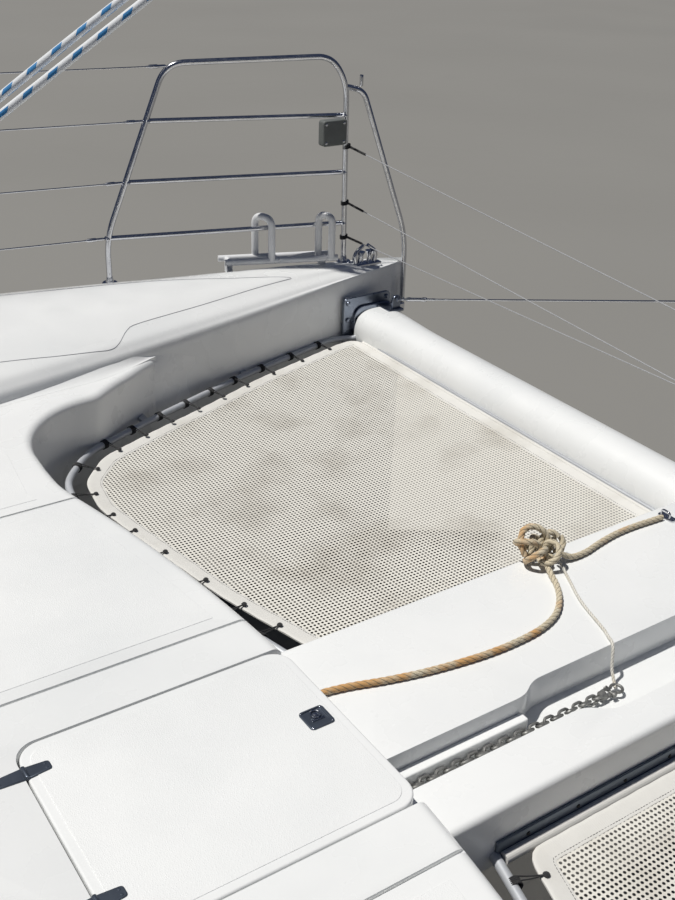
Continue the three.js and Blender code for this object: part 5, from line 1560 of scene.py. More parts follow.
def link(at, along, up):
    """One link: a stadium of round wire, given by its middle, its long direction and its flat normal."""
    along, up = np.array(along, float), np.array(up, float)
    side = np.cross(up, along)
    reach = LINK["half_long"] - LINK["half_wide"]
    a = np.linspace(0, TAU, 28, endpoint=False)
    u = LINK["half_wide"] * np.cos(a) + reach * np.sign(np.cos(a)) * (np.abs(np.cos(a)) > 1e-9)
    v = LINK["half_wide"] * np.sin(a)
    ring = np.array(at) + u[:, None] * along + v[:, None] * side
    return tube(ring, LINK["wire"], 8, closed=True)


def chain():
    """Links along the channel, each a quarter turn from the last, then down over the windlass."""
    places = LINK["start"] + LINK["pitch"] * np.arange(LINK["count"])
    lean = np.sin(np.arange(LINK["count"]) * 2.3) * 0.25
    shapes = []
    for i, x in enumerate(places):
        tilt = (math.pi / 4 + lean[i] * 0.4) + (i % 2) * math.pi / 2
        up = (0, math.cos(tilt), math.sin(tilt))
        shapes.append(link((x, CHAIN_Y, CHAIN_Z), (1, 0, 0), up))
    drop = smoothly(
        [(3.748, CHAIN_Y, 1.3243), (3.70, -0.150, 1.318), (3.64, -0.138, 1.298), (3.585, -0.122, 1.287)],
        LINK["pitch"])
    for i, (at, after) in enumerate(zip(drop[:-1], drop[1:])):
        run = unit(after - at)
        tilt = math.pi / 4 + ((i + 1) % 2) * math.pi / 2
        up = np.array([0, math.cos(tilt), math.sin(tilt)])
        up = up - run * (up @ run)
        shapes.append(link((at + after) / 2 + [0.012, 0, 0], run, unit(up)))
    return joined(*shapes)


def shackle():
    """A bow shackle at the chain's end: a horseshoe of rod, a pin with a head, and the snubber's thimble."""
    x, y, z = 4.686, CHAIN_Y, CHAIN_Z
    a = np.radians(np.linspace(-140, 140, 25))
    bow = np.column_stack([x + 0.014 + 0.015 * np.cos(a), y + 0.0155 * np.sin(a), np.full(25, z)])
    bow = np.vstack([[x - 0.010, y - 0.0095, z], bow, [x - 0.010, y + 0.0095, z]])
    bolt = [(0.0075, -0.019), (0.0075, -0.0135), (0.0045, -0.0135), (0.0045, 0.0135), (0.0075, 0.0135),
            (0.0075, 0.017)]
    pin = turned(bolt, (x - 0.010, y, z), (x - 0.010, y + 1, z), 14)
    swivel = turned(
        [(0.006, 0), (0.0125, 0.004), (0.0125, 0.016), (0.006, 0.02)], (x - 0.047, y, z), (x, y, z), 16)
    return joined(tube(bow, 0.0042, 10), pin, swivel)


build(
    "anchor_chain_links", joined(chain(), shackle()), galvanised,
    instead_of=["anchor_chain"])
gypsy = [(0.064, 0), (0.062, 0.008), (0.043, 0.022), (0.040, 0.029), (0.043, 0.036), (0.062, 0.050),
         (0.064, 0.058), (0.052, 0.066), (0.03, 0.072), (0.028, 0.084), (0.010, 0.088)]
windlass_shapes = [
    plate(round_rect((3.420, 3.680), (-0.200, 0.060), 0.06, 8), 1.140, 1.250, 0.025, 6),
    bar((3.440, 3.660), (-0.180, 0.040), (0.9603, 1.150), 0.004),
    stood(gypsy, (3.550, -0.075, 1.238), 36),
    turned(
        [(0.045, 0), (0.045, 0.12), (0.038, 0.14), (0.02, 0.145)], (3.62, -0.02, 1.19), (3.62, 0.2, 1.19),
        28)]
build("windlass_body", joined(*windlass_shapes), steel, instead_of=["windlass"])

# %% Pad eye, bow fairleads, light box and lid fittings
pad_shapes = [
    plate(round_rect((5.3495, 5.3765), (0.262, 0.322), 0.009, 5), 1.4003, 1.4058, 0.0015, 3),
    tube(bent([(5.356, y, z) for y, z in ((0.277, 1.404), (0.277, 1.426), (0.309, 1.426), (0.309, 1.404))],
              0.014, 8), 0.0035, 12),
    heads([(5.363, y, 1.4055) for y in (0.269, 0.315)], UP, 0.0042, 0.002),
]
build("pad_eye_loop", joined(*pad_shapes), steel, instead_of=["pad_eye"])


def fairlead():
    """A fairlead on the bow's inner edge: a base, and on each side a horn and an upright roller."""
    x, y = 5.70, 2.445
    z = float(deck_height(x, y)) - 0.004
    horn = ((0.052, 0), (0.060, 0.052), (0.012, 0.088))
    spool = [(0.021, 0), (0.013, 0.016), (0.013, 0.044), (0.021, 0.060)]
    routes = [bent([(x + s * u, y, z + v) for u, v in horn], 0.034, 8) for s in (-1, 1)]
    horns = [tube(route, np.linspace(0.0125, 0.008, len(route)), 14) for route in routes]
    rollers = [stood(spool, (x + s * 0.025, y, z), 20) for s in (-1, 1)]
    base = bar((x - 0.078, x + 0.078), (y - 0.026, y + 0.026), (z - 0.02, z + 0.007), 0.004)
    return joined(base, *horns, *rollers)


pair("bow_fairlead", fairlead(), steel)
box_shape = panel("y", round_rect((5.440, 5.560), (2.098, 2.206), 0.012, 6), 2.418, 2.462, 0.006, 4)
box_screws = heads(
    [(x, 2.4185, z) for x in (5.455, 5.545) for z in (2.113, 2.191)], (0, -1, 0), 0.006, 0.003)
pair("light_box", box_shape, plain("grey moulding", (0.13, 0.14, 0.135), 0.5))
pair("light_box_screws", box_screws, steel)


def strap(root, tip, y, wide, narrow):
    """Outline of a hinge leaf: straight sides that taper from root to tip, and a rounded tip."""
    flat = [(root, y - wide, 0), (tip, y - narrow, 0), (tip, y + narrow, 0), (root, y + wide, 0)]
    return bent(flat, 0.008, 5)[:, :2]


def hinge(y):
    """A strap hinge: two leaves with a knuckle between them, polished and lightly domed."""
    leaf = plate(strap(3.286, 3.341, y, 0.018, 0.0135), DECK_TOP, DECK_TOP + 0.0042, 0.0018, 4)
    back = plate(strap(3.283, 3.215, y, 0.018, 0.0135)[::-1], DECK_TOP, DECK_TOP + 0.0042, 0.0018, 4)
    pin = [(0.0052, -0.017), (0.0058, -0.015), (0.0058, 0.015), (0.0052, 0.017)]
    knuckle = turned(pin, (3.2845, y, 1.469), (3.2845, y + 1, 1.469), 18)
    screws = [heads([(x, y + u, DECK_TOP + 0.0036) for u in (-0.0065, 0.0065)], UP, 0.0036, 0.0016)
              for x in (3.330, 3.228)]
    return joined(leaf, screws[0]), joined(back, knuckle, screws[1])


leaves, backs = zip(*[hinge(y) for y in (-0.182, 0.205)])
build("anchor_lid_hinge_leaves", joined(*leaves), dark_steel, body="anchor_lid")
build("anchor_lid_hinge_backs", joined(*backs), dark_steel)
LATCH = np.array([3.900, 0.030, DECK_TOP + 0.0014])
rim = round_rect((-0.032, 0.032), (-0.032, 0.032), 0.010, 6)
pan = round_rect((-0.024, 0.024), (-0.018, 0.027), 0.006, 5)
latch = build(
    "anchor_lid_latch", moved(plate(rim, -0.004, 0.0034, 0.0016, 4), LATCH), dark_steel,
    body="anchor_lid")
carved(latch, moved(plate(pan, 0.0008, 0.02, SHARP, 1), LATCH))
softened(latch, 0.0006)
ring = tube(
    np.column_stack([circle(0.0115, 28), np.full(28, 0.0042)]) + [0.002, 0.010, 0], 0.0019, 10,
    closed=True)
fittings = joined(
    ring, stood([(0.006, 0), (0.0055, 0.003), (0.002, 0.0042)], (0.002, 0.010, 0.0005), 18),
    bar((-0.017, 0.017), (-0.009, -0.004), (0.0006, 0.0040), 0.0012),
    tube(np.array([(0.002, -0.004, 0.0035), (0.002, 0.0, 0.0038)]), 0.002, 8),
    heads([(u, v, 0.0030) for u in (-0.026, 0.026) for v in (-0.026, 0.027)], UP, 0.0032, 0.0012))
build("anchor_lid_lift_ring", moved(fittings, LATCH), steel, body="anchor_lid")

# %% [markdown]
# ## Non-slip fields and fittings on the hull decks
# The hull decks have moulded non-slip fields too. The bow field's inner edge is a fine line that steps
# outboard once, and it meets the outer edge in a point near the stem. A field is draped: its height is
# the deck's own height plus a millimetre, so it follows the crown without floating.

# %% Draped deck fields
BOW_INNER = [
    (2.980, 2.135), (3.400, 2.120), (3.876, 2.103), (4.094, 2.087), (4.240, 2.086), (4.300, 2.092),
    (4.340, 2.116), (4.403, 2.183), (4.469, 2.212), (4.762, 2.272), (5.050, 2.336), (5.260, 2.374)]
BOW_OUTER = [
    (2.980, 2.955), (3.400, 2.882), (4.090, 2.728), (4.491, 2.631), (4.797, 2.537), (5.022, 2.458),
    (5.260, 2.380)]
SIDE_FIELDS = ((-3.600, -1.960), (-1.880, 0.180), (0.260, 2.240))
SIDE_BAND = (2.060, 2.960)


def draped(inner, outer, lift=0.0013, columns=14):
    """A sheet between two lines of (x, y) points, laid on the hull's deck and closed below it."""
    t = np.linspace(0, 1, columns)[None, :, None]
    flat = inner[:, None] * (1 - t) + outer[:, None] * t
    z = deck_height(flat[..., 0], flat[..., 1])
    edge = np.minimum(t, 1 - t)[..., 0] * np.linalg.norm(outer - inner, axis=1)[:, None]
    top = np.concatenate([flat, (z + lift * np.clip(edge / 0.003, 0, 1))[..., None]], axis=2)
    under = np.concatenate([flat, (z - 0.004)[..., None]], axis=2)
    return grid(np.concatenate([top, under[:, ::-1]], axis=1), around=True, ends=True)


def side_field(x, y, radius=0.06, rows=70):
    """A draped rectangle: near its ends the sides draw in as quarter circles."""
    a = np.linspace(0, math.pi / 2, 9)
    middle = np.linspace(x[0] + radius, x[1] - radius, rows)[1:-1]
    places = np.concatenate([x[0] + radius * (1 - np.cos(a)), middle, x[1] - radius * (1 - np.sin(a))])
    gap = np.clip((radius - np.minimum(places - x[0], x[1] - places)) / radius, 0, 1)
    drawn = radius * (1 - np.sqrt(1 - gap**2))
    return draped(np.column_stack([places, y[0] + drawn]), np.column_stack([places, y[1] - drawn]))


def matched(line, rows):
    fine = smoothly(line, 0.01)
    return fine[np.linspace(0, len(fine) - 1, rows).round().astype(int)]


bow_field = draped(matched(BOW_INNER, 150), matched(BOW_OUTER, 150))
fields = [bow_field] + [side_field(x, SIDE_BAND) for x in SIDE_FIELDS]
pair("hull_deck_field", joined(*fields), deck_white)


def painted_shadow_line(line, lift=0.0008, radius=0.0012):
    """A painted shadow line at a field's edge: a fine grey tube that follows the deck."""
    z = deck_height(line[:, 0], line[:, 1])
    return tube(np.column_stack([line, z + lift]), radius, 6)


# Painted shadow: a grey line along the edges of the bow field stands for the shade of its small step.
shadow_lines = [painted_shadow_line(matched(line, 170)) for line in (BOW_INNER, BOW_OUTER)]
pair(
    "hull_deck_field_shadow_line", joined(*shadow_lines), plain("painted shadow grey", (0.38, 0.39, 0.42), 0.6, size=0.003))
print("hull deck fields", len(fields))

# %% Cleats, stern pads and the bathing ladder
HORNS = [(-0.115, 0.046, 0.003), (-0.10, 0.045, 0.0065), (-0.05, 0.041, 0.0095), (0, 0.040, 0.0105),
         (0.05, 0.041, 0.0095), (0.10, 0.045, 0.0065), (0.115, 0.046, 0.003)]  # along, height, radius


def cleat(at, turn=0.0):
    """A horn cleat: a foot plate, two legs, and a bar whose ends taper and rise a little."""
    along, height, radius = np.array(HORNS).T
    horns = tube(np.stack([along, 0 * along, height], axis=1), radius, 16)
    leg = [(0.017, -0.01), (0.015, 0.004), (0.0095, 0.018), (0.0085, 0.038)]
    foot = plate(round_rect((-0.062, 0.062), (-0.019, 0.019), 0.017, 6), -0.012, 0.005, 0.002, 3)
    points, faces = joined(horns, foot, *[stood(leg, (u, 0, 0), 18) for u in (-0.034, 0.034)])
    c, s = math.cos(turn), math.sin(turn)
    return points @ np.array([[c, s, 0], [-s, c, 0], [0, 0, 1]]) + at, faces


CLEATS = [(3.300, 2.990, -0.17), (0.220, 3.110, 0.0), (-4.300, 3.020, 0.05)]
cleats = [cleat((x, y, float(deck_height(x, y)) + 0.001), turn) for x, y, turn in CLEATS]
pair("mooring_cleat", joined(*cleats), steel)
deck_pad = plain("grey foam decking", (0.23, 0.235, 0.235), 0.85, size=0.003, depth=0.0003)
tread_ends = [riser for riser, _ in STERN_STEPS[1:]] + [STATIONS[0, 0]]
strips = [bar((end + 0.045, riser - 0.05), (HULL_Y + v, HULL_Y + v + 0.047), (z - 0.001, z + 0.004), 0.0015)
          for (riser, z), end in zip(STERN_STEPS, tread_ends) for v in np.arange(-0.36, 0.35, 0.053)]
pair("stern_tread_pad", joined(*strips), deck_pad)
LADDER_Y = (2.30, 2.62)
arch = ((-5.60, 0.440), (-5.60, 1.020), (-5.66, 1.060), (-5.72, 1.020), (-5.72, 0.440))
ladder_tubes = [pipe([(x, y, z) for x, z in arch], RAIL_TUBE, 0.05) for y in LADDER_Y]
ladder_treads = [bar((-5.745, -5.69), LADDER_Y, (z, z + 0.022), 0.006) for z in (0.50, 0.68, 0.86)]
stern_feet = [stood([(0.03, -0.002), (0.03, 0.006), (0.0135, 0.012), (0.0125, 0.03)], (x, y, 0.45))
              for y in LADDER_Y for x in (-5.60, -5.72)]
build("bathing_ladder", joined(*ladder_tubes, *stern_feet), steel)
build("bathing_ladder_treads", joined(*ladder_treads), white_coat)


# %% [markdown]
# ## The cabin
# The coach roof is one moulded shell that leans back at the front and rounds over into the roof. A loft of
# rings gives it: each ring runs from the middle of the front round a soft corner and back along the side,
# and its front and half width are smooth functions of height. The inside is the same loft a little
# smaller, so the shell is as thin as a real one, and windows and door are cut through it.

# %% Cabin rings
CABIN_AFT = -1.90
CABIN_LEVELS = np.array([
    # z, front x, half width
    (1.440, 2.350, 1.930), (1.750, 2.290, 1.920), (2.080, 2.090, 1.880), (2.480, 1.590, 1.730),
    (2.600, 1.350, 1.600), (2.660, 1.060, 1.370), (2.682, 0.800, 1.130), (2.694, 0.450, 0.700),
    (2.700, 0.050, 0.200),
])
NOSE_LONG = 0.90  # from the front to where the straight side begins
WALL = 0.034
GLASS_Z = (1.960, 2.385)
SIDE_WINDOWS = ((-1.550, -0.500), (-0.380, 0.560))
FRONT_WINDOWS = ((-1.180, -0.640), (-0.520, 0.520), (0.640, 1.180))
WINDOW_Z = (2.010, 2.330)
DOOR = dict(y=(-0.380, 0.580), head=2.440)


def cabin_at(z):
    """Front and half width at heights z, smooth between the levels."""
    return faired(z, CABIN_LEVELS[:, 0], CABIN_LEVELS[:, 1:]).T


def nose_columns(front, half, per=9):
    """The port half of the nose at each height: from the middle round the soft corner to the side."""
    f, h = front, half
    keys = ((f, -0.3 * h), (f, 0 * h), (f, 0.3 * h), (f - 0.13, 0.62 * h), (f - 0.42, 0.87 * h),
            (f - NOSE_LONG, h), (f - 1.60, h + 0.01))
    return through(np.stack([np.stack(c, axis=1) for c in keys], axis=1), per)


def cabin_skin(levels, grow=0.0, aft=CABIN_AFT, corner=0.07, floor=None):
    """A closed loft of full rings at the given heights, grown outwards by a distance."""
    front, half = cabin_at(levels)
    front, half = front + grow, np.maximum(half + grow, 0.05)
    nose = nose_columns(front, half)
    t = np.linspace(0, 1, 26)[None, :, None]
    start = np.stack([front - NOSE_LONG, half], axis=1)[:, None]
    end = np.stack([np.full_like(front, aft - grow + corner), half], axis=1)[:, None]
    side = start + (end - start) * t
    a = np.radians(np.linspace(90, 180, 7))[1:]
    r = np.minimum(corner, half * 0.9)[:, None]
    turn = np.stack(
        [end[:, :, 0] + corner * np.cos(a)[None], half[:, None] - r + r * np.sin(a)[None]], axis=2)
    port = np.concatenate([nose, side, turn], axis=1)
    ring = np.concatenate([port, (port[:, 1:] * [1, -1])[:, ::-1]], axis=1)
    z = np.array(levels) if floor is None else np.concatenate([[floor], levels[1:]])
    heights = np.broadcast_to((z + grow * (np.array(levels) > 2.55))[:, None, None], ring.shape[:2] + (1,))
    return grid(np.concatenate([ring, heights], axis=2), around=True, ends=True)


outer_levels = np.concatenate([
    np.linspace(1.44, 2.45, 22), np.linspace(2.49, 2.66, 10), [2.672, 2.682, 2.689, 2.694, 2.698, 2.700]])
inner_levels = np.concatenate([np.linspace(1.44, 2.45, 12), np.linspace(2.49, 2.64, 7)])
cabin = build("cabin_shell", cabin_skin(outer_levels), smooth_white, instead_of=["cabin"])
side_cuts = [plate(round_rect(x, WINDOW_Z, 0.06, 6), -2.2, 2.2, SHARP, 1) for x in SIDE_WINDOWS]
front_cuts = [plate(round_rect(y, WINDOW_Z, 0.06, 6), 1.35, 2.60, SHARP, 1) for y in FRONT_WINDOWS]
door_cut = block((CABIN_AFT - 0.1, CABIN_AFT + 0.1), DOOR["y"], (1.3, DOOR["head"]))
carved(cabin, cabin_skin(inner_levels, -WALL, floor=1.40), *[upright(s, "y") for s in side_cuts],
       *[upright(s, "x") for s in front_cuts], door_cut)
softened(cabin, 0.004)
# The foredeck reaches in under the cabin, so it ends at the cabin's inside.
carved(slab, cabin_skin(inner_levels, 0.001 - WALL, floor=1.0))
print("cabin faces", len(cabin.data.polygons))


def glass_band(inner=0.0008, outer=0.0075, end=-1.68, radius=0.12):
    """Tinted band round the cabin: the rings between two heights, drawn in at the ends in round corners,
    with an outer and an inner face a few millimetres apart."""
    middle, reach = sum(GLASS_Z) / 2, (GLASS_Z[1] - GLASS_Z[0]) / 2
    v = np.linspace(-1, 1, 15)
    rows = []
    for grow in (outer, inner):
        lines = []
        for k in v:
            z = np.array([middle + k * reach])
            front, half = cabin_at(z)
            nose = nose_columns(front + grow, half + grow)[0]
            t = np.linspace(0, 1, 40)[:, None] ** 0.8
            start = np.array([front[0] + grow - NOSE_LONG, half[0] + grow])
            side = start + (np.array([end, start[1]]) - start) * t
            port = np.concatenate([nose, side])
            ring = np.concatenate([(port[1:] * [1, -1])[::-1], port])
            lines.append(np.column_stack([ring, np.full(len(ring), z[0])]))
        rows.append(np.array(lines))
    for face in rows:
        gap = np.clip((radius - (face[..., 0] - end)) / radius, 0, 1)
        pull = radius * (1 - np.sqrt(1 - gap**2))
        off = face[..., 2] - middle
        face[..., 2] -= np.sign(off) * np.minimum(pull, np.abs(off)) * np.abs(v)[:, None]
    outside, within = rows
    points = np.concatenate([outside, within[::-1]])
    return grid(points.transpose(1, 0, 2), around=True, ends=True)


tinted = Finish(
    "tinted glass", (0.035, 0.045, 0.05), 0.04, Transmission_Weight=0.72, IOR=1.45, Coat_Weight=0.4)
tinted.rough(tinted.noise(0.3, detail=3), 0.03, 0.08)
tinted = tinted.material
build("saloon_glazing", glass_band(), tinted, instead_of=["saloon_windows"])


# %% Sliding door, furniture and helm
def framed(y, z, bar_width, x):
    """A frame of four bars round an opening, as one ring of section bar_width by the depth in x."""
    within = [(side[0] + bar_width, side[1] - bar_width) for side in (y, z)]
    outer, inner = round_rect(y, z, 0.03, 5), round_rect(*within, 0.02, 5)
    corners = ((outer, x[0]), (outer, x[1]), (inner, x[1]), (inner, x[0]))
    loops = [np.column_stack([np.full(len(ring), depth), ring]) for ring, depth in corners]
    return grid(np.array(loops).transpose(1, 0, 2), around=True, along=True)


door_x = (CABIN_AFT + WALL + 0.0055, CABIN_AFT + WALL + 0.035)
door_frame = framed((DOOR["y"][0] - 0.03, DOOR["y"][1] + 0.03), (1.070, 2.465), 0.07, door_x)
handle = bar((door_x[0] - 0.0035, door_x[0] + 0.001), (0.550, 0.568), (1.75, 1.99), 0.0015)
build(
    "sliding_door_frame", joined(door_frame, handle), alloy, body="sliding_door",
    instead_of=["sliding_door"])
pane_x = (door_x[0] + 0.012, door_x[0] + 0.018)
pane_edge = round_rect((DOOR["y"][0] + 0.035, DOOR["y"][1] - 0.035), (1.13, 2.40), 0.02, 4)
pane = panel("x", pane_edge, *pane_x, 0.001, 1)
build("sliding_door_pane", pane, tinted, body="sliding_door")
warm_laminate = plain("interior laminate", (0.46, 0.36, 0.25), 0.4, size=0.03)
furniture = cad_copy("saloon_joinery", "saloon_furniture", warm_laminate)
softened(furniture, 0.012)

console_side = np.array([
    (-1.9003, 1.900), (-2.180, 1.960), (-2.180, 2.260), (-2.050, 2.330), (-1.9003, 2.330)])[::-1]
console = panel("y", rounded_edge(console_side, 0.035), -1.390, -0.910, 0.02, 5)
build("helm_console_moulding", console, smooth_white, instead_of=["helm_console"])
black_plastic = plain("black moulding", (0.02, 0.021, 0.023), 0.35)
DIALS = ((-1.28, 2.20, 0.052), (-1.15, 2.215, 0.052), (-1.02, 2.20, 0.052), (-1.02, 2.09, 0.034))
dials = [
    turned(
        [(r, 0), (r, 0.006), (r * 0.93, 0.009), (r * 0.9, 0.006), (0.01, 0.006)], (-2.179, y, z),
        (-3, y, z), 36)
    for y, z, r in DIALS]
lever = [bar((-2.235, -2.17), (-0.985, -0.925), (2.02, 2.05), 0.006),
         pipe([(-2.215, -0.955, 2.045), (-2.235, -0.955, 2.16)], 0.007, 0.01),
         stood([(0.008, 0), (0.014, 0.01), (0.014, 0.03), (0.008, 0.036)], (-2.235, -0.955, 2.155), 20)]
build("helm_dials", joined(*dials, *lever), black_plastic)
compass = [(0.062, 0), (0.062, 0.018), (0.05, 0.03), (0.046, 0.05), (0.034, 0.07), (0.012, 0.08)]
build("helm_compass", stood(compass, (-1.985, -1.15, 2.329), 36), tinted)

WHEEL = dict(at=np.array([-2.239, -1.150, 2.050]), radius=0.360, tube=0.014)


def wheel():
    """Rim, five spokes that lean to the hub, and a turned hub with its nut."""
    a = np.linspace(0, TAU, 72, endpoint=False)
    rim = WHEEL["at"] + np.column_stack([np.zeros(72), np.cos(a), np.sin(a)]) * WHEEL["radius"]
    shapes = [tube(rim, WHEEL["tube"], 16, closed=True)]
    for k in range(5):
        turn = math.radians(90 + 72 * k)
        out = np.array([0, math.cos(turn), math.sin(turn)])
        spoke = np.array([WHEEL["at"] + out * 0.03, WHEEL["at"] + out * WHEEL["radius"]])
        shapes.append(tube(spoke, [0.010, 0.0075], 14))
    start = np.array([-2.1804, -1.150, 2.050])
    hub = [(0.028, 0.0), (0.028, 0.034), (0.046, 0.038), (0.046, 0.078), (0.040, 0.084), (0.018, 0.086),
           (0.018, 0.096), (0.006, 0.1)]
    shapes.append(turned(hub, start, start + [-1, 0, 0], 32))
    return joined(*shapes)


build("helm_wheel_rim", wheel(), steel, body="helm_wheel", instead_of=["helm_wheel"])

# %% [markdown]
# ## Cushions
# The cushions of cockpit, helm and saloon are foam in a sewn cover: crowned, fuller in the middle, with
# edges that pull in between the corners. They could be bevelled boxes, but those look hard. A short cloth
# simulation with inner pressure blows each one up from a slightly smaller box, and the swelling is capped
# so that it stays in its place.

# %% Swollen cushions
cover = woven("cushion cover", (0.33, 0.36, 0.39), (0.25, 0.27, 0.29), thread=0.0014)
FRAMES = 20  # of the cloth simulation


def read_points(made):
    points = np.zeros(len(made.data.vertices) * 3)
    made.data.vertices.foreach_get("co", points)
    return points.reshape(-1, 3)


def write_points(made, points):
    made.data.vertices.foreach_set("co", np.ascontiguousarray(points).ravel())
    made.data.update()


def inflated(made, cap):
    """Cloth pressure moves each point outwards, and no point moves further than the cap."""
    start = read_points(made)
    cloth = made.modifiers.new("cloth", "CLOTH")
    cloth.settings.use_pressure = True
    cloth.settings.uniform_pressure_force = 4
    cloth.settings.effector_weights.gravity = 0
    cloth.point_cache.frame_start, cloth.point_cache.frame_end = 1, FRAMES
    for number in range(1, FRAMES + 1):
        bpy.context.scene.frame_set(number)
    settled(made)
    change = read_points(made) - start
    far = np.linalg.norm(change, axis=1, keepdims=True)
    write_points(made, start + change * np.minimum(1, cap / np.maximum(far, 1e-9)))
    bpy.context.scene.frame_set(1)


def cushion(name, x, y, z, instead_of=(), voxel=0.014, shrink=0.010, cap=0.012, standing=False):
    """A padded piece inside the given box: remeshed, blown up by cloth pressure, and capped."""
    wide, deep, thick = (y, z, x) if standing else (x, y, z)
    outline = round_rect(
        (wide[0] + shrink, wide[1] - shrink), (deep[0] + shrink, deep[1] - shrink), 0.05, 6)
    box = plate(outline, thick[0] + shrink * 0.5, thick[1] - shrink, 0.018, 4, both=True)
    box = upright(box, "x") if standing else box
    made = build(name, box, cover, body=None, instead_of=instead_of)
    remesh = made.modifiers.new("even mesh", "REMESH")
    remesh.mode = "VOXEL"
    remesh.voxel_size = voxel
    settled(made)
    inflated(made, cap)
    fine = made.modifiers.new("smooth", "SUBSURF")
    fine.levels = fine.render_levels = 1
    settled(made)
    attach(made, "root")
    return made


CUSHIONS = [
    # name, x, y, z, node that it replaces
    ("cockpit_cushion_port", (-3.950, -2.050), (1.280, 1.655), (1.4653, 1.5453), ["cushion_port"]),
    ("cockpit_cushion_aft", (-4.500, -4.080), (-1.150, 1.150), (1.4653, 1.5453), ["cushion_aft"]),
    ("helm_seat_pad", (-3.000, -2.560), (-1.560, -0.760), (1.890, 1.950), ["helm_seat"]),
    ("saloon_cushion_fore", (0.910, 1.490), (-1.140, 1.140), (1.4803, 1.5603), []),
    ("saloon_cushion_port", (-0.290, 0.900), (0.860, 1.440), (1.4803, 1.5603), []),
]
for name, x, y, z, node in CUSHIONS:
    made = cushion(name, x, y, z, instead_of=node)
    low, high = np.array([x, y, z]).T
    write_points(made, np.clip(read_points(made), low, high + [0, 0, 0.008]))  # flat where it rests
cushion("helm_seat_back", (-3.040, -2.990), (-1.540, -0.780), (1.950, 2.250),
        voxel=0.009, shrink=0.006, cap=0.008, standing=True)
seat_base = [bar((-2.960, -2.620), (-1.500, -1.270), (1.4653, 1.893), 0.02),
             bar((-3.06, -3.04), (-1.50, -0.82), (1.80, 2.22), 0.008)]
seat_base += [
    pipe([(-3.052, y, 1.84), (-3.052, y, 1.88), (-2.70, y, 1.885)], 0.012, 0.03) for y in (-1.45, -0.87)]
build("helm_seat_base", joined(*seat_base), smooth_white)
print("cushions", len(CUSHIONS) + 1)

# %% Cockpit table and hard top
table_top = plate(round_rect((-3.600, -2.500), (0.250, 1.000), 0.07, 8), 1.740, 1.775, 0.008, 4, both=True)
leg = [
    (0.110, 0.0003), (0.110, 0.012), (0.095, 0.02), (0.045, 0.03), (0.038, 0.05), (0.038, 0.66),
    (0.075, 0.69)]
table_leg = stood(leg, (-3.050, 0.625, 1.050), 32)
build(
    "cockpit_table_top", joined(table_top, table_leg), smooth_white,
    instead_of=["cockpit_table"])
top_plate = plate(
    round_rect((-4.150, -1.650), (-1.650, 1.650), 0.22, 12), 3.060, 3.110, 0.022, 5, both=True)
top_edge = plate(round_rect((-4.120, -1.680), (-1.620, 1.620), 0.20, 12), 3.030, 3.064, 0.008, 3, both=True)
posts = [tube(np.array([(-1.790, y, 3.045), (-1.790, y, 2.600)]), 0.025, 24) for y in (1.3, -1.3)]
for y in (1.5, -1.5):
    posts.append(tube(bent([(-4.020, y, 3.045), (-4.045, y, 2.40), (-4.080, y, 1.440)], 0.4, 8), 0.025, 24))
    posts.append(stood([(0.05, 0), (0.05, 0.006), (0.03, 0.012), (0.028, 0.03)], (-4.080, y, 1.465), 28))
build(
    "hard_top_moulding", joined(top_plate, top_edge), smooth_white,
    instead_of=["hard_top"])
build("hard_top_posts", joined(*posts), smooth_white)

# %% [markdown]
# ## Rig
# The mast is an oval extrusion that tapers near its head, held by wires and by diamonds over its
# spreaders. The mainsail lies folded in a canvas bag on the boom, and the headsail is rolled round the
# forestay: its radius steps a little where the last layer's edge winds up the roll.

# %% Mast, spreaders and stays
MAST = dict(x=1.150, foot=2.7053, top=17.200, hounds=15.300, long=0.105, wide=0.068)


def mast_scale(z):
    return np.interp(z, [MAST["foot"], 14.0, MAST["top"]], [1, 1, 0.72])


def mast_shape():
    """An oval a little flatter than an ellipse, with a sail groove in its aft side, carried upwards."""
    a = np.linspace(0, TAU, 64, endpoint=False)
    groove = 0.010 * np.exp(-((a - math.pi) / 0.07) ** 2)
    x = (MAST["long"] - groove) * np.sign(np.cos(a)) * np.abs(np.cos(a)) ** 0.94
    y = MAST["wide"] * np.sign(np.sin(a)) * np.abs(np.sin(a)) ** 0.94
    z = np.concatenate([[MAST["foot"]], np.linspace(3.0, 14.0, 12), np.linspace(14.4, MAST["top"], 8)])
    k = mast_scale(z)[:, None]
    points = np.stack([MAST["x"] + k * x, k * y, np.broadcast_to(z[:, None], (len(z), 64))], axis=2)
    return grid(points, around=True, ends=True)


def foil_spreader(side):
    """A spreader: a flat oval tube that tapers outwards and leans slightly up."""
    root = np.array([MAST["x"] + 0.02, side * 0.05, 9.0])
    tip = np.array([MAST["x"] - 0.260, side * 0.900, 9.060])
    t = np.linspace(0, 1, 8)[:, None]
    a = np.linspace(0, TAU, 28, endpoint=False)
    size = 1 - 0.4 * t
    ring = np.stack([np.cos(a) * 0.055 * size, np.zeros((8, 28)), np.sin(a) * 0.016 * size], axis=2)
    points = (root + t * (tip - root))[:, None] + ring
    shape = grid(points, around=True, ends=True)
    return shape if side < 0 else (shape[0], [face[::-1] for face in shape[1]])


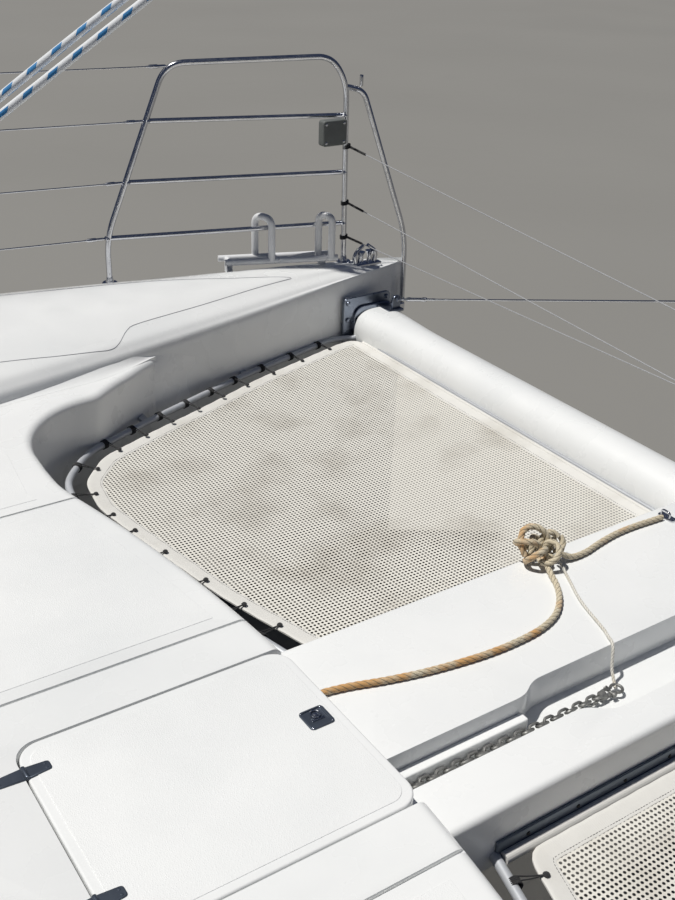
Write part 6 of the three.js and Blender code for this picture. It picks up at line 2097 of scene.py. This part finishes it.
rig = [mast_shape()] + [foil_spreader(s) for s in (-1, 1)]
rig.append(bar((0.96, 1.34), (-0.130, 0.130), (2.655, 2.721), 0.012))
rig.append(bar((0.920, 1.310), (-0.022, 0.022), (17.180, 17.240), 0.008))
gooseneck = [bar((0.980, 1.10), (-0.026, 0.026), z, 0.004) for z in ((3.904, 3.9156), (3.9844, 3.996))]
bolt = [(0.018, -0.05), (0.018, -0.046), (0.012, -0.046), (0.012, 0.046), (0.018, 0.046), (0.018, 0.05)]
gooseneck.append(stood(bolt, (1.0, 0, 3.95), 20))
build("mast_section", joined(*rig, *gooseneck), alloy, instead_of=["mast"])
diamond = []
for s in (-1, 1):
    tip, root = (0.890, s * 0.905, 9.060), (1.150, s * 0.066, 4.7)
    diamond += [tube(np.array([(1.150, s * 0.055, 14.6), tip, (1.150, s * 0.064, 4.7)]), 0.0045, 10),
                screw(root, tip, 0.3, 0.011, 0.004),
                stood([(0.02, -0.02), (0.026, 0), (0.02, 0.02)], (0.890, s * 0.902, 9.060), 20)]
build("diamond_stays", joined(*diamond), steel)
shroud_foot, shroud_head = np.array([-0.050, 3.060, 1.440]), np.array([1.150, 0.0666, 15.300])
shroud_foot = shroud_foot + unit(shroud_head - shroud_foot) * 0.14
chainplate = panel("y", round_rect((-0.085, -0.015), (1.46, 1.650), 0.02, 5), 3.026, 3.046, 0.002, 2)
shroud = joined(tube(np.array([shroud_foot, shroud_head]), 0.005, 12),
                screw(shroud_foot, shroud_head, 0.36, 0.014, 0.005), chainplate)
pair("cap_shroud_wire", shroud, steel, "cap_shroud")

# %% Masthead gear, lights and winches on the mast
vane = np.array([
    (1.15, 17.352), (1.20, 17.345), (1.36, 17.353), (1.36, 17.357), (1.20, 17.365), (1.15, 17.358)])
masthead = [
    tube(np.array([(0.950, 0, 17.23), (0.950, 0, 17.650)]), np.array([0.006, 0.003]), 12),
    stood([(0.022, 0), (0.03, 0.01), (0.03, 0.05), (0.02, 0.06)], (1.10, 0, 17.24)),
    tube(np.array([(1.29, 0, 17.23), (1.29, 0, 17.36)]), 0.004, 10),
    panel("y", vane, -0.002, 0.002, 0.0008, 1),
]
build("masthead_gear", joined(*masthead), black_plastic)
steaming = stood([(0.02, 0), (0.034, 0.006), (0.034, 0.05), (0.02, 0.06)], (1.275, 0, 8.2), 28)
build(
    "steaming_light", joined(steaming, bar((1.24, 1.28), (-0.02, 0.02), (8.185, 8.2), 0.003)),
    smooth_white)
WINCH = [
    (0.040, 0), (0.040, 0.012), (0.052, 0.02), (0.052, 0.03), (0.035, 0.045), (0.032, 0.08),
    (0.035, 0.105), (0.048, 0.115), (0.050, 0.122), (0.044, 0.128), (0.044, 0.140), (0.036, 0.146),
    (0.012, 0.147)]


def winch(at, out, scale=1.0):
    return turned([(r * scale, d * scale) for r, d in WINCH], at, np.array(at) + out, 40)


mast_winches = [winch((1.15, s * 0.062, 3.45), (0, s, 0), 0.8) for s in (1, -1)]
build("mast_winches", joined(*mast_winches), steel)

# %% Boom, sail bag and mainsail
BOOM = dict(z=3.950, radius=0.075, fore=0.940, aft=-3.810)


def boom_shape():
    a = np.linspace(0, TAU, 48, endpoint=False)
    x = np.array([0, 0.004, 0.010, 2.4, 4.74, 4.746, 4.75])
    scale = np.array([0.93, 0.985, 1, 1, 1, 0.985, 0.93])
    points = np.stack(
        [
            np.broadcast_to((BOOM["fore"] - x)[:, None], (7, 48)),
            BOOM["radius"] * scale[:, None] * np.cos(a),
            BOOM["z"] + BOOM["radius"] * scale[:, None] * np.sin(a)],
        axis=2)
    return grid(points[::-1], around=True, ends=True)


eye = [(0.0127, -0.034), (0.024, -0.034), (0.024, 0.034), (0.0127, 0.034)]
boom_eye = [
    stood(eye, (1.0, 0, BOOM["z"]), 32), bar((0.930, 0.982), (-0.016, 0.016), (3.918, 3.982), 0.004)]
staple = ((-0.03, 0.06), (-0.03, 0.13), (0.03, 0.13), (0.03, 0.06))
bails = [pipe([(x + u, 0, BOOM["z"] - v) for u, v in staple], 0.006, 0.025, 14) for x in (-3.0, -0.6)]
build(
    "boom_section", joined(boom_shape(), *boom_eye, *bails), alloy, body="boom",
    instead_of=["boom"])

BAG = np.array([
    # x, half width, top
    (0.860, 0.150, 4.570), (0.100, 0.185, 4.490), (-2.000, 0.165, 4.350), (-3.600, 0.110, 4.210),
])


def bag_at(x):
    """Half width and top of the bag at places x."""
    return faired(np.atleast_1d(x), BAG[::-1, 0], BAG[::-1, 1:]).T


def bag_side(x, side):
    """One flank of the bag, from the boom's side up to the zip: its width follows sin along the height,
    with shallow folds that hang between the lazy jacks."""
    half, top = bag_at(x)
    t = np.linspace(0, 1, 22)
    low = BOOM["z"] + 0.02
    t2, x2 = np.meshgrid(t, x)
    full = np.interp(t, [0, 0.12, 0.35, 0.6, 0.85, 1], [0.0, 0.45, 1.0, 1.0, 0.72, 0.15])
    width = (BOOM["radius"] + 0.006) * (1 - np.minimum(t / 0.12, 1)) + half[:, None] * full
    folds = (0.006 * np.sin(x2 * 11 + 5 * t2) + 0.004 * np.sin(x2 * 23 - 9 * t2)) * np.sin(math.pi * t2)
    z = low + (top[:, None] - low) * t[None] + 0.004 * np.sin(x2 * 9)
    return np.stack([x2, side * (width + folds), z], axis=2)


bag_x = np.linspace(BAG[0, 0], BAG[-1, 0], 150)
flanks = np.concatenate([bag_side(bag_x, 1), bag_side(bag_x, -1)[:, ::-1]], axis=1)
build(
    "sail_bag_cover", grid(flanks, around=True, ends=True), canvas, body="boom",
    instead_of=["sail_bag"])
zip_x = np.linspace(0.84, -3.58, 60)
zip_top = bag_at(zip_x)[1]
zipper = tube(np.column_stack([zip_x, np.zeros(60), zip_top + 0.004 * np.sin(zip_x * 9) + 0.001]), 0.006, 8)
build("sail_bag_zip", zipper, black_plastic, body="boom")

# %% Furled headsail
STAY_FOOT, STAY_HEAD = np.array([5.663, 0, 1.3823]), np.array([1.259, 0, 15.300])
STAY = unit(STAY_HEAD - STAY_FOOT)
STAY_SIDE = np.array([0.0, 1.0, 0.0])
STAY_OVER = np.cross(STAY, STAY_SIDE)


def furled():
    """The roll's radius is a smooth profile along the stay, plus a sharp step that winds round it: the
    free edge of the outermost layer, and a soft wrinkle under the sheet's turns."""
    s = np.concatenate([np.linspace(0.50, 1.6, 60), np.linspace(1.62, 12.95, 420)])
    a = np.linspace(0, TAU, 40, endpoint=False)
    profile = np.interp(
        s, [0.5, 0.56, 0.66, 1.5, 5.0, 10.0, 12.6, 12.95],
        [0.016, 0.045, 0.058, 0.080, 0.072, 0.048, 0.024, 0.011])
    phase = (a[None] / TAU - s[:, None] / 1.35) % 1.0
    step = 0.055 * profile[:, None] * phase
    wrinkle = 0.012 * profile[:, None] * np.sin(5 * a[None] + 9 * s[:, None])
    radius = profile[:, None] + step + wrinkle
    round_it = np.cos(a)[:, None] * STAY_SIDE + np.sin(a)[:, None] * STAY_OVER
    points = STAY_FOOT + s[:, None, None] * STAY + radius[..., None] * round_it
    uv = np.stack([np.broadcast_to(s[:, None], phase.shape), phase], axis=2).reshape(-1, 2)
    return grid(points, around=True, ends=True), uv


roll_shape, roll_uv = furled()
roll_cloth = Finish("rolled headsail", (0.78, 0.78, 0.75), 0.8, Sheen_Weight=0.1)
band = roll_cloth.between(roll_cloth.axis("Y", "UV"), 0.52, 0.54)
roll_cloth.colour(roll_cloth.mix(band, (0.78, 0.78, 0.75), (0.42, 0.44, 0.46)))
roll_cloth.bump(roll_cloth.noise(0.03, detail=4), 0.002)
build(
    "headsail_roll", roll_shape, roll_cloth.material, instead_of=["furled_headsail"],
    uv=roll_uv)
drum = turned(
    [
        (0.010, 0), (0.010, 0.188), (0.092, 0.190), (0.095, 0.196), (0.092, 0.204), (0.041, 0.210),
        (0.040, 0.256), (0.092, 0.261), (0.095, 0.267), (0.092, 0.273), (0.030, 0.276), (0.024, 0.32),
        (0.014, 0.34), (0.014, 0.52)],
    STAY_FOOT, STAY_HEAD, 40)
top_stay = turned(
    [(0.010, 12.9), (0.026, 12.92), (0.026, 13.02), (0.008, 13.05), (0.005, 13.06), (0.005, 14.59)],
    STAY_FOOT, STAY_HEAD, 20)
stay_foot = bar((5.633, 5.693), (-0.012, 0.012), (1.374, 1.442), 0.004)
build("furling_drum", joined(drum, top_stay, stay_foot), steel)
turns = np.linspace(0, TAU * 7, 260)
round_it = np.cos(turns)[:, None] * STAY_SIDE + np.sin(turns)[:, None] * STAY_OVER
line_turns = STAY_FOOT + STAY * (0.214 + 0.038 * turns / turns[-1])[:, None] + 0.045 * round_it
build("furling_line_turns", tube(line_turns, 0.0032, 8), black_cord)

# %% [markdown]
# ## Engine bays, drives and rudders
# Under a lid in each hull's aft deck stands a small diesel. It turns a propeller on a leg that passes
# through the bottom, and a balanced rudder hangs behind it. Legs and blades are foils: one round-nosed
# section, scaled from station to station, gives all of them.

# %% Lids, hatches, legs, propellers and rudders
def foil(chord, thick, count=40):
    """Closed foil section with its nose at x = 0 and its tail at x = -chord: along the chord by share u,
    the half thickness follows 1.48 (sqrt(u) - u) + 0.6 (u - u ** 2) - 0.5 (u ** 2 - u ** 3)."""
    u = (1 - np.cos(np.linspace(0, math.pi, count // 2))) / 2
    half = 1.48 * (np.sqrt(u) - u) + 0.6 * (u - u**2) - 0.5 * (u**2 - u**3)
    half = half / half.max() * thick / 2
    x = np.concatenate([-chord * u, -chord * u[-2:0:-1]])
    return np.column_stack([x, np.concatenate([half, -half[-2:0:-1]])])


def foil_stack(levels):
    """A loft of foils: each level is (z, x of the nose, chord, thickness)."""
    rows = []
    for z, nose, chord, thick in levels:
        section = foil(chord, thick)
        rows.append(
            np.column_stack([section[:, 0] + nose, HULL_Y + section[:, 1], np.full(len(section), z)]))
    return grid(np.array(rows), around=True, ends=True)


lid_outline = round_rect((-4.600, -3.720), (2.110, 2.810), 0.06, 8)
engine_lid_shape = joined(
    plate(lid_outline, LID_Z - 0.0293, LID_Z, 0.006, 4),
    plate(
        round_rect((-4.560, -3.760), (2.150, 2.770), 0.035, 6), LID_Z - 0.0005, LID_Z + 0.0012, 0.0009, 3)
)
pair("engine_lid_moulding", engine_lid_shape, deck_white, "engine_lid", body="engine_lid_")
lift = joined(
    plate(round_rect((-4.545, -4.475), (2.425, 2.495), 0.012, 6), LID_Z, LID_Z + 0.0035, 0.0015, 3),
    tube(
        np.column_stack([circle(0.014, 28), np.full(28, 0.0052)]) + [-4.510, 2.460, LID_Z], 0.0022, 10,
        closed=True),
    heads([(x, y, LID_Z + 0.0032) for x in (-4.538, -4.482) for y in (2.432, 2.488)], UP, 0.0034, 0.0012))
pair("engine_lid_ring", lift, steel, body="engine_lid_")


def hatch(x, y, z, width=0.046):
    """A hatch: a frame, which is one section carried round a rounded rectangle, and its tinted pane."""
    outer = round_rect(x, y, 0.060, 8)
    inner = round_rect((x[0] + width, x[1] - width), (y[0] + width, y[1] - width), 0.030, 8)
    loops = [
        (outer, z[0]), (outer, z[1] - 0.010), (inset(outer, 0.004), z[1] - 0.003),
        (inset(outer, 0.010), z[1]), (inset(inner, -0.004), z[1]), (inner, z[1] - 0.004), (inner, z[0])]
    section = np.array([np.column_stack([ring, np.full(len(ring), level)]) for ring, level in loops])
    pane = plate(inset(inner, -0.0004), z[0] + 0.004, z[1] - 0.006, 0.002, 3, both=True)
    return grid(section, around=True, along=True), pane


hatch_frame, hatch_pane = hatch(HATCH["x"], HATCH["y"], HATCH["z"])
hatch_catch = [
    stood([(0.016, 0), (0.016, 0.003), (0.008, 0.006)], (2.430, y, 1.6455), 20) for y in (2.36, 2.56)]
pair("hatch_lid_frame", hatch_frame, alloy, "hatch_lid", body="hatch_lid_")
pair("hatch_lid_pane", hatch_pane, tinted, body="hatch_lid_")
pair("hatch_lid_catch", joined(*hatch_catch), black_plastic, body="hatch_lid_")

DRIVE_X, SHAFT_Z = -3.850, -0.640
SADDLE = [
    (-0.300, 0.050, 0.400, 0.118), (-0.360, 0.030, 0.360, 0.098), (-0.440, 0.010, 0.300, 0.076),
    (-0.560, -0.006, 0.262, 0.062), (-0.640, -0.012, 0.250, 0.058), (-0.690, -0.020, 0.235, 0.050),
    (-0.702, -0.030, 0.205, 0.030)]
POD = [(0.012, 0), (0.030, 0.020), (0.048, 0.060), (0.058, 0.12), (0.062, 0.20), (0.061, 0.30),
       (0.054, 0.36), (0.044, 0.405), (0.038, 0.419)]
leg = foil_stack([(z, DRIVE_X + 0.146 + shift, chord, thick) for z, shift, chord, thick in SADDLE][::-1])
pod = turned(POD, (DRIVE_X + 0.140, HULL_Y, SHAFT_Z), (-5, HULL_Y, SHAFT_Z), 36)
drive_paint = plain("drive leg paint", (0.09, 0.10, 0.11), 0.45, size=0.01)
pair("saildrive_leg", joined(leg, pod), drive_paint, "saildrive")

PROP = dict(x=-4.180, radius=0.205)


def blade(turn):
    """A propeller blade: at each share of the radius a thin section, wide in the middle and round at the
    tip, set at the angle whose tangent is pitch / (2 pi r)."""
    s = np.linspace(0, 1, 15)
    radius = 0.030 + (PROP["radius"] - 0.0305) * s
    chord = 0.100 * np.sqrt(np.clip(1 - ((s - 0.52) / 0.53) ** 2, 0.0016, 1)) * (0.75 + 0.35 * s)
    thick = 0.010 * (1 - 0.75 * s)
    angle = np.arctan(0.24 / (TAU * radius))
    u = np.linspace(0, TAU, 24, endpoint=False)
    along, over = np.cos(u)[None] * chord[:, None] / 2, np.sin(u)[None] * thick[:, None] / 2
    x = along * np.sin(angle)[:, None] + over * np.cos(angle)[:, None]
    round_it = along * np.cos(angle)[:, None] - over * np.sin(angle)[:, None]
    phi = turn + round_it / radius[:, None]
    y, z = HULL_Y + radius[:, None] * np.sin(phi), SHAFT_Z + radius[:, None] * np.cos(phi)
    return grid(np.stack([PROP["x"] - 0.010 + x, y, z], axis=2), around=True, ends=True)


hub = turned([(0.030, -0.060), (0.020, -0.058), (0.034, -0.045), (0.042, -0.020), (0.042, 0.0497)],
             (PROP["x"], HULL_Y, SHAFT_Z), (5, HULL_Y, SHAFT_Z), 36)
bronze = plain("propeller bronze", (0.45, 0.30, 0.14), 0.3, size=0.01, metallic=1.0)
pair(
    "propeller_blades", joined(hub, *[blade(math.radians(t)) for t in (0, 120, 240)]), bronze,
    "propeller", body="propeller_")

RUDDER_LEVELS = [
    (-1.000, 0.110, 0.320, 0.030), (-0.985, 0.116, 0.345, 0.042), (-0.940, 0.118, 0.360, 0.048),
    (-0.620, 0.124, 0.430, 0.058), (-0.300, 0.130, 0.498, 0.067), (-0.262, 0.130, 0.500, 0.066),
    (-0.250, 0.126, 0.492, 0.056)]
STOCK_X = -5.055
rudder_blade = foil_stack([(z, STOCK_X + nose, chord, thick) for z, nose, chord, thick in RUDDER_LEVELS])
stock = stood([(0.020, -0.7), (0.020, 0.1185)], (STOCK_X, HULL_Y, 0), 28)
rudder_paint = plain("antifouled rudder", (0.06, 0.075, 0.095), 0.6, size=0.03)
pair("rudder_foil", joined(rudder_blade, stock), rudder_paint, "rudder", body="rudder_")
print("drives and rudders done")

# %% [markdown]
# ### Engines
# The diesel is only seen when a lid is open. A cast block with a rocker cover, a belt drive at the front,
# a header tank, a filter and two hoses give its look, all within the simple solid's box.

# %% Engines
def boxes(rows):
    """Bars from rows of (low and high x, low and high distance from the hull's middle, heights, edge)."""
    return [bar(x, (HULL_Y + y[0], HULL_Y + y[1]), z, edge) for x, y, z, edge in rows]


def engine_shape():
    """Block, head, rocker cover and sump, with a rail and two feet on each side."""
    cast = boxes([
        ((-4.400, -3.960), (-0.150, 0.150), (0.330, 0.640), 0.02),
        ((-4.370, -3.990), (-0.105, 0.105), (0.630, 0.760), 0.03),
        ((-4.350, -4.010), (-0.075, 0.075), (0.750, 0.800), 0.02),
        ((-4.420, -3.940), (-0.120, 0.120), (0.262, 0.345), 0.03),
    ])
    rails = boxes([((-4.470, -3.910), (s * 0.190 - 0.026, s * 0.190 + 0.026), (0.2503, 0.345), 0.008)
                   for s in (-1, 1)])
    feet = boxes([((x, x + 0.07), y, (0.345, 0.385), 0.008)
                  for y in ((-0.22, -0.14), (0.14, 0.22)) for x in (-4.38, -4.06)])
    return joined(*cast, *rails, *feet)


def engine_gear():
    """Three belt wheels, an alternator, a belt round them, two hoses, a header tank and a filter."""
    def at(x, off, z):
        return x, HULL_Y + off, z

    sheave = np.array([(1, 0), (1, 0.008), (0.9, 0.012), (0.9, 0.02), (1, 0.024), (1, 0.032)])
    shapes = []
    for radius, off, z in ((0.085, 0.0, 0.42), (0.055, -0.02, 0.66), (0.036, 0.125, 0.60)):
        profile = np.vstack([sheave * [radius, 1], [0.02, 0.034]])
        shapes.append(turned(profile, at(-3.945, off, z), at(5, off, z), 36))
    shapes.append(turned([(0.02, 0), (0.055, 0.01), (0.055, 0.10), (0.04, 0.12)], at(-3.955, 0.125, 0.60),
                         at(-5, 0.125, 0.60), 28))
    a = np.linspace(0, TAU, 40, endpoint=False)
    belt_y = HULL_Y + 0.045 + 0.115 * np.cos(a) * (1 - 0.2 * np.sin(a))
    belt = np.column_stack([np.full(40, -3.929), belt_y, 0.535 + 0.165 * np.sin(a)])
    coolant = [(-4.10, -0.10, 0.70), (-4.10, -0.17, 0.70), (-4.30, -0.17, 0.52), (-4.42, -0.17, 0.36)]
    exhaust = [(-4.30, 0.02, 0.78), (-4.30, 0.02, 0.86), (-4.44, 0.10, 0.84), (-4.45, 0.16, 0.40)]
    tank = [(0.05, 0), (0.055, 0.01), (0.055, 0.07), (0.02, 0.085), (0.024, 0.09), (0.024, 0.1)]
    oil_filter = [(0.038, 0), (0.042, 0.006), (0.042, 0.09), (0.03, 0.1)]
    return joined(
        *shapes, tube(belt, 0.005, 8, closed=True), pipe([at(*p) for p in coolant], 0.016, 0.06),
        pipe([at(*p) for p in exhaust], 0.022, 0.08), stood(tank, at(-4.02, -0.06, 0.795), 28),
        turned(oil_filter, at(-4.12, 0.145, 0.50), at(-4.12, 1, 0.50), 24))


engine_paint = plain("engine enamel", (0.16, 0.19, 0.21), 0.4, size=0.01, vary=0.2)
pair("engine_block", engine_shape(), engine_paint, "engine")
pair("engine_gear", engine_gear(), black_plastic)

# %% [markdown]
# ## Running rigging
# Two white braided sheets with blue tracers run from the headsail's clew past the eye of the photograph
# to blocks on the side deck. A braid's tracer is a pair of short dashes that repeats along the line, so
# the material reads the length along the line and the angle round it from the piece's own map.

# %% Jib sheets with their blocks
braid = Finish("white braid with blue tracer", (0.74, 0.76, 0.78), 0.75, Sheen_Weight=0.2)
DASHES = 20.0  # a metre of line
TRACERS = 3.0  # round it
run = braid.math("FRACT", braid.math("MULTIPLY", braid.axis("X", "UV"), DASHES))
round_part = braid.math("FRACT", braid.math("MULTIPLY", braid.axis("Y", "UV"), TRACERS))
slant = braid.math("FRACT", braid.math("ADD", run, braid.math("MULTIPLY", round_part, 0.35)))
on_run = braid.math("LESS_THAN", slant, 0.40)
off_middle = braid.math("ABSOLUTE", braid.math("SUBTRACT", round_part, 0.5))
on_round = braid.math("LESS_THAN", off_middle, 0.26)
blue = braid.math("MULTIPLY", on_run, on_round)
braid.colour(braid.mix(blue, (0.74, 0.76, 0.78), (0.03, 0.22, 0.50)))
braid.bump(braid.noise(0.0015, detail=2), 0.0002)
white_plain = plain("plain white line", (0.70, 0.70, 0.68), 0.8, size=0.003)
CLEW = (4.830, -0.050, 3.800)


def sheet_line(points, radius=0.007, step=0.02, sides=14):
    """A round line with a map of (length along it, share of the way round it)."""
    path = evenly(bent(points, 0.25, 10), step)
    share = np.arange(sides) / sides
    uv = np.stack(np.broadcast_arrays(measured(path)[:, None], share[None]), axis=2).reshape(-1, 2)
    return tube(path, radius, sides), uv


def block_on(at, towards, size=0.036):
    """A block: two rounded cheeks with a sheave between them, hung from an eye."""
    axis = unit(np.array(towards, float) - at)
    side = unit(np.cross(axis, UP if abs(axis[2]) < 0.9 else (1, 0, 0)))
    middle = np.array(at) + axis * size * 1.15
    cheek = [(size * 0.82, 0), (size, 0.003), (size * 0.9, 0.006), (size * 0.4, 0.008)]
    cheeks = [turned(cheek, middle + s * side * 0.008, middle + s * side, 28) for s in (-1, 1)]
    sheave = turned(
        [(size * 0.8, -0.008), (size * 0.66, 0), (size * 0.8, 0.008)], middle, middle + side, 28)
    return joined(*cheeks, sheave, tube(np.array([at, middle]), 0.007, 12))


SHEET_ROUTES = (
    # foot at the block, the point that the photograph shows, and the clew
    ((2.215, 0.560, 1.915), (3.495, 0.190, 2.916), CLEW),
    ((2.205, 0.610, 1.900), (3.505, 0.170, 2.900), CLEW),
)
CLEAT_AT = np.array([2.520, 0.610, DECK_TOP])
lines, maps, blocks = [], [], []
EYE_FOOT = [(0.03, -0.03), (0.03, 0.004), (0.012, 0.01), (0.009, 0.03)]
for k, route in enumerate(SHEET_ROUTES):
    tail = [route[0], (2.285, 0.585 + 0.03 * k, 1.62), (2.380, 0.600 + 0.02 * k, 1.512),
            CLEAT_AT + [-0.03, 0.012 * k, 0.040]]
    for shape, uv in (sheet_line(route), sheet_line(tail)):
        lines.append(shape)
        maps.append(uv)
    eye = np.array(route[0]) + [0.035, 0.012, -0.075]
    blocks += [block_on(eye, route[0]), turned(EYE_FOOT, eye - [0.03, 0, 0.012], eye, 20)]
share = np.linspace(0, 1, 150)
a = 2 * TAU * share  # figures of eight round the cleat
wound = np.column_stack([
    0.052 * np.sin(a), 0.013 * np.sin(2 * a + 0.6), 0.034 + 0.020 * share + 0.006 * np.cos(2 * a)])
wound_shape, wound_uv = sheet_line((CLEAT_AT + wound)[::6], step=0.008)
a = np.linspace(0, TAU, 28, endpoint=False)
bowlines = []
for k in (0, 1):
    loop = np.column_stack([0.010 + 0.024 * np.cos(a), 0.012 * np.cos(a + k), 0.024 * np.sin(a) - 0.02 * k])
    bowlines.append(tube(loop + CLEW, 0.007, 12, closed=True))
knot_uv = np.full((sum(len(b[0]) for b in bowlines), 2), 0.97)
sheets = build("jib_sheets", joined(*lines, wound_shape, *bowlines), braid.material,
               uv=np.concatenate(maps + [wound_uv, knot_uv]))
sheets.visible_shadow = False  # the photograph has no shadow of them on the lid
build("jib_sheet_blocks", joined(*blocks), black_plastic)
build("foredeck_cleat", cleat(CLEAT_AT + [0, 0, 0.001]), steel)

# %% [markdown]
# ### Lines from the mast and hard top to the boom
# The mainsheet, the lazy jacks that hold up the sail bag and the topping lift each start on the mast or
# the hard top and end on the boom. Each is built where it lies at rest and rides on no body.

# %% Mainsheet, lazy jacks, topping lift
def between_bodies(name, shape, finish, uv=None):
    """A line that rides on no body, with its mesh baked where it lies."""
    made = build(name, shape, finish, body=None, uv=uv)
    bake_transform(made)
    return made


TRAVELLER = np.array([-3.000, 0.0, 3.110])
track = [bar((-3.022, -2.978), (-1.350, 1.350), (3.105, 3.128), 0.004),
         bar((-3.040, -2.960), (-0.075, 0.075), (3.126, 3.152), 0.008)]
track += [bar((-3.030, -2.970), (s * 1.32 - 0.03, s * 1.32 + 0.03), (3.11, 3.146), 0.01) for s in (-1, 1)]
build("mainsheet_track", joined(*track), alloy)
low_block, high_block = TRAVELLER + [0, 0, 0.040], np.array([-3.000, 0, BOOM["z"] - 0.137])
build("mainsheet_lower_block", block_on(low_block, high_block, 0.042), black_plastic)
build("mainsheet_upper_block", block_on(high_block, low_block, 0.042), black_plastic, body="boom")
falls, fall_maps = zip(*[
    sheet_line([low_block + [u, v, 0.055], high_block + [u, v, -0.055]], 0.006)
    for u in (-0.034, 0.034) for v in (-0.012, 0.012)])
between_bodies("mainsheet", joined(*falls), braid.material,
               uv=np.concatenate(fall_maps))
JACK_LEGS = (0.350, -1.350, -3.050)
for side, name in ((1, "port"), (-1, "starboard")):
    top, split = np.array([1.130, side * 0.075, 9.600]), np.array([-0.900, side * 0.160, 6.300])
    wide, high = bag_at(JACK_LEGS)
    ends = np.column_stack([JACK_LEGS, side * (wide * 0.78 + 0.012), high - 0.06])
    legs = [tube(np.array(leg), 0.003, 8) for leg in [(top, split)] + [(split, end) for end in ends]]
    between_bodies("lazy_jack_" + name, joined(*legs), black_cord)
    patches = [moved(bar((-0.03, 0.03), (-0.004, 0.004), (-0.035, 0.035), 0.002), end) for end in ends]
    build("lazy_jack_patch_" + name, joined(*patches), black_rubber, body="boom")
lift_line = tube(np.array([(1.020, 0, 17.160), (-3.780, 0, BOOM["z"] + BOOM["radius"] - 0.004)]), 0.004, 10)
between_bodies("topping_lift", lift_line, white_plain)

# %% Halyards, clutches, winches, grab rails and roof hatches
ROOF_Z = 2.695
halyards, halyard_maps = [], []
for side in (-1, 1):
    for k, y in enumerate((0.024, 0.050)):
        run = [(1.040, side * y, 17.170), (1.022, side * y, 10.0), (1.022, side * (y + 0.03), 2.800)]
        clutch_y = side * (0.350 + 0.085 * k)
        deck_run = [
            (1.015, side * (y + 0.035), 2.745), (0.620, clutch_y, ROOF_Z + 0.024),
            (-0.960, clutch_y, ROOF_Z + 0.022)]
        for shape, uv in (
            sheet_line(run, 0.005, 0.2, 10), sheet_line(bent(deck_run, 0.1), 0.005, 0.05, 10)):
            halyards.append(shape)
            halyard_maps.append(uv)
build("halyards", joined(*halyards), braid.material, uv=np.concatenate(halyard_maps))
SMALL_SHEAVE = [(0.026, -0.012), (0.030, -0.008), (0.022, 0), (0.030, 0.008), (0.026, 0.012)]
SPOOL = [(0.026, 0), (0.018, 0.008), (0.018, 0.014), (0.026, 0.022)]
CLUTCHES_Y = (0.35, 0.435)
gear = []
for s in (-1, 1):
    gear += [
        turned(SMALL_SHEAVE, (1.015, s * y, 2.772), (1.015, s * (y + 1), 2.772)) for y in (0.057, 0.083)]
    gear.append(
        bar((0.585, 0.655), (s * 0.39 - 0.09, s * 0.39 + 0.09), (ROOF_Z - 0.010, ROOF_Z + 0.012), 0.004))
    for y in CLUTCHES_Y:
        gear += [
            stood(SPOOL, (0.62, s * y, ROOF_Z + 0.012)),
            bar((-1.120, -0.950), (s * y - 0.030, s * y + 0.030), (ROOF_Z - 0.012, ROOF_Z + 0.045), 0.008),
            bar((-1.085, -1.000), (s * y - 0.012, s * y + 0.012), (ROOF_Z + 0.040, ROOF_Z + 0.062), 0.006),
        ]
build("roof_line_gear", joined(*gear), black_plastic)
roof_winches = [winch((-1.420, s * 0.395, ROOF_Z - 0.004), UP, 1.1) for s in (-1, 1)]
build("roof_winches", joined(*roof_winches), steel)
GRAB = dict(x=(-1.450, 0.150), y=1.250)
rail_foot = [(0.028, -0.01), (0.028, 0.004), (0.013, 0.010), (0.0125, 0.05)]
rail_feet = [stood(rail_foot, (x, GRAB["y"], 2.668)) for x in (GRAB["x"][0], -0.650, GRAB["x"][1])]
grab = pipe(
    [(GRAB["x"][i], GRAB["y"], z) for i, z in ((0, 2.660), (0, 2.728), (1, 2.728), (1, 2.660))],
    RAIL_TUBE, 0.05)
pair("roof_grab_rail", joined(grab, *rail_feet), steel)
roof_frame, roof_pane = hatch((-0.260, 0.260), (0.560, 1.020), (2.650, 2.722))
pair("roof_hatch_frame", roof_frame, alloy)
pair("roof_hatch_pane", roof_pane, tinted)
print("rigging and roof gear done")
